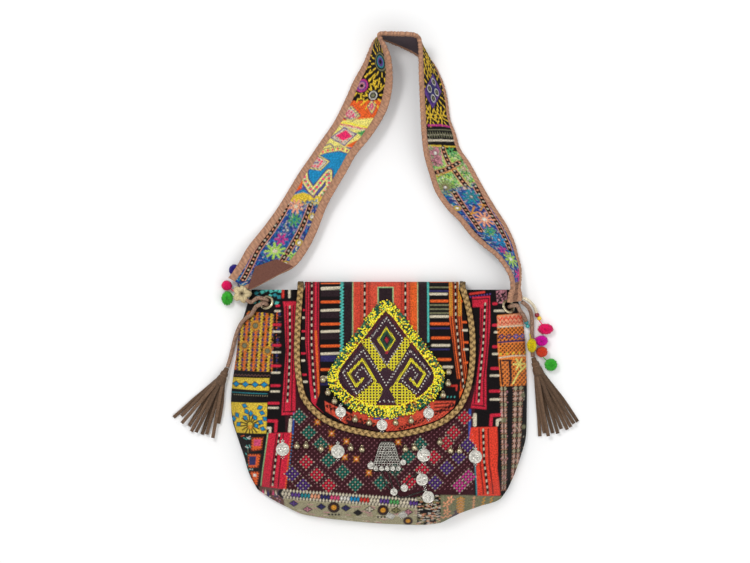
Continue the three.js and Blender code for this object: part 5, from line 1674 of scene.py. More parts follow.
class StrapCloth:
    """The strap: its embroidered face, its lining and the gathered binding along its edges."""

    steps: int = 18
    columns: int = 62
    binding: float = 9.6
    slim_binding: float = 6.2
    inset: float = 0.02
    gather_rate: float = 1.25
    gather_height: float = 0.32
    gather_slant: float = 0.7

    def binding_width(self, x: np.ndarray) -> np.ndarray:
        """Gives the binding's width, which is slimmer on the right run.

        Args:
            x: the places of the strap's middle, in millimetres.

        Returns:
            The widths.
        """
        return self.binding + (self.slim_binding - self.binding) * np.clip((x - 10) / 25, 0, 1)

    def build(self, finishes: dict[str, bpy.types.Material]) -> None:
        """Makes the strap's pieces.

        Args:
            finishes: the materials by name.
        """
        shares = np.linspace(self.inset, 1 - self.inset, self.columns)
        points, _, face = STRAP.surface(self.steps, shares)
        middle = points[:, self.columns // 2]
        along = np.r_[0, np.linalg.norm(np.diff(middle, axis=0), axis=1).cumsum()]
        wide = np.linalg.norm(points[:, -1] - points[:, 0], axis=1)
        run = np.broadcast_to(along[:, None], points.shape[:2])
        chart = np.stack([run, shares[None] * wide[:, None]], -1)
        thread = Embroidery(chart.reshape(-1, 2) / PIXEL, 0.8)
        paint_strap(thread, StrapChart(to_pixels(points[..., :2]).reshape(-1, 2), thread.points,
                                       face.reshape(-1, 3)))
        relief = thread.relief.reshape(points.shape[:2]) + ripple(chart, 30, 8) * 0.5
        skin = STRAP.thickness / 2
        from_edge = np.minimum(shares, 1 - shares)[None] * wide[:, None] / (1 - 2 * self.inset)
        free = np.clip((from_edge - self.binding_width(middle[:, :1]) + 1.2) / 1.6, 0, 1)
        thread.colour[(free < 0.3).ravel()] = Dye.HIDE.linear()
        outside = points + face * (skin + relief * free - 0.2 * (1 - free))[..., None]
        cloth = cloth_grid(outside)
        paint(cloth, thread.colour.reshape(*points.shape[:2], 3)[::-1].reshape(-1, 3))
        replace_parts(finish_piece(cloth, "strap_face", finishes["embroidered_cloth"]), "strap")
        coarse = slice(None, None, 3)
        back = (points - face * skin)[::4, coarse][:, ::-1]
        lining = cloth_grid(back)
        finish_piece(lining, "strap_lining", finishes["plain_lining"])
        self.bind(finishes)

    def bind(self, finishes: dict[str, bpy.types.Material]) -> None:
        """Makes the gathered binding round both edges.

        Args:
            finishes: the materials by name.
        """
        points, across, face = STRAP.surface(self.steps, np.array([0.0, 1.0]))
        skin = STRAP.thickness / 2
        section = np.array([
            (self.binding, skin - 0.4), (self.binding - 0.4, skin + 0.75), (self.binding * 0.55, skin + 1.0),
            (1.2, skin + 0.75), (-0.3, skin * 0.6), (-0.5, 0), (-0.3, -skin * 0.6), (1.2, -skin - 0.6),
            (self.binding * 0.55, -skin - 0.7), (self.binding - 0.4, -skin - 0.4),
            (self.binding, -skin + 0.3),
        ])
        width = self.binding_width(points[:, :, 0].mean(axis=1))[:, None] / self.binding
        reach_in = section[None, :, 0] * np.where(section[:, 0] > 1.5, width, 1)
        for column, sign, name in ((0, 1, "outer"), (1, -1, "inner")):
            edge, facing = points[:, column], face[:, column]
            along = np.r_[0, np.linalg.norm(np.diff(edge, axis=0), axis=1).cumsum()]
            drift = 1.6 * np.sin(along * 0.31) + 0.8 * np.sin(along * 0.83)
            slant = section[None, :, 0] * self.gather_slant + drift[:, None]
            gather = np.sin(along[:, None] * self.gather_rate + slant)
            reach = edge[:, None] + sign * across[:, None] * reach_in[..., None]
            height = section[None, :, 1] + self.gather_height * gather * np.sign(section[None, :, 1])
            rows = reach + facing[:, None] * height[..., None]
            binding = cloth_grid(rows if sign < 0 else rows[:, ::-1])
            # Painted light: the gathers are painted tan on their crests and darker brown in their folds, as
            # painted highlight and painted shade.
            shade = (0.5 + 0.5 * gather)[..., None]
            shade = shade if sign < 0 else shade[:, ::-1]
            colour = Dye.HIDE.linear() + (Dye.TAN.linear() - Dye.HIDE.linear()) * shade
            paint(binding, colour[::-1].reshape(-1, 3))
            finish_piece(binding, f"strap_binding_{name}", finishes["soft_binding"])


@dataclass
class StrapChart:
    """Finds places on the strap's cloth from the photograph's pixels."""

    seen: np.ndarray
    laid: np.ndarray
    face: np.ndarray

    def __call__(self, pixel: tuple[float, float]) -> tuple[float, float]:
        """Gives the cloth's own place for a pixel of the photograph."""
        distance = np.hypot(*(self.seen - np.array(pixel)).T) + np.where(self.face[:, 2] < 0.1, 6, 0)
        return tuple(self.laid[np.argmin(distance)])


def bell_shape(radius: float) -> Pattern:
    """Makes a small jingle bell that hangs along -Y.

    Args:
        radius: its radius.

    Returns:
        The bell with its seam, slot and loop.
    """
    angle = np.linspace(-math.pi / 2, math.pi / 2, 17)
    swell = 1 + 0.05 * np.exp(-((angle / 0.12) ** 2))
    profile = [(max(math.cos(a), 0.01) * radius * s, math.sin(a) * radius) for a, s in zip(angle, swell)]
    ball = turned(profile, 28, closed=False)
    points = ball.points.copy()
    slot = (points[:, 2] < -0.15 * radius) & (np.abs(points[:, 0]) < 0.16 * radius)
    points[slot] *= 0.72
    upright = np.array([[1, 0, 0], [0, 0, -1], [0, 1, 0]], float)
    body = Pattern(points @ upright, ball.faces)
    loop = moved(ring(0.3 * radius, 0.11 * radius, 14, 6), (0, 1.08 * radius, 0),
                 np.array([[1, 0, 0], [0, 1, 0], [0, 0, 1.0]]))
    return merged([body, loop])


@dataclass(frozen=True)
class Sewn:
    """A row of like pieces sewn on the flap or the front, each by its place and its turn."""

    node: str
    places: tuple[tuple[float, ...], ...]
    radius: float
    on_flap: bool
    is_bell: bool
    numbered: bool = True

    def build(self, finishes: dict[str, bpy.types.Material]) -> None:
        """Makes each piece in its own object.

        Args:
            finishes: the materials by name.
        """
        height = FLAP.top_at if self.on_flap else BODY.height_at
        shape = bell_shape(self.radius) if self.is_bell else medal(self.radius, 1.4, 8)
        lift = self.radius + FLAP.gap if self.is_bell else FLAP.gap + 0.25
        for i, (first, second, *turn) in enumerate(self.places):
            x, y = (FLAP if self.on_flap else BODY).place(np.array(first), np.array(second))
            twist = turn[0] if turn else 0.0
            points = seated(shape.points, float(x), float(y), lift, height, twist)
            name = f"{self.node}_{i + 1:02d}"
            piece = mesh_from(points, shape.faces, name)
            finish = "aged_brass" if self.is_bell else "worn_silver"
            finish_piece(piece, f"{name}_metal", finishes[finish])
            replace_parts(piece, name)


SEWN = (
    Sewn("flap_bell", (
        (-0.736, 0.641), (-0.678, 0.73), (-0.6, 0.79), (-0.354, 0.918), (-0.186, 0.941), (0.13, 0.941),
        (0.313, 0.927), (0.694, 0.747), (0.755, 0.667), (0.762, 0.586),
    ), 3.9, True, True),
    Sewn("flap_coin", ((-0.526, 0.865), (-0.033, 0.957), (0.522, 0.873)), 6.6, True, False),
    Sewn("front_bell", (
        (-0.55, 0.66), (-0.489, 0.658), (-0.388, 0.671), (-0.189, 0.668), (-0.115, 0.674), (0.176, 0.673),
        (0.237, 0.667), (0.407, 0.643), (0.479, 0.679), (0.539, 0.68),
    ), 3.9, False, True),
    Sewn("front_coin", ((-0.647, 0.673), (-0.277, 0.682), (0.3, 0.698), (0.647, 0.705)), 8.2, False, False),
    Sewn("drop_coin", ((0.289, 0.801, 0.4), (0.33, 0.875, 0.4)), 7.4, False, False),
    Sewn("hem_coin", ((0.076, 0.955, 0.2), (0.16, 0.95, -0.2)), 5.6, False, False),
)


def coin_beads(finishes: dict[str, bpy.types.Material]) -> None:
    """Strings the small rings of dark and light beads above and below each coin.

    Args:
        finishes: the materials by name.
    """
    beads, ring_radius, bead = 8, 1.6, 0.62
    angle = np.arange(beads) * 2 * math.pi / beads
    tints = np.stack([(Dye.WHITE, Dye.BLACK)[i % 2].linear() for i in range(beads)])
    centres, colours = [], []
    for row in SEWN:
        if row.is_bell:
            continue
        height = FLAP.top_at if row.on_flap else BODY.height_at
        for first, second, *turn in row.places:
            x, y = (float(value) for value in (FLAP if row.on_flap else BODY).place(np.array(first),
                    np.array(second)))
            for end in (1.26, -1.18):
                local = np.stack([ring_radius * np.cos(angle), end * row.radius + ring_radius * np.sin(angle),
                                  np.full(beads, bead)], -1)
                centres.append(seated(local, x, y, FLAP.gap + 0.25, height, turn[0] if turn else 0.0))
                colours.append(tints)
    pattern = Pattern.ball(8, 6)
    axes = np.tile(np.eye(3) * bead, (len(centres) * beads, 1, 1))
    piece = pattern.scattered(np.concatenate(centres), axes, "coin_ring_beads")
    paint(piece, np.repeat(np.concatenate(colours), len(pattern.points), axis=0))
    finish_piece(piece, "coin_ring_beads", finishes["seed_beads"])


class Metal:
    """The eyelets, the pierced pendant and its chains."""

    pendant_place: tuple[float, float] = (0.054, 0.7)
    height: float = 34.0
    top: float = 19.0
    bottom: float = 34.0
    thickness: float = 2.2
    plate_lift: float = 0.85
    chains: tuple[tuple[tuple[float, float], ...], ...] = (
        ((0.02, 0.7685), (0.045, 0.82), (0.1, 0.853), (0.15, 0.838)),
        ((0.06, 0.7685), (0.1, 0.853)),
        ((0.1, 0.7685), (0.15, 0.838), (0.2, 0.8), (0.258, 0.776)),
        ((0.1, 0.853), (0.15, 0.878), (0.235, 0.862), (0.3, 0.849)),
    )
    small_coins: tuple[tuple[float, float, float], ...] = ((0.1, 0.853, 4.4), (0.17, 0.836, 4.6))

    def build(self, finishes: dict[str, bpy.types.Material]) -> None:
        """Makes the metal pieces.

        Args:
            finishes: the materials by name.
        """
        for eyelet in EYELETS:
            self.eyelet(eyelet, finishes)
        self.pendant(finishes)
        self.chain(finishes)

    def eyelet(self, eyelet: Eyelet, finishes: dict[str, bpy.types.Material]) -> None:
        """Makes one rolled eyelet.

        Args:
            eyelet: its place and sizes.
            finishes: the materials by name.
        """
        wide, bore = BODY.eyelet_radius, eyelet.bore
        profile = [(bore, -eyelet.depth), (bore, 0.4), (bore + 0.25, 1.1), (bore + 0.9, 1.55),
                   (bore + 1.8, 1.6)]
        profile += [(wide - 0.8, 1.15), (wide - 0.1, 0.6), (wide, 0.25), (wide - 0.3, 0), (bore + 0.9, 0)]
        profile += [(bore + 0.9, -eyelet.depth)]
        shape = turned(profile, 56)
        x, y = BODY.place(np.array(eyelet.across), np.array(eyelet.down))
        points = seated(shape.points, float(x), float(y), FLAP.gap + 0.2, BODY.height_at)
        piece = mesh_from(points, shape.faces, eyelet.node)
        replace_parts(finish_piece(piece, f"{eyelet.node}_ring", finishes["aged_brass"]),
                    eyelet.node)

    def outline(self) -> list[tuple[float, float]]:
        """Gives the pendant plate's outline."""
        top, foot = self.height / 2, -self.height / 2
        step = self.bottom / 5
        points = [(-self.bottom / 2, foot)]
        for i in range(5):
            middle = -self.bottom / 2 + (i + 0.5) * step
            for angle in np.linspace(math.pi, 2 * math.pi, 7)[1:]:
                points.append((middle + step / 2 * math.cos(angle), foot + 0.3 * step * math.sin(angle)))
        flank = [(self.bottom / 2 - 0.6, foot + 6), (self.bottom / 2 - 3.2, foot + 15),
                 (self.top / 2 + 1.6, top - 8),
                 (self.top / 2 - 0.6, top - 2.2), (self.top / 2 - 3, top)]
        return points + flank + [(-x, y) for x, y in flank[::-1]]

    def pendant(self, finishes: dict[str, bpy.types.Material]) -> None:
        """Makes the pierced plate, its bosses and its beaded wire.

        Args:
            finishes: the materials by name.
        """
        outline = self.outline()
        curve = bpy.data.curves.new("pendant_plate", "CURVE")
        curve.dimensions = "2D"
        curve.fill_mode = "BOTH"
        curve.extrude = (self.thickness / 2 - 0.25) * MM
        curve.bevel_depth = 0.25 * MM
        curve.bevel_resolution = 1
        holes = []
        for up, count in ((0.22, 3), (-0.05, 4)):
            wide = self.top + (self.bottom - self.top) * (0.5 - up)
            for i in range(count):
                x, half, y = ((i + 0.5) / count - 0.5) * 0.82 * wide, 0.13 * wide, up * self.height
                holes.append([(x, y + 1.3 * half), (x + half, y), (x, y - 1.3 * half), (x - half, y)])
        for loop in [outline, *holes]:
            spline = curve.splines.new("POLY")
            spline.points.add(len(loop) - 1)
            for point, (x, y) in zip(spline.points, loop):
                point.co = (x * MM, y * MM, 0, 1)
            spline.use_cyclic_u = True
        plate = bpy.data.objects.new("pendant_plate", curve)
        bpy.context.scene.collection.objects.link(plate)
        clear_selection()
        plate.select_set(True)
        bpy.context.view_layer.objects.active = plate
        bpy.ops.object.convert(target="MESH")
        plate = bpy.context.object
        local = np.array([vertex.co for vertex in plate.data.vertices]) / MM + [0, 0, self.thickness / 2]
        x, y = (float(value) for value in BODY.place(*map(np.array, self.pendant_place)))
        plate.data.vertices.foreach_set("co",
                                        (seated(local, x, y, self.plate_lift, BODY.height_at) * MM).ravel())
        finish_piece(plate, "pendant_plate", finishes["dark_silver"])
        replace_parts(plate, "pendant")
        self.granules(x, y, outline, holes, finishes)

    def granules(
        self, x: float, y: float, outline: list[tuple[float, float]], holes: list[list[tuple[float, float]]],
        finishes: dict[str, bpy.types.Material],
    ) -> None:
        """Sets bosses and small grains on the pendant's plate.

        Args:
            x: the plate's place across.
            y: its place along.
            outline: its outline.
            holes: its holes.
            finishes: the materials by name.
        """
        ball = Pattern.ball(8, 6)
        edge = even_line(np.array([*outline, outline[0]]) * 0.93, 1.3)
        spots = [(px, py, 0.55) for px, py in edge]
        for hole in holes:
            for px, py in even_line(np.array([*hole, hole[0]]) * 1.0, 1.25):
                centre = np.mean(hole, axis=0)
                out = np.array([px, py]) - centre
                spots.append((*(centre + out * (1 + 0.9 / np.linalg.norm(out))), 0.42))
        for px in np.linspace(-self.top / 2 + 2.4, self.top / 2 - 2.4, 6):
            spots.append((px, self.height / 2 - 2.2, 0.9))
        spots = np.array(spots)
        local = np.c_[spots[:, :2], np.full(len(spots), self.thickness)]
        centres = seated(local, x, y, self.plate_lift, BODY.height_at)
        _, seat = frame_at(BODY.height_at, x, y)
        axes = seat[None] * spots[:, 2][:, None, None]
        grains = ball.scattered(centres, axes, "pendant_grains")
        finish_piece(grains, "pendant_grains", finishes["worn_silver"])
        self.wires(x, y, finishes)

    def wires(self, x: float, y: float, finishes: dict[str, bpy.types.Material]) -> None:
        """Lays rows of small wire rings on the plate, with a row of discs at its foot and one at each side.

        Args:
            x: the plate's place across.
            y: its place along.
            finishes: the materials by name.
        """
        wire, parts = ring(1.7, 0.27, 14, 6), []
        for row in range(9):
            up = self.height / 2 - 4.6 - row * 2.9
            half = self.top / 2 - 1.2 + (self.bottom - self.top) / 2 * min(1.0, (row + 1) / 8)
            count = max(3, round(2 * half / 3.3))
            for px in (np.arange(count) - (count - 1) / 2) * 2 * half / count:
                parts.append(moved(wire, (px, up, self.thickness + 0.1), np.eye(3)))
        disc = medal(2.9, 1.2, 5)
        for px in (np.arange(5) - 2) * self.bottom / 5:
            parts.append(moved(disc, (px, -self.height / 2 + 1.6, self.thickness), np.eye(3)))
        whole = merged(parts)
        wires = mesh_from(seated(whole.points, x, y, self.plate_lift, BODY.height_at), whole.faces,
                          "pendant_wires")
        finish_piece(wires, "pendant_wires", finishes["worn_silver"])
        blossom = medal(4.4, 1.6, 7)
        for sign, pattern, name in ((-1, blossom, "pendant_blossom"),
                                    (1, medal(3.6, 1.2, 6), "pendant_disc")):
            place = (x + sign * (self.bottom / 2 + 2.4), y - self.height / 2 + 7 + 2 * sign)
            points = seated(pattern.points, *place, self.plate_lift, BODY.height_at)
            finish_piece(mesh_from(points, pattern.faces, name), name, finishes["worn_silver"])

    def chain(self, finishes: dict[str, bpy.types.Material]) -> None:
        """Makes the chains' links and their small coins.

        Args:
            finishes: the materials by name.
        """
        link = ring(1.0, 0.33, 12, 6)
        lift, pitch = 1.6, 1.55
        centres, axes = [], []
        for route in self.chains:
            places = BODY.place(*np.array(route).T)
            flat = even_line(smooth_line(places, 8), pitch)
            line = np.c_[flat, BODY.height_at(flat[:, 0], flat[:, 1]) + lift]
            run = np.gradient(line, axis=0)
            run /= np.linalg.norm(run, axis=1, keepdims=True)
            for i, (point, along) in enumerate(zip(line, run)):
                side = np.cross([0, 0, 1.0], along)
                side /= np.linalg.norm(side)
                up = np.cross(along, side)
                tilt = 0.6 if i % 2 else -0.6
                wide = side * math.cos(tilt) + up * math.sin(tilt)
                thin = up * math.cos(tilt) - side * math.sin(tilt)
                centres.append(point)
                axes.append((along * 1.15, wide * 0.8, thin))
        chain = link.scattered(np.array(centres), np.array(axes), "pendant_chain_links")
        finish_piece(chain, "pendant_chain_links", finishes["dark_silver"])
        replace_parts(chain, "pendant_chains")
        for i, (across, down, radius) in enumerate(self.small_coins):
            x, y = BODY.place(np.array(across), np.array(down))
            coin = medal(radius, 1.3, 6)
            points = seated(coin.points, float(x), float(y), 1.4, BODY.height_at)
            piece = mesh_from(points, coin.faces, "chain_coin")
            finish_piece(piece, f"chain_coin_{i + 1}", finishes["worn_silver"])


@dataclass(frozen=True)
class Pompom:
    """A ball of yarn and its thread."""

    node: str
    at: tuple[float, float, float]
    radius: tuple[float, float, float]
    to: tuple[float, float, float]
    slot: str


POMPOMS = (
    Pompom("pompom_left_navy", (-177.0, 11.4, 6.2), (6.2, 7.0, 5.6), (-171.0, -9.8, 9.4), "navy"),
    Pompom("pompom_left_pink", (-186.4, -7.4, 6.5), (6.0, 6.0, 6.0), (-175.7, -15.9, 9.8), "pink"),
    Pompom("pompom_left_green", (-185.8, -23.0, 7.6), (6.6, 8.4, 7.0), (-176.0, -20.2, 10.3), "green"),
    Pompom("pompom_right_pink", (203.8, -60.6, 7.4), (9.0, 6.4, 6.8), (196.4, -50.5, 6.8), "pink"),
    Pompom("pompom_right_magenta", (199.0, -75.0, 7.6), (7.4, 6.4, 7.0), (189.8, -72.0, 4.6), "magenta"),
    Pompom("pompom_right_orange", (199.4, -88.6, 7.2), (6.6, 6.4, 6.6), (190.9, -86.0, 4.6), "orange"),
    Pompom("pompom_right_yellow", (186.6, -80.6, 14.0), (5.6, 8.4, 7.0), (184.5, -66.5, 5.3), "yellow"),
    Pompom("pompom_right_green", (210.4, -104.4, 7.4), (7.4, 7.4, 7.0), (200.9, -94.9, 7.2), "green"),
)
YARN_COLOURS = {
    "navy": "2e1f8f", "pink": "ff1170", "green": "46c83a", "magenta": "e804b4", "orange": "f0502d",
    "yellow": "f2dc10",
}


def hex_linear(value: str) -> np.ndarray:
    """Turns an sRGB hex value into linear values."""
    colour = np.array([int(value[i : i + 2], 16) for i in (0, 2, 4)]) / 255
    return np.where(colour <= 0.04045, colour / 12.92, ((colour + 0.055) / 1.055) ** 2.4)


class Trimmings:
    """The pompoms, the plaited knot, the beads and the tassels."""

    knot_centre: tuple[float, float, float] = (-167.4, -17.2, 12.4)
    knot_radius: float = 10.2
    fluff: tuple[float, float, float] = (1.27, 1.22, 1.04)
    tassel_length: float = 102.0
    tassel_head: float = 6.4
    strip: tuple[float, float] = (4.2, 1.6)
    layer_step: float = 3.4
    tassels: tuple[tuple, ...] = (
        ("tassel_left", (-185.8, -108.0), -116, (
            (-137, 0.88, 0), (-133, 0.8, 1), (-129, 0.86, 2), (-124, 0.84, 0), (-120, 0.88, 1),
            (-116, 0.86, 2), (-111, 0.86, 0), (-107, 0.84, 1), (-102, 0.86, 2), (-99, 0.68, 1),
        )),
        ("tassel_right", (188.8, -95.6), -71, (
            (-85, 0.95, 0), (-82, 0.92, 1), (-79, 0.96, 2), (-75, 0.94, 0), (-72, 0.96, 1), (-69, 0.92, 2),
            (-65, 0.96, 0), (-62, 0.95, 1), (-58, 0.93, 2), (-55, 0.94, 0),
        )),
    )
    beads: tuple[tuple, ...] = (
        ("teal_beads", "teal", ((180.4, -52.6, 6.0, 2.9, "2a8288"), (182.0, -57.2, 4.4, 2.6, "3fa0a0"))),
        ("red_beads", "red", ((193.6, -43.4, 4.4, 3.0, "8a1c2c"), (196.4, -47.6, 4.2, 2.8, "e8c22c"))),
    )

    def build(self, finishes: dict[str, bpy.types.Material]) -> dict[str, bpy.types.Object]:
        """Makes everything that the cords carry.

        Args:
            finishes: the materials by name.

        Returns:
            The pieces by the node that each replaces.
        """
        made = {"knot_left": self.knot(finishes)}
        for pompom in POMPOMS:
            made[pompom.node] = self.pompom(pompom, finishes)
        for name, slot, places in self.beads:
            made[name] = self.bead_run(name, places, finishes)
        for name, neck, heading, strips in self.tassels:
            made[name] = self.tassel(name, np.array(neck), math.radians(heading), strips, finishes)
        return made

    def knot(self, finishes: dict[str, bpy.types.Material]) -> bpy.types.Object:
        """Plaits the round knot from one cord that goes three times round.

        Args:
            finishes: the materials by name.

        Returns:
            The knot.
        """
        t = np.linspace(0, 4 * math.pi, 320, endpoint=False)
        wave = 5 * t / 2
        latitude = math.radians(58) * np.sin(wave)
        radius = self.knot_radius - 2.6 + 1.3 * np.cos(2 * wave)
        route = np.stack([
            radius * np.cos(latitude) * np.cos(t), radius * np.cos(latitude) * np.sin(t),
            radius * np.sin(latitude),
        ], -1) + np.array(self.knot_centre)
        knot = tube([route], 3.2, "knot", closed=True, sides=4)
        # A ball inside the cord's turns, painted wholly in the shade brown, stands for the painted shade in the
        # gaps between them.
        core = Pattern.ball(24, 16)
        inner = mesh_from(core.points * (self.knot_radius - 3.6) + np.array(self.knot_centre), core.faces,
                          "knot_core")
        clear_selection()
        inner.select_set(True)
        knot.select_set(True)
        bpy.context.view_layer.objects.active = knot
        bpy.ops.object.join()
        points = np.empty(len(knot.data.vertices) * 3, np.float32)
        knot.data.vertices.foreach_get("co", points)
        # Painted shade: the cord is painted darker the nearer it lies to the knot's middle, and lighter on the
        # outside.
        reach = np.linalg.norm(points.reshape(-1, 3) / MM - self.knot_centre, axis=1) / self.knot_radius
        share = np.clip((reach - 0.7) / 0.3, 0, 1)[:, None]
        paint(knot, Dye.SHADE_UMBER.linear() + (Dye.PLAIT.linear() - Dye.SHADE_UMBER.linear()) * share)
        finish_piece(knot, "knot_left_plait", finishes["knot_cord"])
        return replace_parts(knot, "knot_left")

    def pompom(self, pompom: Pompom, finishes: dict[str, bpy.types.Material]) -> bpy.types.Object:
        """Makes a ball of cut yarn ends and its thread.

        Args:
            pompom: its place, size and colour.
            finishes: the materials by name.

        Returns:
            The pompom.
        """
        rng = np.random.default_rng(sum(map(ord, pompom.node)))
        ways = rng.normal(size=(1150, 3))
        ways /= np.linalg.norm(ways, axis=1, keepdims=True)
        side = np.cross(ways, rng.normal(size=ways.shape))
        side /= np.linalg.norm(side, axis=1, keepdims=True)
        reach = rng.uniform(0.88, 1.0, len(ways))[:, None] - 0.08
        turn = ways + side * 0.14
        tuft = np.array([(0, 0, 0.2), (1, 0, 0.72), (-0.5, 0.87, 0.72), (-0.5, -0.87, 0.72), (0, 0, 1.0)])
        tuft = tuft * np.array([0.075, 0.075, 1])
        faces = np.array([(0, 2, 1), (0, 3, 2), (0, 1, 3), (1, 2, 4), (2, 3, 4), (3, 1, 4)])
        size = np.array(pompom.radius) * self.fluff
        axes = np.stack([side, np.cross(ways, side), turn * reach], 1) * size
        tufts = Pattern(tuft, faces).scattered(np.tile(pompom.at, (len(ways), 1)), axes, pompom.node)
        base = hex_linear(YARN_COLOURS[pompom.slot])
        # Painted light: each tuft is painted dark at its root inside the ball and brighter at its tip, as painted
        # shade and painted highlight, times a random tone for each tuft.
        depth = np.tile([0.35, 0.8, 0.8, 0.8, 1.15],
                        len(ways)) * np.repeat(rng.uniform(0.75, 1.15, len(ways)), 5)
        paint(tufts, base * depth[:, None])
        end, start = np.array(pompom.to), np.array(pompom.at)
        share = np.linspace(0, 1, 9)[:, None]
        sag = np.array([0, 0, 1.0]) * np.sin(share * math.pi) * 0.8
        thread = tube([start + (end - start) * share + sag], 0.62, "thread", sides=1)
        paint(thread, np.tile(base * 0.8, (len(thread.data.vertices), 1)))
        clear_selection()
        thread.select_set(True)
        tufts.select_set(True)
        bpy.context.view_layer.objects.active = tufts
        bpy.ops.object.join()
        finish_piece(tufts, f"{pompom.node}_yarn", finishes["pompom_yarn"])
        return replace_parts(tufts, pompom.node)

    def bead_run(
        self, name: str, places: tuple[tuple, ...], finishes: dict[str, bpy.types.Material]
    ) -> bpy.types.Object:
        """Makes the glossy beads at a cord's end.

        Args:
            name: the node that they replace.
            places: each bead's middle, radius and colour.
            finishes: the materials by name.

        Returns:
            The beads.
        """
        ball = Pattern.ball(24, 16)
        centres = np.array([place[:3] for place in places], float)
        axes = np.stack([np.eye(3) * place[3] for place in places])
        beads = ball.scattered(centres, axes, name)
        paint(beads, np.repeat(np.stack([hex_linear(place[4]) for place in places]), len(ball.points),
                               axis=0))
        finish_piece(beads, f"{name}_glass", finishes["seed_beads"])
        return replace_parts(beads, name)

    def tassel(
        self, name: str, neck: np.ndarray, heading: float, strips: tuple,
        finishes: dict[str, bpy.types.Material]
    ) -> bpy.types.Object:
        """Makes a tassel of suede strips with a bound head.

        Args:
            name: the node that it replaces.
            neck: where its head starts.
            heading: the way that it lies, in radians.
            strips: each strip's turn in degrees, its share of the length and its layer.
            finishes: the materials by name.

        Returns:
            The tassel.
        """
        head_length = 0.22 * self.tassel_length
        rng = np.random.default_rng(len(strips) + int(abs(neck[0])))
        parts, tints = [], []
        rows = [(0.05, 0), (0.42, 0.02), (0.5, 0.2), (0.62, 0.32), (0.78, 0.42), (0.7, 0.5), (0.9, 0.62),
                (1, 0.85), (0.9, 1), (0.05, 1)]
        rows = smooth_line(np.array(rows), 3)
        head = turned([(radius * self.tassel_head, along * head_length) for radius, along in rows], 28,
                      closed=False)
        c, s = math.cos(heading), math.sin(heading)
        axes = np.array([[-s, c, 0], [0, 0, 1], [c, s, 0]])
        parts.append(moved(head, (*neck, self.tassel_head + 0.3), axes))
        tints.append(0.85)
        for wrap in range(5):
            band = ring(self.tassel_head * 0.66, 0.62, 24, 6)
            along = head_length * (0.3 + 0.055 * wrap)
            place = (neck[0] + c * along, neck[1] + s * along, self.tassel_head + 0.3)
            parts.append(moved(band, place, axes))
            tints.append(1.25)
        for turn, length, layer in strips:
            parts.append(self.strip_shape(neck, heading, head_length, (turn, length, layer), rng))
            tints.append(rng.uniform(0.7, 1.2))
        whole = merged(parts)
        piece = mesh_from(whole.points, whole.faces, name)
        shade = np.concatenate([np.full(len(part.points), tint) for part, tint in zip(parts, tints)])
        paint(piece, Dye.SUEDE.linear() * shade[:, None])
        finish_piece(piece, f"{name}_strips", finishes["brown_suede"])
        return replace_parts(piece, name)

    def strip_shape(
        self, neck: np.ndarray, heading: float, head_length: float, facts: tuple, rng: np.random.Generator
    ) -> Pattern:
        """Makes one strip of a tassel.

        Args:
            neck: where the tassel's head starts.
            heading: the way that the tassel lies.
            head_length: the head's length.
            facts: the strip's turn, its share of the length and its layer.
            rng: the source of its small bends.

        Returns:
            The strip.
        """
        turn, length, layer = facts
        angle = math.radians(turn)
        share = np.linspace(0.1, 1, 16)
        reach = share * length * self.tassel_length
        way, side = np.array([math.cos(angle), math.sin(angle)]), np.array([-math.sin(angle),
                math.cos(angle)])
        begin = np.array([math.cos(heading), math.sin(heading)]) * 0.35 * head_length
        swing = np.clip(share * 1.6, 0, 1)
        sway = np.sin(share * rng.uniform(3, 5) + rng.uniform(0, 6)) * 0.9 * share
        flat = neck + begin * (1 - swing)[:, None] + way * reach[:, None] + side * sway[:, None]
        low = 0.3 + layer * self.layer_step
        z = low + (self.tassel_head - low) * (1 - np.clip(share * 2.2, 0, 1)) + 1.2 * layer * (1 - share)
        z = np.maximum(z + self.strip[1] / 2 + 0.5 * np.sin(share * rng.uniform(6, 10)) * share,
                       self.strip[1] / 2 + 0.25)
        tilt = 0.25 * np.sin(share * 4 + rng.uniform(0, 6))
        across = np.c_[side[None] * np.cos(tilt)[:, None], np.sin(tilt)]
        up = np.c_[-side[None] * np.sin(tilt)[:, None], np.cos(tilt)]
        rows = np.c_[flat, np.maximum(z, self.strip[1] / 2 + 0.3 + np.abs(np.sin(tilt)) * self.strip[0] / 2)]
        return ribbon(rows, across, up, self.strip)


# Embroidery, in the photograph's pixels


Place = tuple[float, float]


def bars(thread: Embroidery, rows: tuple[tuple[float, float, float], ...], dye: Dye, width: float) -> None:
    """Stitches the bars of a ladder.

    Args:
        thread: the cloth.
        rows: each bar's start, end and place down.
        dye: the bars' colour.
        width: their thickness.
    """
    for start, end, down in rows:
        thread.line([(start + 1, down), (end - 1, down)], dye, width, 0.5)


def dotted_band(thread: Embroidery, outline: list[Place], dye: Dye, middle: list[Place],
                sides: list[list[Place]]) -> None:
    """Fills a band of cloth with a dashed middle line and dotted lines at its sides.

    Args:
        thread: the cloth.
        outline: the band's corners.
        dye: its colour.
        middle: the dashed line.
        sides: the dotted lines.
    """
    thread.field(outline, dye, 0.25)
    thread.line(middle, Dye.BLACK, 2.6, 0.1)
    thread.stitches(middle, Dye.CREAM, 6.5, 1.4, 1.6)
    for side in sides:
        thread.line(side, Dye.MAROON, 0.9, 0.1)
        thread.stitches(side, Dye.BLACK, 1.9, 1.1)


def mirror_round(thread: Embroidery, middle: Place, radius: float, dye: Dye, heart: Dye = Dye.STONE) -> None:
    """Stitches a small mirror's ring and paints the glass in a flat colour as a painted reflection.

    Args:
        thread: the cloth.
        middle: the mirror's middle.
        radius: the ring's radius.
        dye: the ring's colour.
        heart: the flat colour painted on the glass as its reflection.
    """
    thread.disc(middle, radius, dye, 0.7)
    thread.sunburst(middle, radius * 0.62, radius, Dye.BARK, 14, width=0.35)
    thread.disc(middle, radius * 0.56, Dye.BLACK, 0.3)
    # Painted reflection: the mirror's glass is a flat disc of this colour.
    thread.disc(middle, radius * 0.46, heart, 0.3)


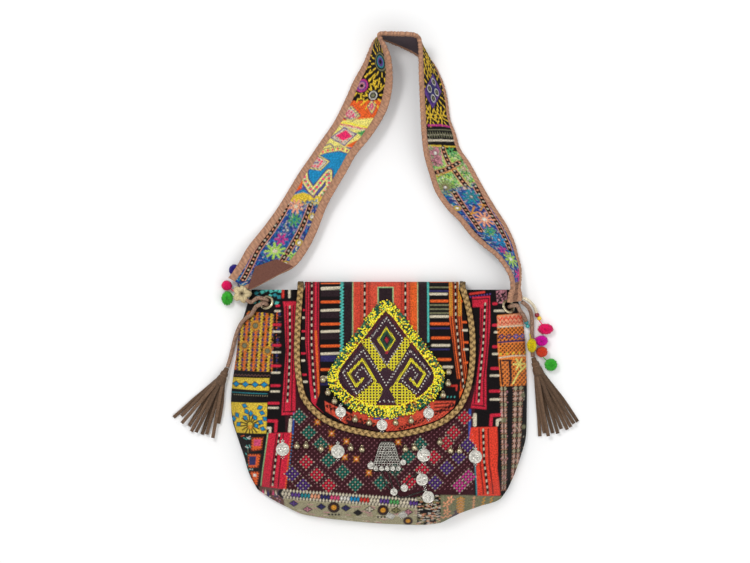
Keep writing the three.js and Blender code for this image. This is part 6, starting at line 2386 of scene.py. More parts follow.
TOP_OVALS = (
    (254, 302), (258, 297), (262, 292), (266, 290), (271, 291), (276, 290), (280, 291), (260, 303),
    (265, 299), (270, 296), (275, 295), (279, 297), (272, 301), (277, 303), (256, 293),
)
LEFT_RED_BARS = (
    (276, 280, 305.7), (273, 281.5, 324.6), (273, 281.5, 345), (271.5, 281.5, 365.4), (270, 281, 385),
    (268.5, 280, 402.4),
)
LEFT_CREAM_BARS = (
    (274.5, 281, 311), (273, 281.5, 331.4), (272, 281.5, 351.9), (271, 281, 372.1), (270, 280.5, 390.7),
    (268.5, 279.5, 407),
)
RIGHT_RED_BARS = (
    (492.5, 497, 303.6), (492, 497.5, 325), (492, 498, 346.4), (490, 499, 367.9), (488.5, 499.5, 390.4),
)
RIGHT_CREAM_BARS = (
    (493.5, 505, 310.7), (493.5, 499, 332), (491.5, 499, 353.6), (489, 499, 375), (489, 500, 398.6),
)
GOLD_MIRRORS = ((255.6, 325.6, 4.6), (244.4, 345.6, 4.4), (268, 350.6, 4.2))
BLUE_PETALS = (
    (245, 405.4, 20), (260.7, 406.8, -20), (237, 415, 60), (245.7, 417.4, 40), (251.4, 412.8, 90),
    (262.8, 412, 20),
    (255.7, 416.8, 60), (238.6, 424.3, -40), (261.4, 421.4, 30), (265.7, 417.8, 40), (263.5, 427.8, 20),
    (233.5, 419, 80), (247, 411, 60), (257, 425, 60),
)
DIAMONDS = {
    Dye.PINE: ((299.7, 415.8), (309.4, 431.4), (321.2, 443.1), (329, 458.8), (342.7, 470.5), (355.4, 483.2),
               (380.8, 481.3), (419.9, 443.1), (408, 455.4), (395, 468)),
    Dye.RUBY: ((306.5, 460.7), (317.3, 473.4), (329, 484.2), (463.9, 416.7), (453.2, 431.4), (445.3, 442.2),
               (433.6, 455.8), (421.9, 468.6), (409.2, 480.3)),
    Dye.AUBERGINE: ((292.8, 472.5), (303.6, 484.2), (458, 455.8), (446.3, 466.6), (434.6, 481.3), (467, 444)),
    Dye.MAGENTA: ((459, 484.2), (467.8, 475.4)),
}
GOLD_STARS = (
    (331.9, 432.4), (346.6, 440.2), (356.4, 457.8), (369, 471.5), (318, 421), (345, 456), (332, 447),
    (398, 441),
)
MIDDLE_FIELD = ((297, 412), (468, 412), (474, 445), (474, 490), (288, 487), (292, 440))
LEAF_LINE = ((283, 492.6), (300, 493.9), (320, 495.2), (345, 497), (380, 499.5), (417, 502))
LEAF_DYES = (
    Dye.CREAM, Dye.PURPLE, Dye.TEAL, Dye.PEACH, Dye.NAVY, Dye.PINK, Dye.WHITE, Dye.BLUE, Dye.RED, Dye.CREAM,
    Dye.PURPLE,
    Dye.GREEN,
)
HEM_DIAMONDS = (
    (293.8, 503, Dye.PURPLE), (307.5, 509, Dye.ROSE), (321.5, 505.7, Dye.NAVY), (346, 507, Dye.NAVY),
    (358, 512, Dye.BLACK), (369.6, 508, Dye.CREAM), (396, 509, Dye.OLIVE), (408, 511, Dye.ROSE),
)
HEM_MIRRORS = ((334, 506.5, 6.0), (383, 509, 5.6), (408, 521, 4.8))


def paint_body(thread: Embroidery) -> None:
    """Stitches the body's front.

    Args:
        thread: the cloth.
    """
    rng = np.random.default_rng(31)
    thread.field([(286, 385), (474, 385), (474, 497), (286, 492)], Dye.MAROON, 0.1)
    paint_left_side(thread, rng)
    paint_right_side(thread, rng)
    speckle(thread, MIDDLE_FIELD, 5.4, 0.36, Dye.ROSE)
    for dye, places in DIAMONDS.items():
        for place in places:
            cross_diamond(thread, place, dye)
    for x, y in GOLD_STARS:
        for turn in (0, 90):
            thread.lozenge((x, y), (4.3, 1.3), Dye.GOLD, turn + 45, 0.5)
            thread.lozenge((x, y), (3.2, 0.9), Dye.ORANGE, turn, 0.5)
        thread.disc((x, y), 0.8, Dye.CREAM, 0.5)
    paint_bottom(thread, rng)


def speckle(thread: Embroidery, outline: tuple[Place, ...], pitch: float, radius: float, dye: Dye) -> None:
    """Sets small stitches on crossing diagonals over a patch.

    Args:
        thread: the cloth.
        outline: the patch's corners.
        pitch: the spacing of the stitches across and down.
        radius: a stitch's radius.
        dye: its colour.
    """
    corners = np.array(outline, float)
    low, high = corners.min(0), corners.max(0)
    rows = np.arange(low[1], high[1], pitch / 2)
    spots = [(x + (i % 2) * pitch / 2, y) for i,
             y in enumerate(rows) for x in np.arange(low[0], high[0], pitch)]
    spots = np.array(spots)
    for spot in spots[inside_loop(spots, corners)]:
        thread.disc(tuple(spot), radius, dye, 0.3)


def cross_diamond(thread: Embroidery, middle: Place, dye: Dye) -> None:
    """Stitches a lozenge of nine small ones with light dots between them.

    Args:
        thread: the cloth.
        middle: the lozenge's middle.
        dye: its colour.
    """
    step = 2.6
    thread.lozenge(middle, (7.6, 7.6), Dye.BLACK, 0, 0.2)
    for i in (-1, 0, 1):
        for j in (-1, 0, 1):
            place = (middle[0] + (i - j) * step, middle[1] + (i + j) * step)
            thread.lozenge(place, (1.85, 1.85), dye, 0, 0.5)
    for i in np.arange(-1.5, 2):
        for j in np.arange(-1.5, 2):
            dot = (middle[0] + (i - j) * step, middle[1] + (i + j) * step)
            thread.disc(dot, 0.55, Dye.CREAM, 0.5)


def paint_left_side(thread: Embroidery, rng: np.random.Generator) -> None:
    """Stitches the body's left side.

    Args:
        thread: the cloth.
        rng: the source of its unevenness.
    """
    for x, y in TOP_OVALS:
        thread.lozenge((x, y), (2.6, 2.1), Dye.TURQUOISE if (x + y) % 3 else Dye.TEAL, rng.uniform(-40, 40))
    thread.line([(283, 290), (283, 297)], Dye.RED, 2.6)
    thread.line([(289.5, 290), (289.5, 297)], Dye.CREAM, 2.4)
    paint_gold_gusset(thread)
    bars(thread, LEFT_RED_BARS, Dye.CRIMSON, 2.6)
    bars(thread, LEFT_CREAM_BARS, Dye.CREAM, 2.0)
    dotted_band(
        thread,
        [(282.9, 301.4), (298, 301.4), (297, 320), (296, 350), (296, 394), (296, 413.5), (282.1, 414.3),
         (284.3, 380), (286.4, 348.6), (284.3, 308.6)],
        Dye.CRIMSON, [(290, 307), (290.5, 345), (289.5, 375), (288, 400)],
        [[(286.4, 306), (287.4, 348), (286, 385), (284.6, 410)],
         [(293.6, 306), (293.4, 348), (292.6, 385), (292, 410)],
         [(284, 411), (295, 410.5)]],
    )
    thread.line([(268, 420), (277, 420), (276.3, 430)], Dye.CRIMSON, 3.0)
    thread.line([(267, 427), (271, 427), (270.7, 431)], Dye.CREAM, 2.4)
    thread.line([(291.2, 419), (290.2, 430)], Dye.CREAM, 3.2)
    thread.line([(294.4, 412), (293.4, 432)], Dye.ROYAL, 1.4)
    dotted_band(
        thread, [(269.3, 432.1), (292.1, 431.4), (286.4, 488), (261.4, 487)], Dye.CRIMSON,
        [(280, 434), (276, 460), (273, 484)], [[(277.3, 433), (270.4, 486)], [(284, 433), (278.6, 486)]],
    )
    thread.line([(268.6, 432), (260.6, 486)], Dye.PALE_GREEN, 0.9)
    thread.stitches([(291.6, 433), (286.2, 487)], Dye.ORANGE, 2.6, 1.8)
    thread.stitches([(293.6, 433), (288.6, 478)], Dye.BLUE, 3.2, 1.2)
    paint_strips(thread)
    paint_chips(thread, rng)


def paint_gold_gusset(thread: Embroidery) -> None:
    """Stitches the gold panel at the left: herringbone columns, small stars and mirrors on dark cloth.

    Args:
        thread: the cloth.
    """
    panel = [(248, 311), (274.3, 314), (273, 371.4), (231, 370), (236, 345), (240, 325)]
    thread.field(panel, Dye.OCHRE, 0.2)
    near = thread.around(np.array((230, 310)), np.array((275, 372)))
    before = thread.colour[near].copy(), thread.relief[near].copy()
    for k, x in enumerate(np.arange(238, 280, 4.9)):
        thread.zigzag([(x, 312), (x - 4, 371)], Dye.YELLOW if k % 2 else Dye.ORANGE, 1.6, 1.1, 0.9)
        for j in range(12):
            place = (x + 2.45 - 0.33 * j, 314 + j * 5.1)
            thread.lozenge(place, (1.7, 2.3), Dye.NAVY if (j + k) % 3 else Dye.BLACK, 0, 0.4)
            thread.line([(place[0] - 1.8, place[1] + 2.6), (place[0] + 1.8, place[1] + 2.6)], Dye.BARK, 0.8)
    for x, y, radius in GOLD_MIRRORS:
        mirror_round(thread, (x, y), radius + 0.6, Dye.GOLD)
    outside = ~inside_loop(thread.points[near], np.array(panel))
    thread.colour[near[outside]], thread.relief[near[outside]] = (kept[outside] for kept in before)


def paint_strips(thread: Embroidery) -> None:
    """Stitches the black strip with blue lozenges and the yellow panel with blue petals.

    Args:
        thread: the cloth.
    """
    thread.field([(228, 371.5), (272, 371.5), (270.5, 401), (228, 401)], Dye.BLACK)
    thread.zigzag([(232, 375), (271, 375)], Dye.BARK, 1.7, 0.7, 0.6)
    thread.field([(230, 377.6), (270, 377.6), (269.5, 390), (231, 388.6)], Dye.YELLOW, 0.3)
    thread.line([(231, 383.6), (269.6, 384.6)], Dye.BLACK, 1.5)
    thread.stitches([(231, 378.8), (269.8, 379)], Dye.OLIVE, 1.8, 0.8)
    for x in (236, 245.7, 255.7, 265):
        thread.lozenge((x, 384), (4.2, 3.5), Dye.BLACK)
        thread.lozenge((x, 384), (3.1, 2.5), Dye.BLUE, 0, 0.6)
    thread.line([(232, 392.3), (268, 393)], Dye.TEAL, 0.8)
    thread.stitches([(234, 394.6), (268, 395.2)], Dye.KHAKI, 2.2, 0.9)
    thread.field([(229, 402.5), (268, 402), (267, 432.5), (236, 433)], Dye.YELLOW, 0.3)
    thread.sunburst((250.7, 424), 3, 10, Dye.BLACK, 15, 0, 360, 1.2)
    for x, y, turn in BLUE_PETALS:
        thread.lozenge((x, y), (3.6, 2.9), Dye.BLACK, turn, 0.3)
        thread.lozenge((x, y), (2.7, 2.1), Dye.BLUE, turn, 0.7)
    thread.disc((250.7, 426.5), 2.2, Dye.GOLD, 0.5)


def paint_chips(thread: Embroidery, rng: np.random.Generator) -> None:
    """Stitches the ragged scraps at the lower left.

    Args:
        thread: the cloth.
        rng: the source of their unevenness.
    """
    for _ in range(46):
        x, y = rng.uniform(238, 253), rng.uniform(435, 486)
        if x > 238 + (y - 435) * 0.3:
            dye = (Dye.WHITE, Dye.TURQUOISE, Dye.BARK, Dye.ORANGE, Dye.STONE)[rng.integers(5)]
            turn = rng.uniform(0, math.pi)
            run = np.array([math.cos(turn), math.sin(turn)]) * 1.6
            thread.line([(x - run[0], y - run[1]), (x + run[0], y + run[1])], dye, 0.8)
    for outline, dye, heart, inner in (
        (((252, 437), (264, 436), (262.5, 449), (251, 451)), Dye.ORANGE, Dye.PINK,
         ((254.4, 438.8), (261.8, 438.4), (261, 445), (254, 445.4))),
        (((247.5, 454), (261.5, 453), (259, 467), (248, 469)), Dye.ORANGE, Dye.NAVY,
         ((249, 456.4), (256.6, 455.8), (255.4, 464.8), (249, 465.4))),
        (((249, 472), (260, 471), (257, 486), (254, 486)), Dye.ORANGE, Dye.WHITE,
         ((253, 474), (256.4, 474), (256, 477), (253, 477))),
    ):
        thread.field(list(outline), dye, 0.3)
        edge = [*outline, outline[0]]
        thread.zigzag(edge, Dye.BLACK, 1.4, 1.0, 0.7)
        thread.field(list(inner), heart, 0.5)


def paint_right_side(thread: Embroidery, rng: np.random.Generator) -> None:
    """Stitches the body's right side.

    Args:
        thread: the cloth.
        rng: the source of its unevenness.
    """
    thread.line([(470, 294), (484, 292)], Dye.RED, 2.2)
    thread.stitches([(470, 297), (490, 294)], Dye.PURPLE, 3.0, 1.6)
    thread.field([(496, 291), (507, 289), (507, 304), (497, 303)], Dye.ROSE, 0.2)
    thread.zigzag([(498, 292), (499, 303), (504, 292), (505, 303)], Dye.BLACK, 2.0, 1.3, 1.2)
    bars(thread, RIGHT_RED_BARS, Dye.CRIMSON, 2.8)
    bars(thread, RIGHT_CREAM_BARS, Dye.CREAM, 2.2)
    dotted_band(
        thread,
        [(472, 297), (490, 295.7), (490, 323), (485.6, 371), (485.6, 408.6), (470, 407), (473.6, 391),
         (477.6, 360), (479.6, 337), (479.8, 307), (472.5, 307)],
        Dye.CRIMSON, [(485, 304), (482.5, 345), (479, 380), (478, 400)],
        [[(488.3, 299), (486.6, 345), (483, 380), (483, 405)],
         [(481.6, 309), (480.4, 337), (475.6, 378), (473.6, 402)],
         [(473, 299.5), (488, 298.4)], [(472, 404), (484, 405.6)]],
    )
    thread.line([(469.3, 409), (468.8, 440)], Dye.ROYAL, 2.2)
    thread.line([(474.2, 414), (474.2, 424)], Dye.CREAM, 3.6)
    thread.line([(499, 414), (490.6, 414.5), (490, 424)], Dye.CRIMSON, 3.2)
    thread.line([(499.5, 418.5), (496.6, 419.5), (496.4, 424)], Dye.CREAM, 2.8)
    dotted_band(
        thread,
        [(470, 426.4), (496.4, 425.7), (497, 451), (496.4, 467), (500.7, 496), (477, 495), (475, 465.7),
         (473.6, 444), (468, 441.4)],
        Dye.SCARLET, [(482.4, 429), (483.4, 460), (487.4, 492)],
        [[(478.4, 428), (479.4, 462), (483, 493)], [(487.4, 428), (488.4, 462), (493, 493)]],
    )
    edge = [(488.8, 426.4), (496.4, 426), (497, 451), (496.4, 467), (500.7, 495), (494, 495), (489.8, 460)]
    thread.field(edge, Dye.SCARLET, 0.3)
    thread.line([(473.2, 446), (474.4, 465), (476.2, 494)], Dye.TEAL, 1.3)
    paint_orange_panel(thread)
    paint_lattice(thread, rng)


def paint_orange_panel(thread: Embroidery) -> None:
    """Stitches the orange panel at the right.

    Args:
        thread: the cloth.
    """
    thread.field([(496.8, 315), (524, 313), (528, 345), (527, 385.5), (499.6, 385.5), (497, 345)],
                 Dye.AMBER, 0.3)
    speckle(thread, ((498, 328), (526, 326), (527, 340), (498, 341)), 4.0, 0.95, Dye.BLACK)
    speckle(thread, ((498, 343.5), (527, 342), (527, 355), (499, 356)), 4.0, 0.95, Dye.BLACK)
    speckle(thread, ((500, 359), (527, 358), (527, 385), (501, 385)), 4.4, 0.95, Dye.MAROON)
    thread.field([(496.8, 316), (524, 313), (525.6, 325.6), (497, 327)], Dye.PEACH, 0.3)
    thread.zigzag([(497.5, 319), (525, 317)], Dye.SCARLET, 2.2, 1.6, 1.2)
    thread.zigzag([(497.5, 323.5), (526, 321.5)], Dye.TOMATO, 2.0, 1.2, 1.0)
    for x in (501, 508.5, 516, 523):
        thread.lozenge((x, 336.4), (3.6, 2.7), Dye.NAVY if x < 510 else Dye.ROYAL)
        thread.lozenge((x, 336.4), (1.4, 1.1), Dye.AMBER)
    thread.line([(498, 342), (512, 341), (527, 340.4)], Dye.NAVY, 1.8)
    for line in ([(497.6, 327), (526, 325.4)], [(498.6, 357.4), (512, 355.6), (527.4, 355.8)]):
        thread.line(line, Dye.CREAM, 1.3, 0.6)
    thread.stitches([(500, 353.6), (526, 352.6)], Dye.YELLOW, 6.5, 2.6)
    for line in ([(499.6, 360), (501.6, 384)], [(501.6, 360), (508.6, 360), (510, 378), (509, 384)],
                 [(509.8, 360), (510.6, 380)]):
        thread.line(line, Dye.PLUM, 1.7)
    for x in (503.6, 506.4):
        thread.stitches([(x, 361), (x + 1.4, 384)], Dye.BARK, 2.0, 0.9)
    thread.line([(526.6, 366), (519, 372), (512.4, 383)], Dye.STRAW, 1.9, 0.6)
    thread.sunburst((519, 364), 1, 6, Dye.STRAW, 6, 0, 360, 1.8)
    thread.stitches([(514, 376), (526, 373)], Dye.BARK, 2.2, 0.9)


def paint_lattice(thread: Embroidery, rng: np.random.Generator) -> None:
    """Stitches the black and dusty pink lattice at the lower right.

    Args:
        thread: the cloth.
        rng: the source of its unevenness.
    """
    for start, end, half in (((502.5, 388), (504, 488), 3.2), ((518, 388), (515, 482), 5.2)):
        line = even_line(np.array([start, end], float), 5.2)
        for i, (x, y) in enumerate(line):
            wide = half * (1 - 0.35 * i / len(line))
            dye = Dye.BLUSH if i % 3 else Dye.KHAKI
            for sign in (-1, 1):
                thread.lozenge((x + sign * wide * 0.55, y), (wide * 0.55, 2.5), dye, 0, 0.4)
            thread.lozenge((x, y), (1.1, 1.3), Dye.BLACK)
            thread.stitches([(x - wide, y + 2.6), (x + wide, y + 2.6)], Dye.PEACH, 2.0, 0.8)
    for x, y in ((523, 395), (524, 427), (504, 419)):
        thread.disc((x, y), 2.2, Dye.STONE, 0.4)
    for _ in range(90):
        x, y = rng.uniform(500, 526), rng.uniform(388, 486)
        if not 507 < x < 511.5:
            thread.disc((x, y), 0.55, Dye.CREAM if x > 514 else Dye.ROSE, 0.3)


def paint_bottom(thread: Embroidery, rng: np.random.Generator) -> None:
    """Stitches the leaf band and the bottom.

    Args:
        thread: the cloth.
        rng: the source of its unevenness.
    """
    thread.field([(258, 487), (288, 488), (292, 500), (284, 520), (262, 505)], Dye.BARK, 0.1)
    for i in range(10):
        x = 261 + i * 2.7
        dye = (Dye.PINK, Dye.CREAM, Dye.NAVY, Dye.MAROON)[i % 4]
        thread.field([(x, 495), (x + 1.5, 489.4), (x + 3, 495)], dye, 0.3)
    for _ in range(26):
        x, y = rng.uniform(268, 290), rng.uniform(494, 505)
        thread.disc((x, y), 0.9, (Dye.NAVY, Dye.ROSE, Dye.CREAM)[rng.integers(3)], 0.3)
    thread.field([(284, 497), (345, 500.5), (424, 506), (424, 540), (300, 535), (284, 506)], Dye.KHAKI, 0.15)
    for _ in range(150):
        x, y = rng.uniform(286, 422), rng.uniform(499, 530)
        dye = (Dye.OLIVE, Dye.ROSE, Dye.CREAM)[rng.integers(3)]
        thread.line([(x - 2.4, y), (x + 2.4, y + 0.5)], dye, 0.7, 0.2)
    thread.line(list(LEAF_LINE), Dye.BLACK, 9.5, 0.1)
    line = even_line(np.array(LEAF_LINE, float), 3.3)
    for i, (x, y) in enumerate(line):
        thread.lozenge((x, y), (1.5, 2.9), LEAF_DYES[i // 3 % len(LEAF_DYES)], 4, 0.5)
        for shift in (-3.6, 3.6):
            thread.lozenge((x + 1.65, y + shift), (1.3, 1.9), Dye.CREAM, 4, 0.5)
    for x, y, dye in HEM_DIAMONDS:
        thread.lozenge((x, y), (5.2, 3.9), Dye.BLACK, 0, 0.3)
        for i, j in ((0, -1), (0, 1), (-1, 0), (1, 0), (0, 0)):
            thread.lozenge((x + i * 2.3, y + j * 1.75), (1.5, 1.15), dye, 0, 0.5)
    for x, y, radius in HEM_MIRRORS:
        mirror_round(thread, (x, y), radius, Dye.BLACK, Dye.GOLD)
        thread.stitches([(x - 5, y + radius + 2), (x + 5, y + radius + 2)], Dye.BLACK, 3.2, 2.2)
    paint_right_hem(thread, rng)


def paint_right_hem(thread: Embroidery, rng: np.random.Generator) -> None:
    """Stitches the speckled patch and the olive patch at the lower right.

    Args:
        thread: the cloth.
        rng: the source of its unevenness.
    """
    thread.field([(417, 494), (440, 493), (441, 527), (417, 524)], Dye.BLACK, 0.1)
    for _ in range(190):
        x, y = rng.uniform(417, 440), rng.uniform(494, 526)
        dye = (Dye.CREAM, Dye.PEACH, Dye.OLIVE, Dye.WHITE)[rng.integers(4)]
        thread.line([(x - 1.0, y), (x + 1.0, y + 0.3)], dye, 0.7, 0.4)
    thread.field([(440, 493.5), (470, 494), (506, 497), (494, 508), (441, 530)], Dye.STONE, 0.1)
    for y in np.arange(496, 522, 3.2):
        thread.line([(456.4, y + 2), (460.2, y), (464, y + 2)], Dye.GOLD, 1.0)
        thread.line([(457.4, y + 3.2), (460.2, y + 1.6), (463, y + 3.2)], Dye.PEACH, 0.6)
    for y in np.arange(497, 516, 4.0):
        thread.lozenge((473.7, y), (2.0, 1.9), Dye.PEACH)
        thread.line([(468.4, y), (478.6, y)], Dye.OLIVE, 0.7)
    for x in (484, 492):
        thread.zigzag([(x, 497), (x - 1, 508)], Dye.GOLD, 1.8, 1.2, 0.8)
    for x, y in ((446, 503), (446.6, 511), (450, 498)):
        thread.flower((x, y), 3.2, Dye.PEACH, Dye.OLIVE, 5)
    thread.zigzag([(441, 517.5), (478, 512.5)], Dye.PEACH, 2.4, 1.1, 1.0)


FLAP_LEFT_ORANGE = (282.5, 302, 324, 345.7, 369)
FLAP_LEFT_CREAM = (288.5, 310, 331, 353, 376.5)
FLAP_RIGHT_ORANGE = ((430, 448, 301), (430, 449, 323.6), (431, 449.6, 337.6), (437, 450.6, 359),
                     (446, 457, 387))
FLAP_RIGHT_CREAM = ((429, 447.6, 294), (429.6, 448.6, 316.4), (431, 449.6, 345), (442, 452.5, 366.4),
                    (446, 455, 381))
SHORT_LEFT = ((299, 305, 287, Dye.CREAM), (299, 305.4, 331, Dye.CRIMSON), (299, 305, 338, Dye.CREAM),
              (298.5, 306, 353, Dye.CRIMSON), (299, 305.4, 360, Dye.CREAM), (301, 307, 374, Dye.CRIMSON),
              (302, 308, 381, Dye.CREAM), (299, 305, 310, Dye.CRIMSON), (299, 305, 317.5, Dye.CREAM))
SHORT_RIGHT = ((461, 469, 301, Dye.ORANGE), (461, 470, 322, Dye.ORANGE), (462, 470, 330, Dye.CREAM),
               (462.5, 470, 342, Dye.ORANGE), (463, 470, 349, Dye.CREAM), (464, 470, 362, Dye.ORANGE))


def paint_flap(thread: Embroidery) -> None:
    """Stitches the flap, its stripes running from the fold to its end.

    Args:
        thread: the cloth.
    """
    top, end = 215, 440
    thread.field([(353, top), (418, top), (418, end), (353, end)], Dye.TOMATO, 0.2)
    for x in np.arange(354, 418, 1.7):
        thread.line([(x, top), (x + 0.4, end)], Dye.RED if int(x) % 2 else Dye.TOMATO, 0.7, 0.3)
    thread.field([(410, top), (417, top), (417, end), (410, end)], Dye.ORANGE, 0.3)
    dotted_band(
        thread, [(305.6, top), (319, top), (319, 345), (324, 412), (312, 402), (306, 345)], Dye.CRIMSON,
        [(312, top), (312, 345), (315.6, 396)],
        [[(307.4, top), (307.4, 340), (309, 380)], [(317.6, top), (317.6, 340), (321.5, 402)],
         [(310, top), (310, 345), (313, 385)], [(314.2, top), (314.2, 345), (318.4, 398)]],
    )
    thread.field([(314.8, 330), (317.2, 330), (321, 404), (318.6, 400)], Dye.ORANGE, 0.3)
    paint_flap_ladders(thread, top)
    thread.field([(344.4, top), (352.2, top), (352.2, 352), (344.4, 352)], Dye.PLUM, 0.1)
    thread.line([(352.8, top), (352.8, 345)], Dye.PALE_GREEN, 0.9)
    thread.line([(417.6, top), (417.6, 352)], Dye.PALE_GREEN, 0.9)
    thread.field([(418.2, top), (426.6, top), (426.6, 352), (418.2, 352)], Dye.PLUM, 0.1)
    thread.zigzag([(342, top), (342, 352)], Dye.TURQUOISE, 1.6, 1.1, 1.6)
    thread.line([(428, top), (428, 341)], Dye.TURQUOISE, 1.9, 0.5)
    for outer, middle in (((360.7, 368.6), 364.7), ((401.4, 409.3), 405.3)):
        thread.line([(middle, top), (middle, 322)], Dye.BLACK, 2.4)
        thread.stitches([(middle, top), (middle, 322)], Dye.CREAM, 7.2, 1.5, 1.8)
        for x in outer:
            thread.stitches([(x, top), (x, 325)], Dye.BLACK, 1.7, 0.9)
            thread.stitches([(x + 1.4, top), (x + 1.4, 325)], Dye.BLACK, 1.7, 0.6)
    thread.field([(377.4, 287.4), (393.6, 287.4), (393.6, 304), (377.4, 304)], Dye.PALE_GREEN, 0.3)
    thread.field([(378.6, 288.6), (392.4, 288.6), (392.4, 304), (378.6, 304)], Dye.PLUM, 0.2)
    paint_flap_end(thread)


def paint_flap_ladders(thread: Embroidery, top: float) -> None:
    """Stitches the flap's ladders and its gold band.

    Args:
        thread: the cloth.
        top: where the stripes start, beyond the fold.
    """
    thread.field([(320, top), (341, top), (341, 400), (320, 400)], Dye.BLACK, 0.1)
    for y in (*FLAP_LEFT_CREAM, 267, 245, 223):
        thread.field([(321, y + 2), (340, y + 2), (340, y + 8), (321, y + 8)],
                     Dye.NAVY if y > 340 else Dye.PLUM, 0.2)
        thread.line([(322, y + 0.4), (339.4, y - 0.2)], Dye.CREAM, 2.5, 0.6)
    for y in (*FLAP_LEFT_ORANGE, 260, 238):
        thread.line([(322, y), (339.4, y - 0.3)], Dye.ORANGE, 2.6, 0.6)
    thread.field([(429.4, top), (449, top), (452, 400), (436, 400)], Dye.BLACK, 0.1)
    for y in (305, 309, 313, 328, 349, 288, 291):
        thread.line([(430, y), (448.6, y)], Dye.NAVY if y in (291, 328, 349) else Dye.STONE, 1.6, 0.2)
    bars(thread, (*FLAP_RIGHT_ORANGE, (430, 448, 279), (430, 448, 257), (430, 448, 235)), Dye.ORANGE, 2.7)
    bars(thread, (*FLAP_RIGHT_CREAM, (430, 448, 272), (430, 448, 250), (430, 448, 228)), Dye.CREAM, 2.5)
    dotted_band(
        thread, [(448.8, top), (461.4, top), (461.4, 318), (463.5, 345), (467, 375), (466, 392), (459, 398),
                 (452.6, 345), (449, 318)],
        Dye.ORANGE, [(455.2, top), (455.4, 318), (458.5, 350), (463, 386)],
        [[(450.6, top), (450.8, 318), (454, 350), (459.4, 390)],
         [(459.8, top), (459.8, 318), (462.4, 350), (466, 376)],
         [(453, top), (453.2, 318), (456.4, 350), (461.4, 388)],
         [(457.4, top), (457.6, 318), (460.4, 350), (464.6, 380)]],
    )
    thread.field([(449.2, top), (452.2, top), (452.2, 316), (449.2, 316)], Dye.GOLD, 0.3)
    thread.field([(457.8, top), (461.2, top), (461.2, 316), (457.8, 316)], Dye.GOLD, 0.3)
    for x in (450.8, 459.4):
        thread.stitches([(x, top), (x, 316)], Dye.BARK, 1.7, 0.9)
    for start, end, y, dye in (*SHORT_LEFT, *SHORT_RIGHT):
        thread.line([(start + 0.8, y), (end - 0.8, y)], dye, 2.2, 0.5)


def paint_flap_end(thread: Embroidery) -> None:
    """Stitches the scraps round the flap's lower end, below the beaded patch.

    Args:
        thread: the cloth.
    """
    thread.field([(320, 392), (345, 405), (350, 412), (330, 418), (316, 404)], Dye.BLACK, 0.1)
    thread.field([(325, 400), (350, 412), (372, 420), (372, 428), (345, 422), (326, 410)], Dye.TOMATO, 0.3)
    thread.field([(345, 418), (372, 424), (386, 428), (386, 436), (350, 426)], Dye.MAROON, 0.2)
    thread.field([(398, 414), (420, 410), (432, 400), (455, 400), (452, 410), (430, 424), (398, 432)],
                 Dye.TOMATO, 0.3)
    for route in (((328, 405), (350, 416), (376, 424)), ((400, 427), (420, 420), (440, 410), (452, 404))):
        thread.line(list(route), Dye.BLACK, 3.4, 0.1)
        thread.zigzag(list(route), Dye.TOMATO, 2.4, 1.7, 0.9)
    speckle(thread, ((326, 404), (386, 428), (452, 404), (446, 416), (420, 430), (386, 437), (350, 427)),
            3.4, 0.5, Dye.BLACK)
    thread.line([(374, 417.6), (398, 417)], Dye.ROYAL, 1.6, 0.5)
    for y in (403, 406.5, 410):
        thread.line([(434, y), (452, y - 1)], Dye.BLACK, 1.2, 0.5)
    thread.field([(446, 378), (460, 378), (458, 398), (440, 400)], Dye.BLACK, 0.1)
    thread.line([(447, 385), (456, 385), (456, 389)], Dye.RED, 1.8, 0.5)
    thread.stitches([(440, 396), (454, 396)], Dye.TURQUOISE, 4, 1.4)
    for x in np.arange(330, 372, 5.2):
        thread.line([(x, 404 + (x - 330) * 0.42), (x + 1.5, 412 + (x - 330) * 0.36)], Dye.BLACK, 1.0, 0.4)


# The beaded motif's middle line, and its bands to the right of it, which are mirrored to the left
MOTIF_MIDDLE = 386.5
HOOK_BAND = ((386.5, 384), (398, 366), (410, 350), (430, 372), (416.4, 393), (401, 378.6), (410.7, 366),
             (417, 374), (413, 379))
HOOK_LINE = ((398, 379), (410.7, 359), (424.4, 373), (417, 385.6), (410, 378))
YELLOW_BAND = ((404.5, 336.6), (411.6, 341), (393.4, 370.6), (386.6, 365.8))
YELLOW_FIELD = ((389.6, 388), (397, 379.4), (416.4, 395), (413, 404), (400, 409), (386.5, 411),
                (386.5, 404), (397, 404))


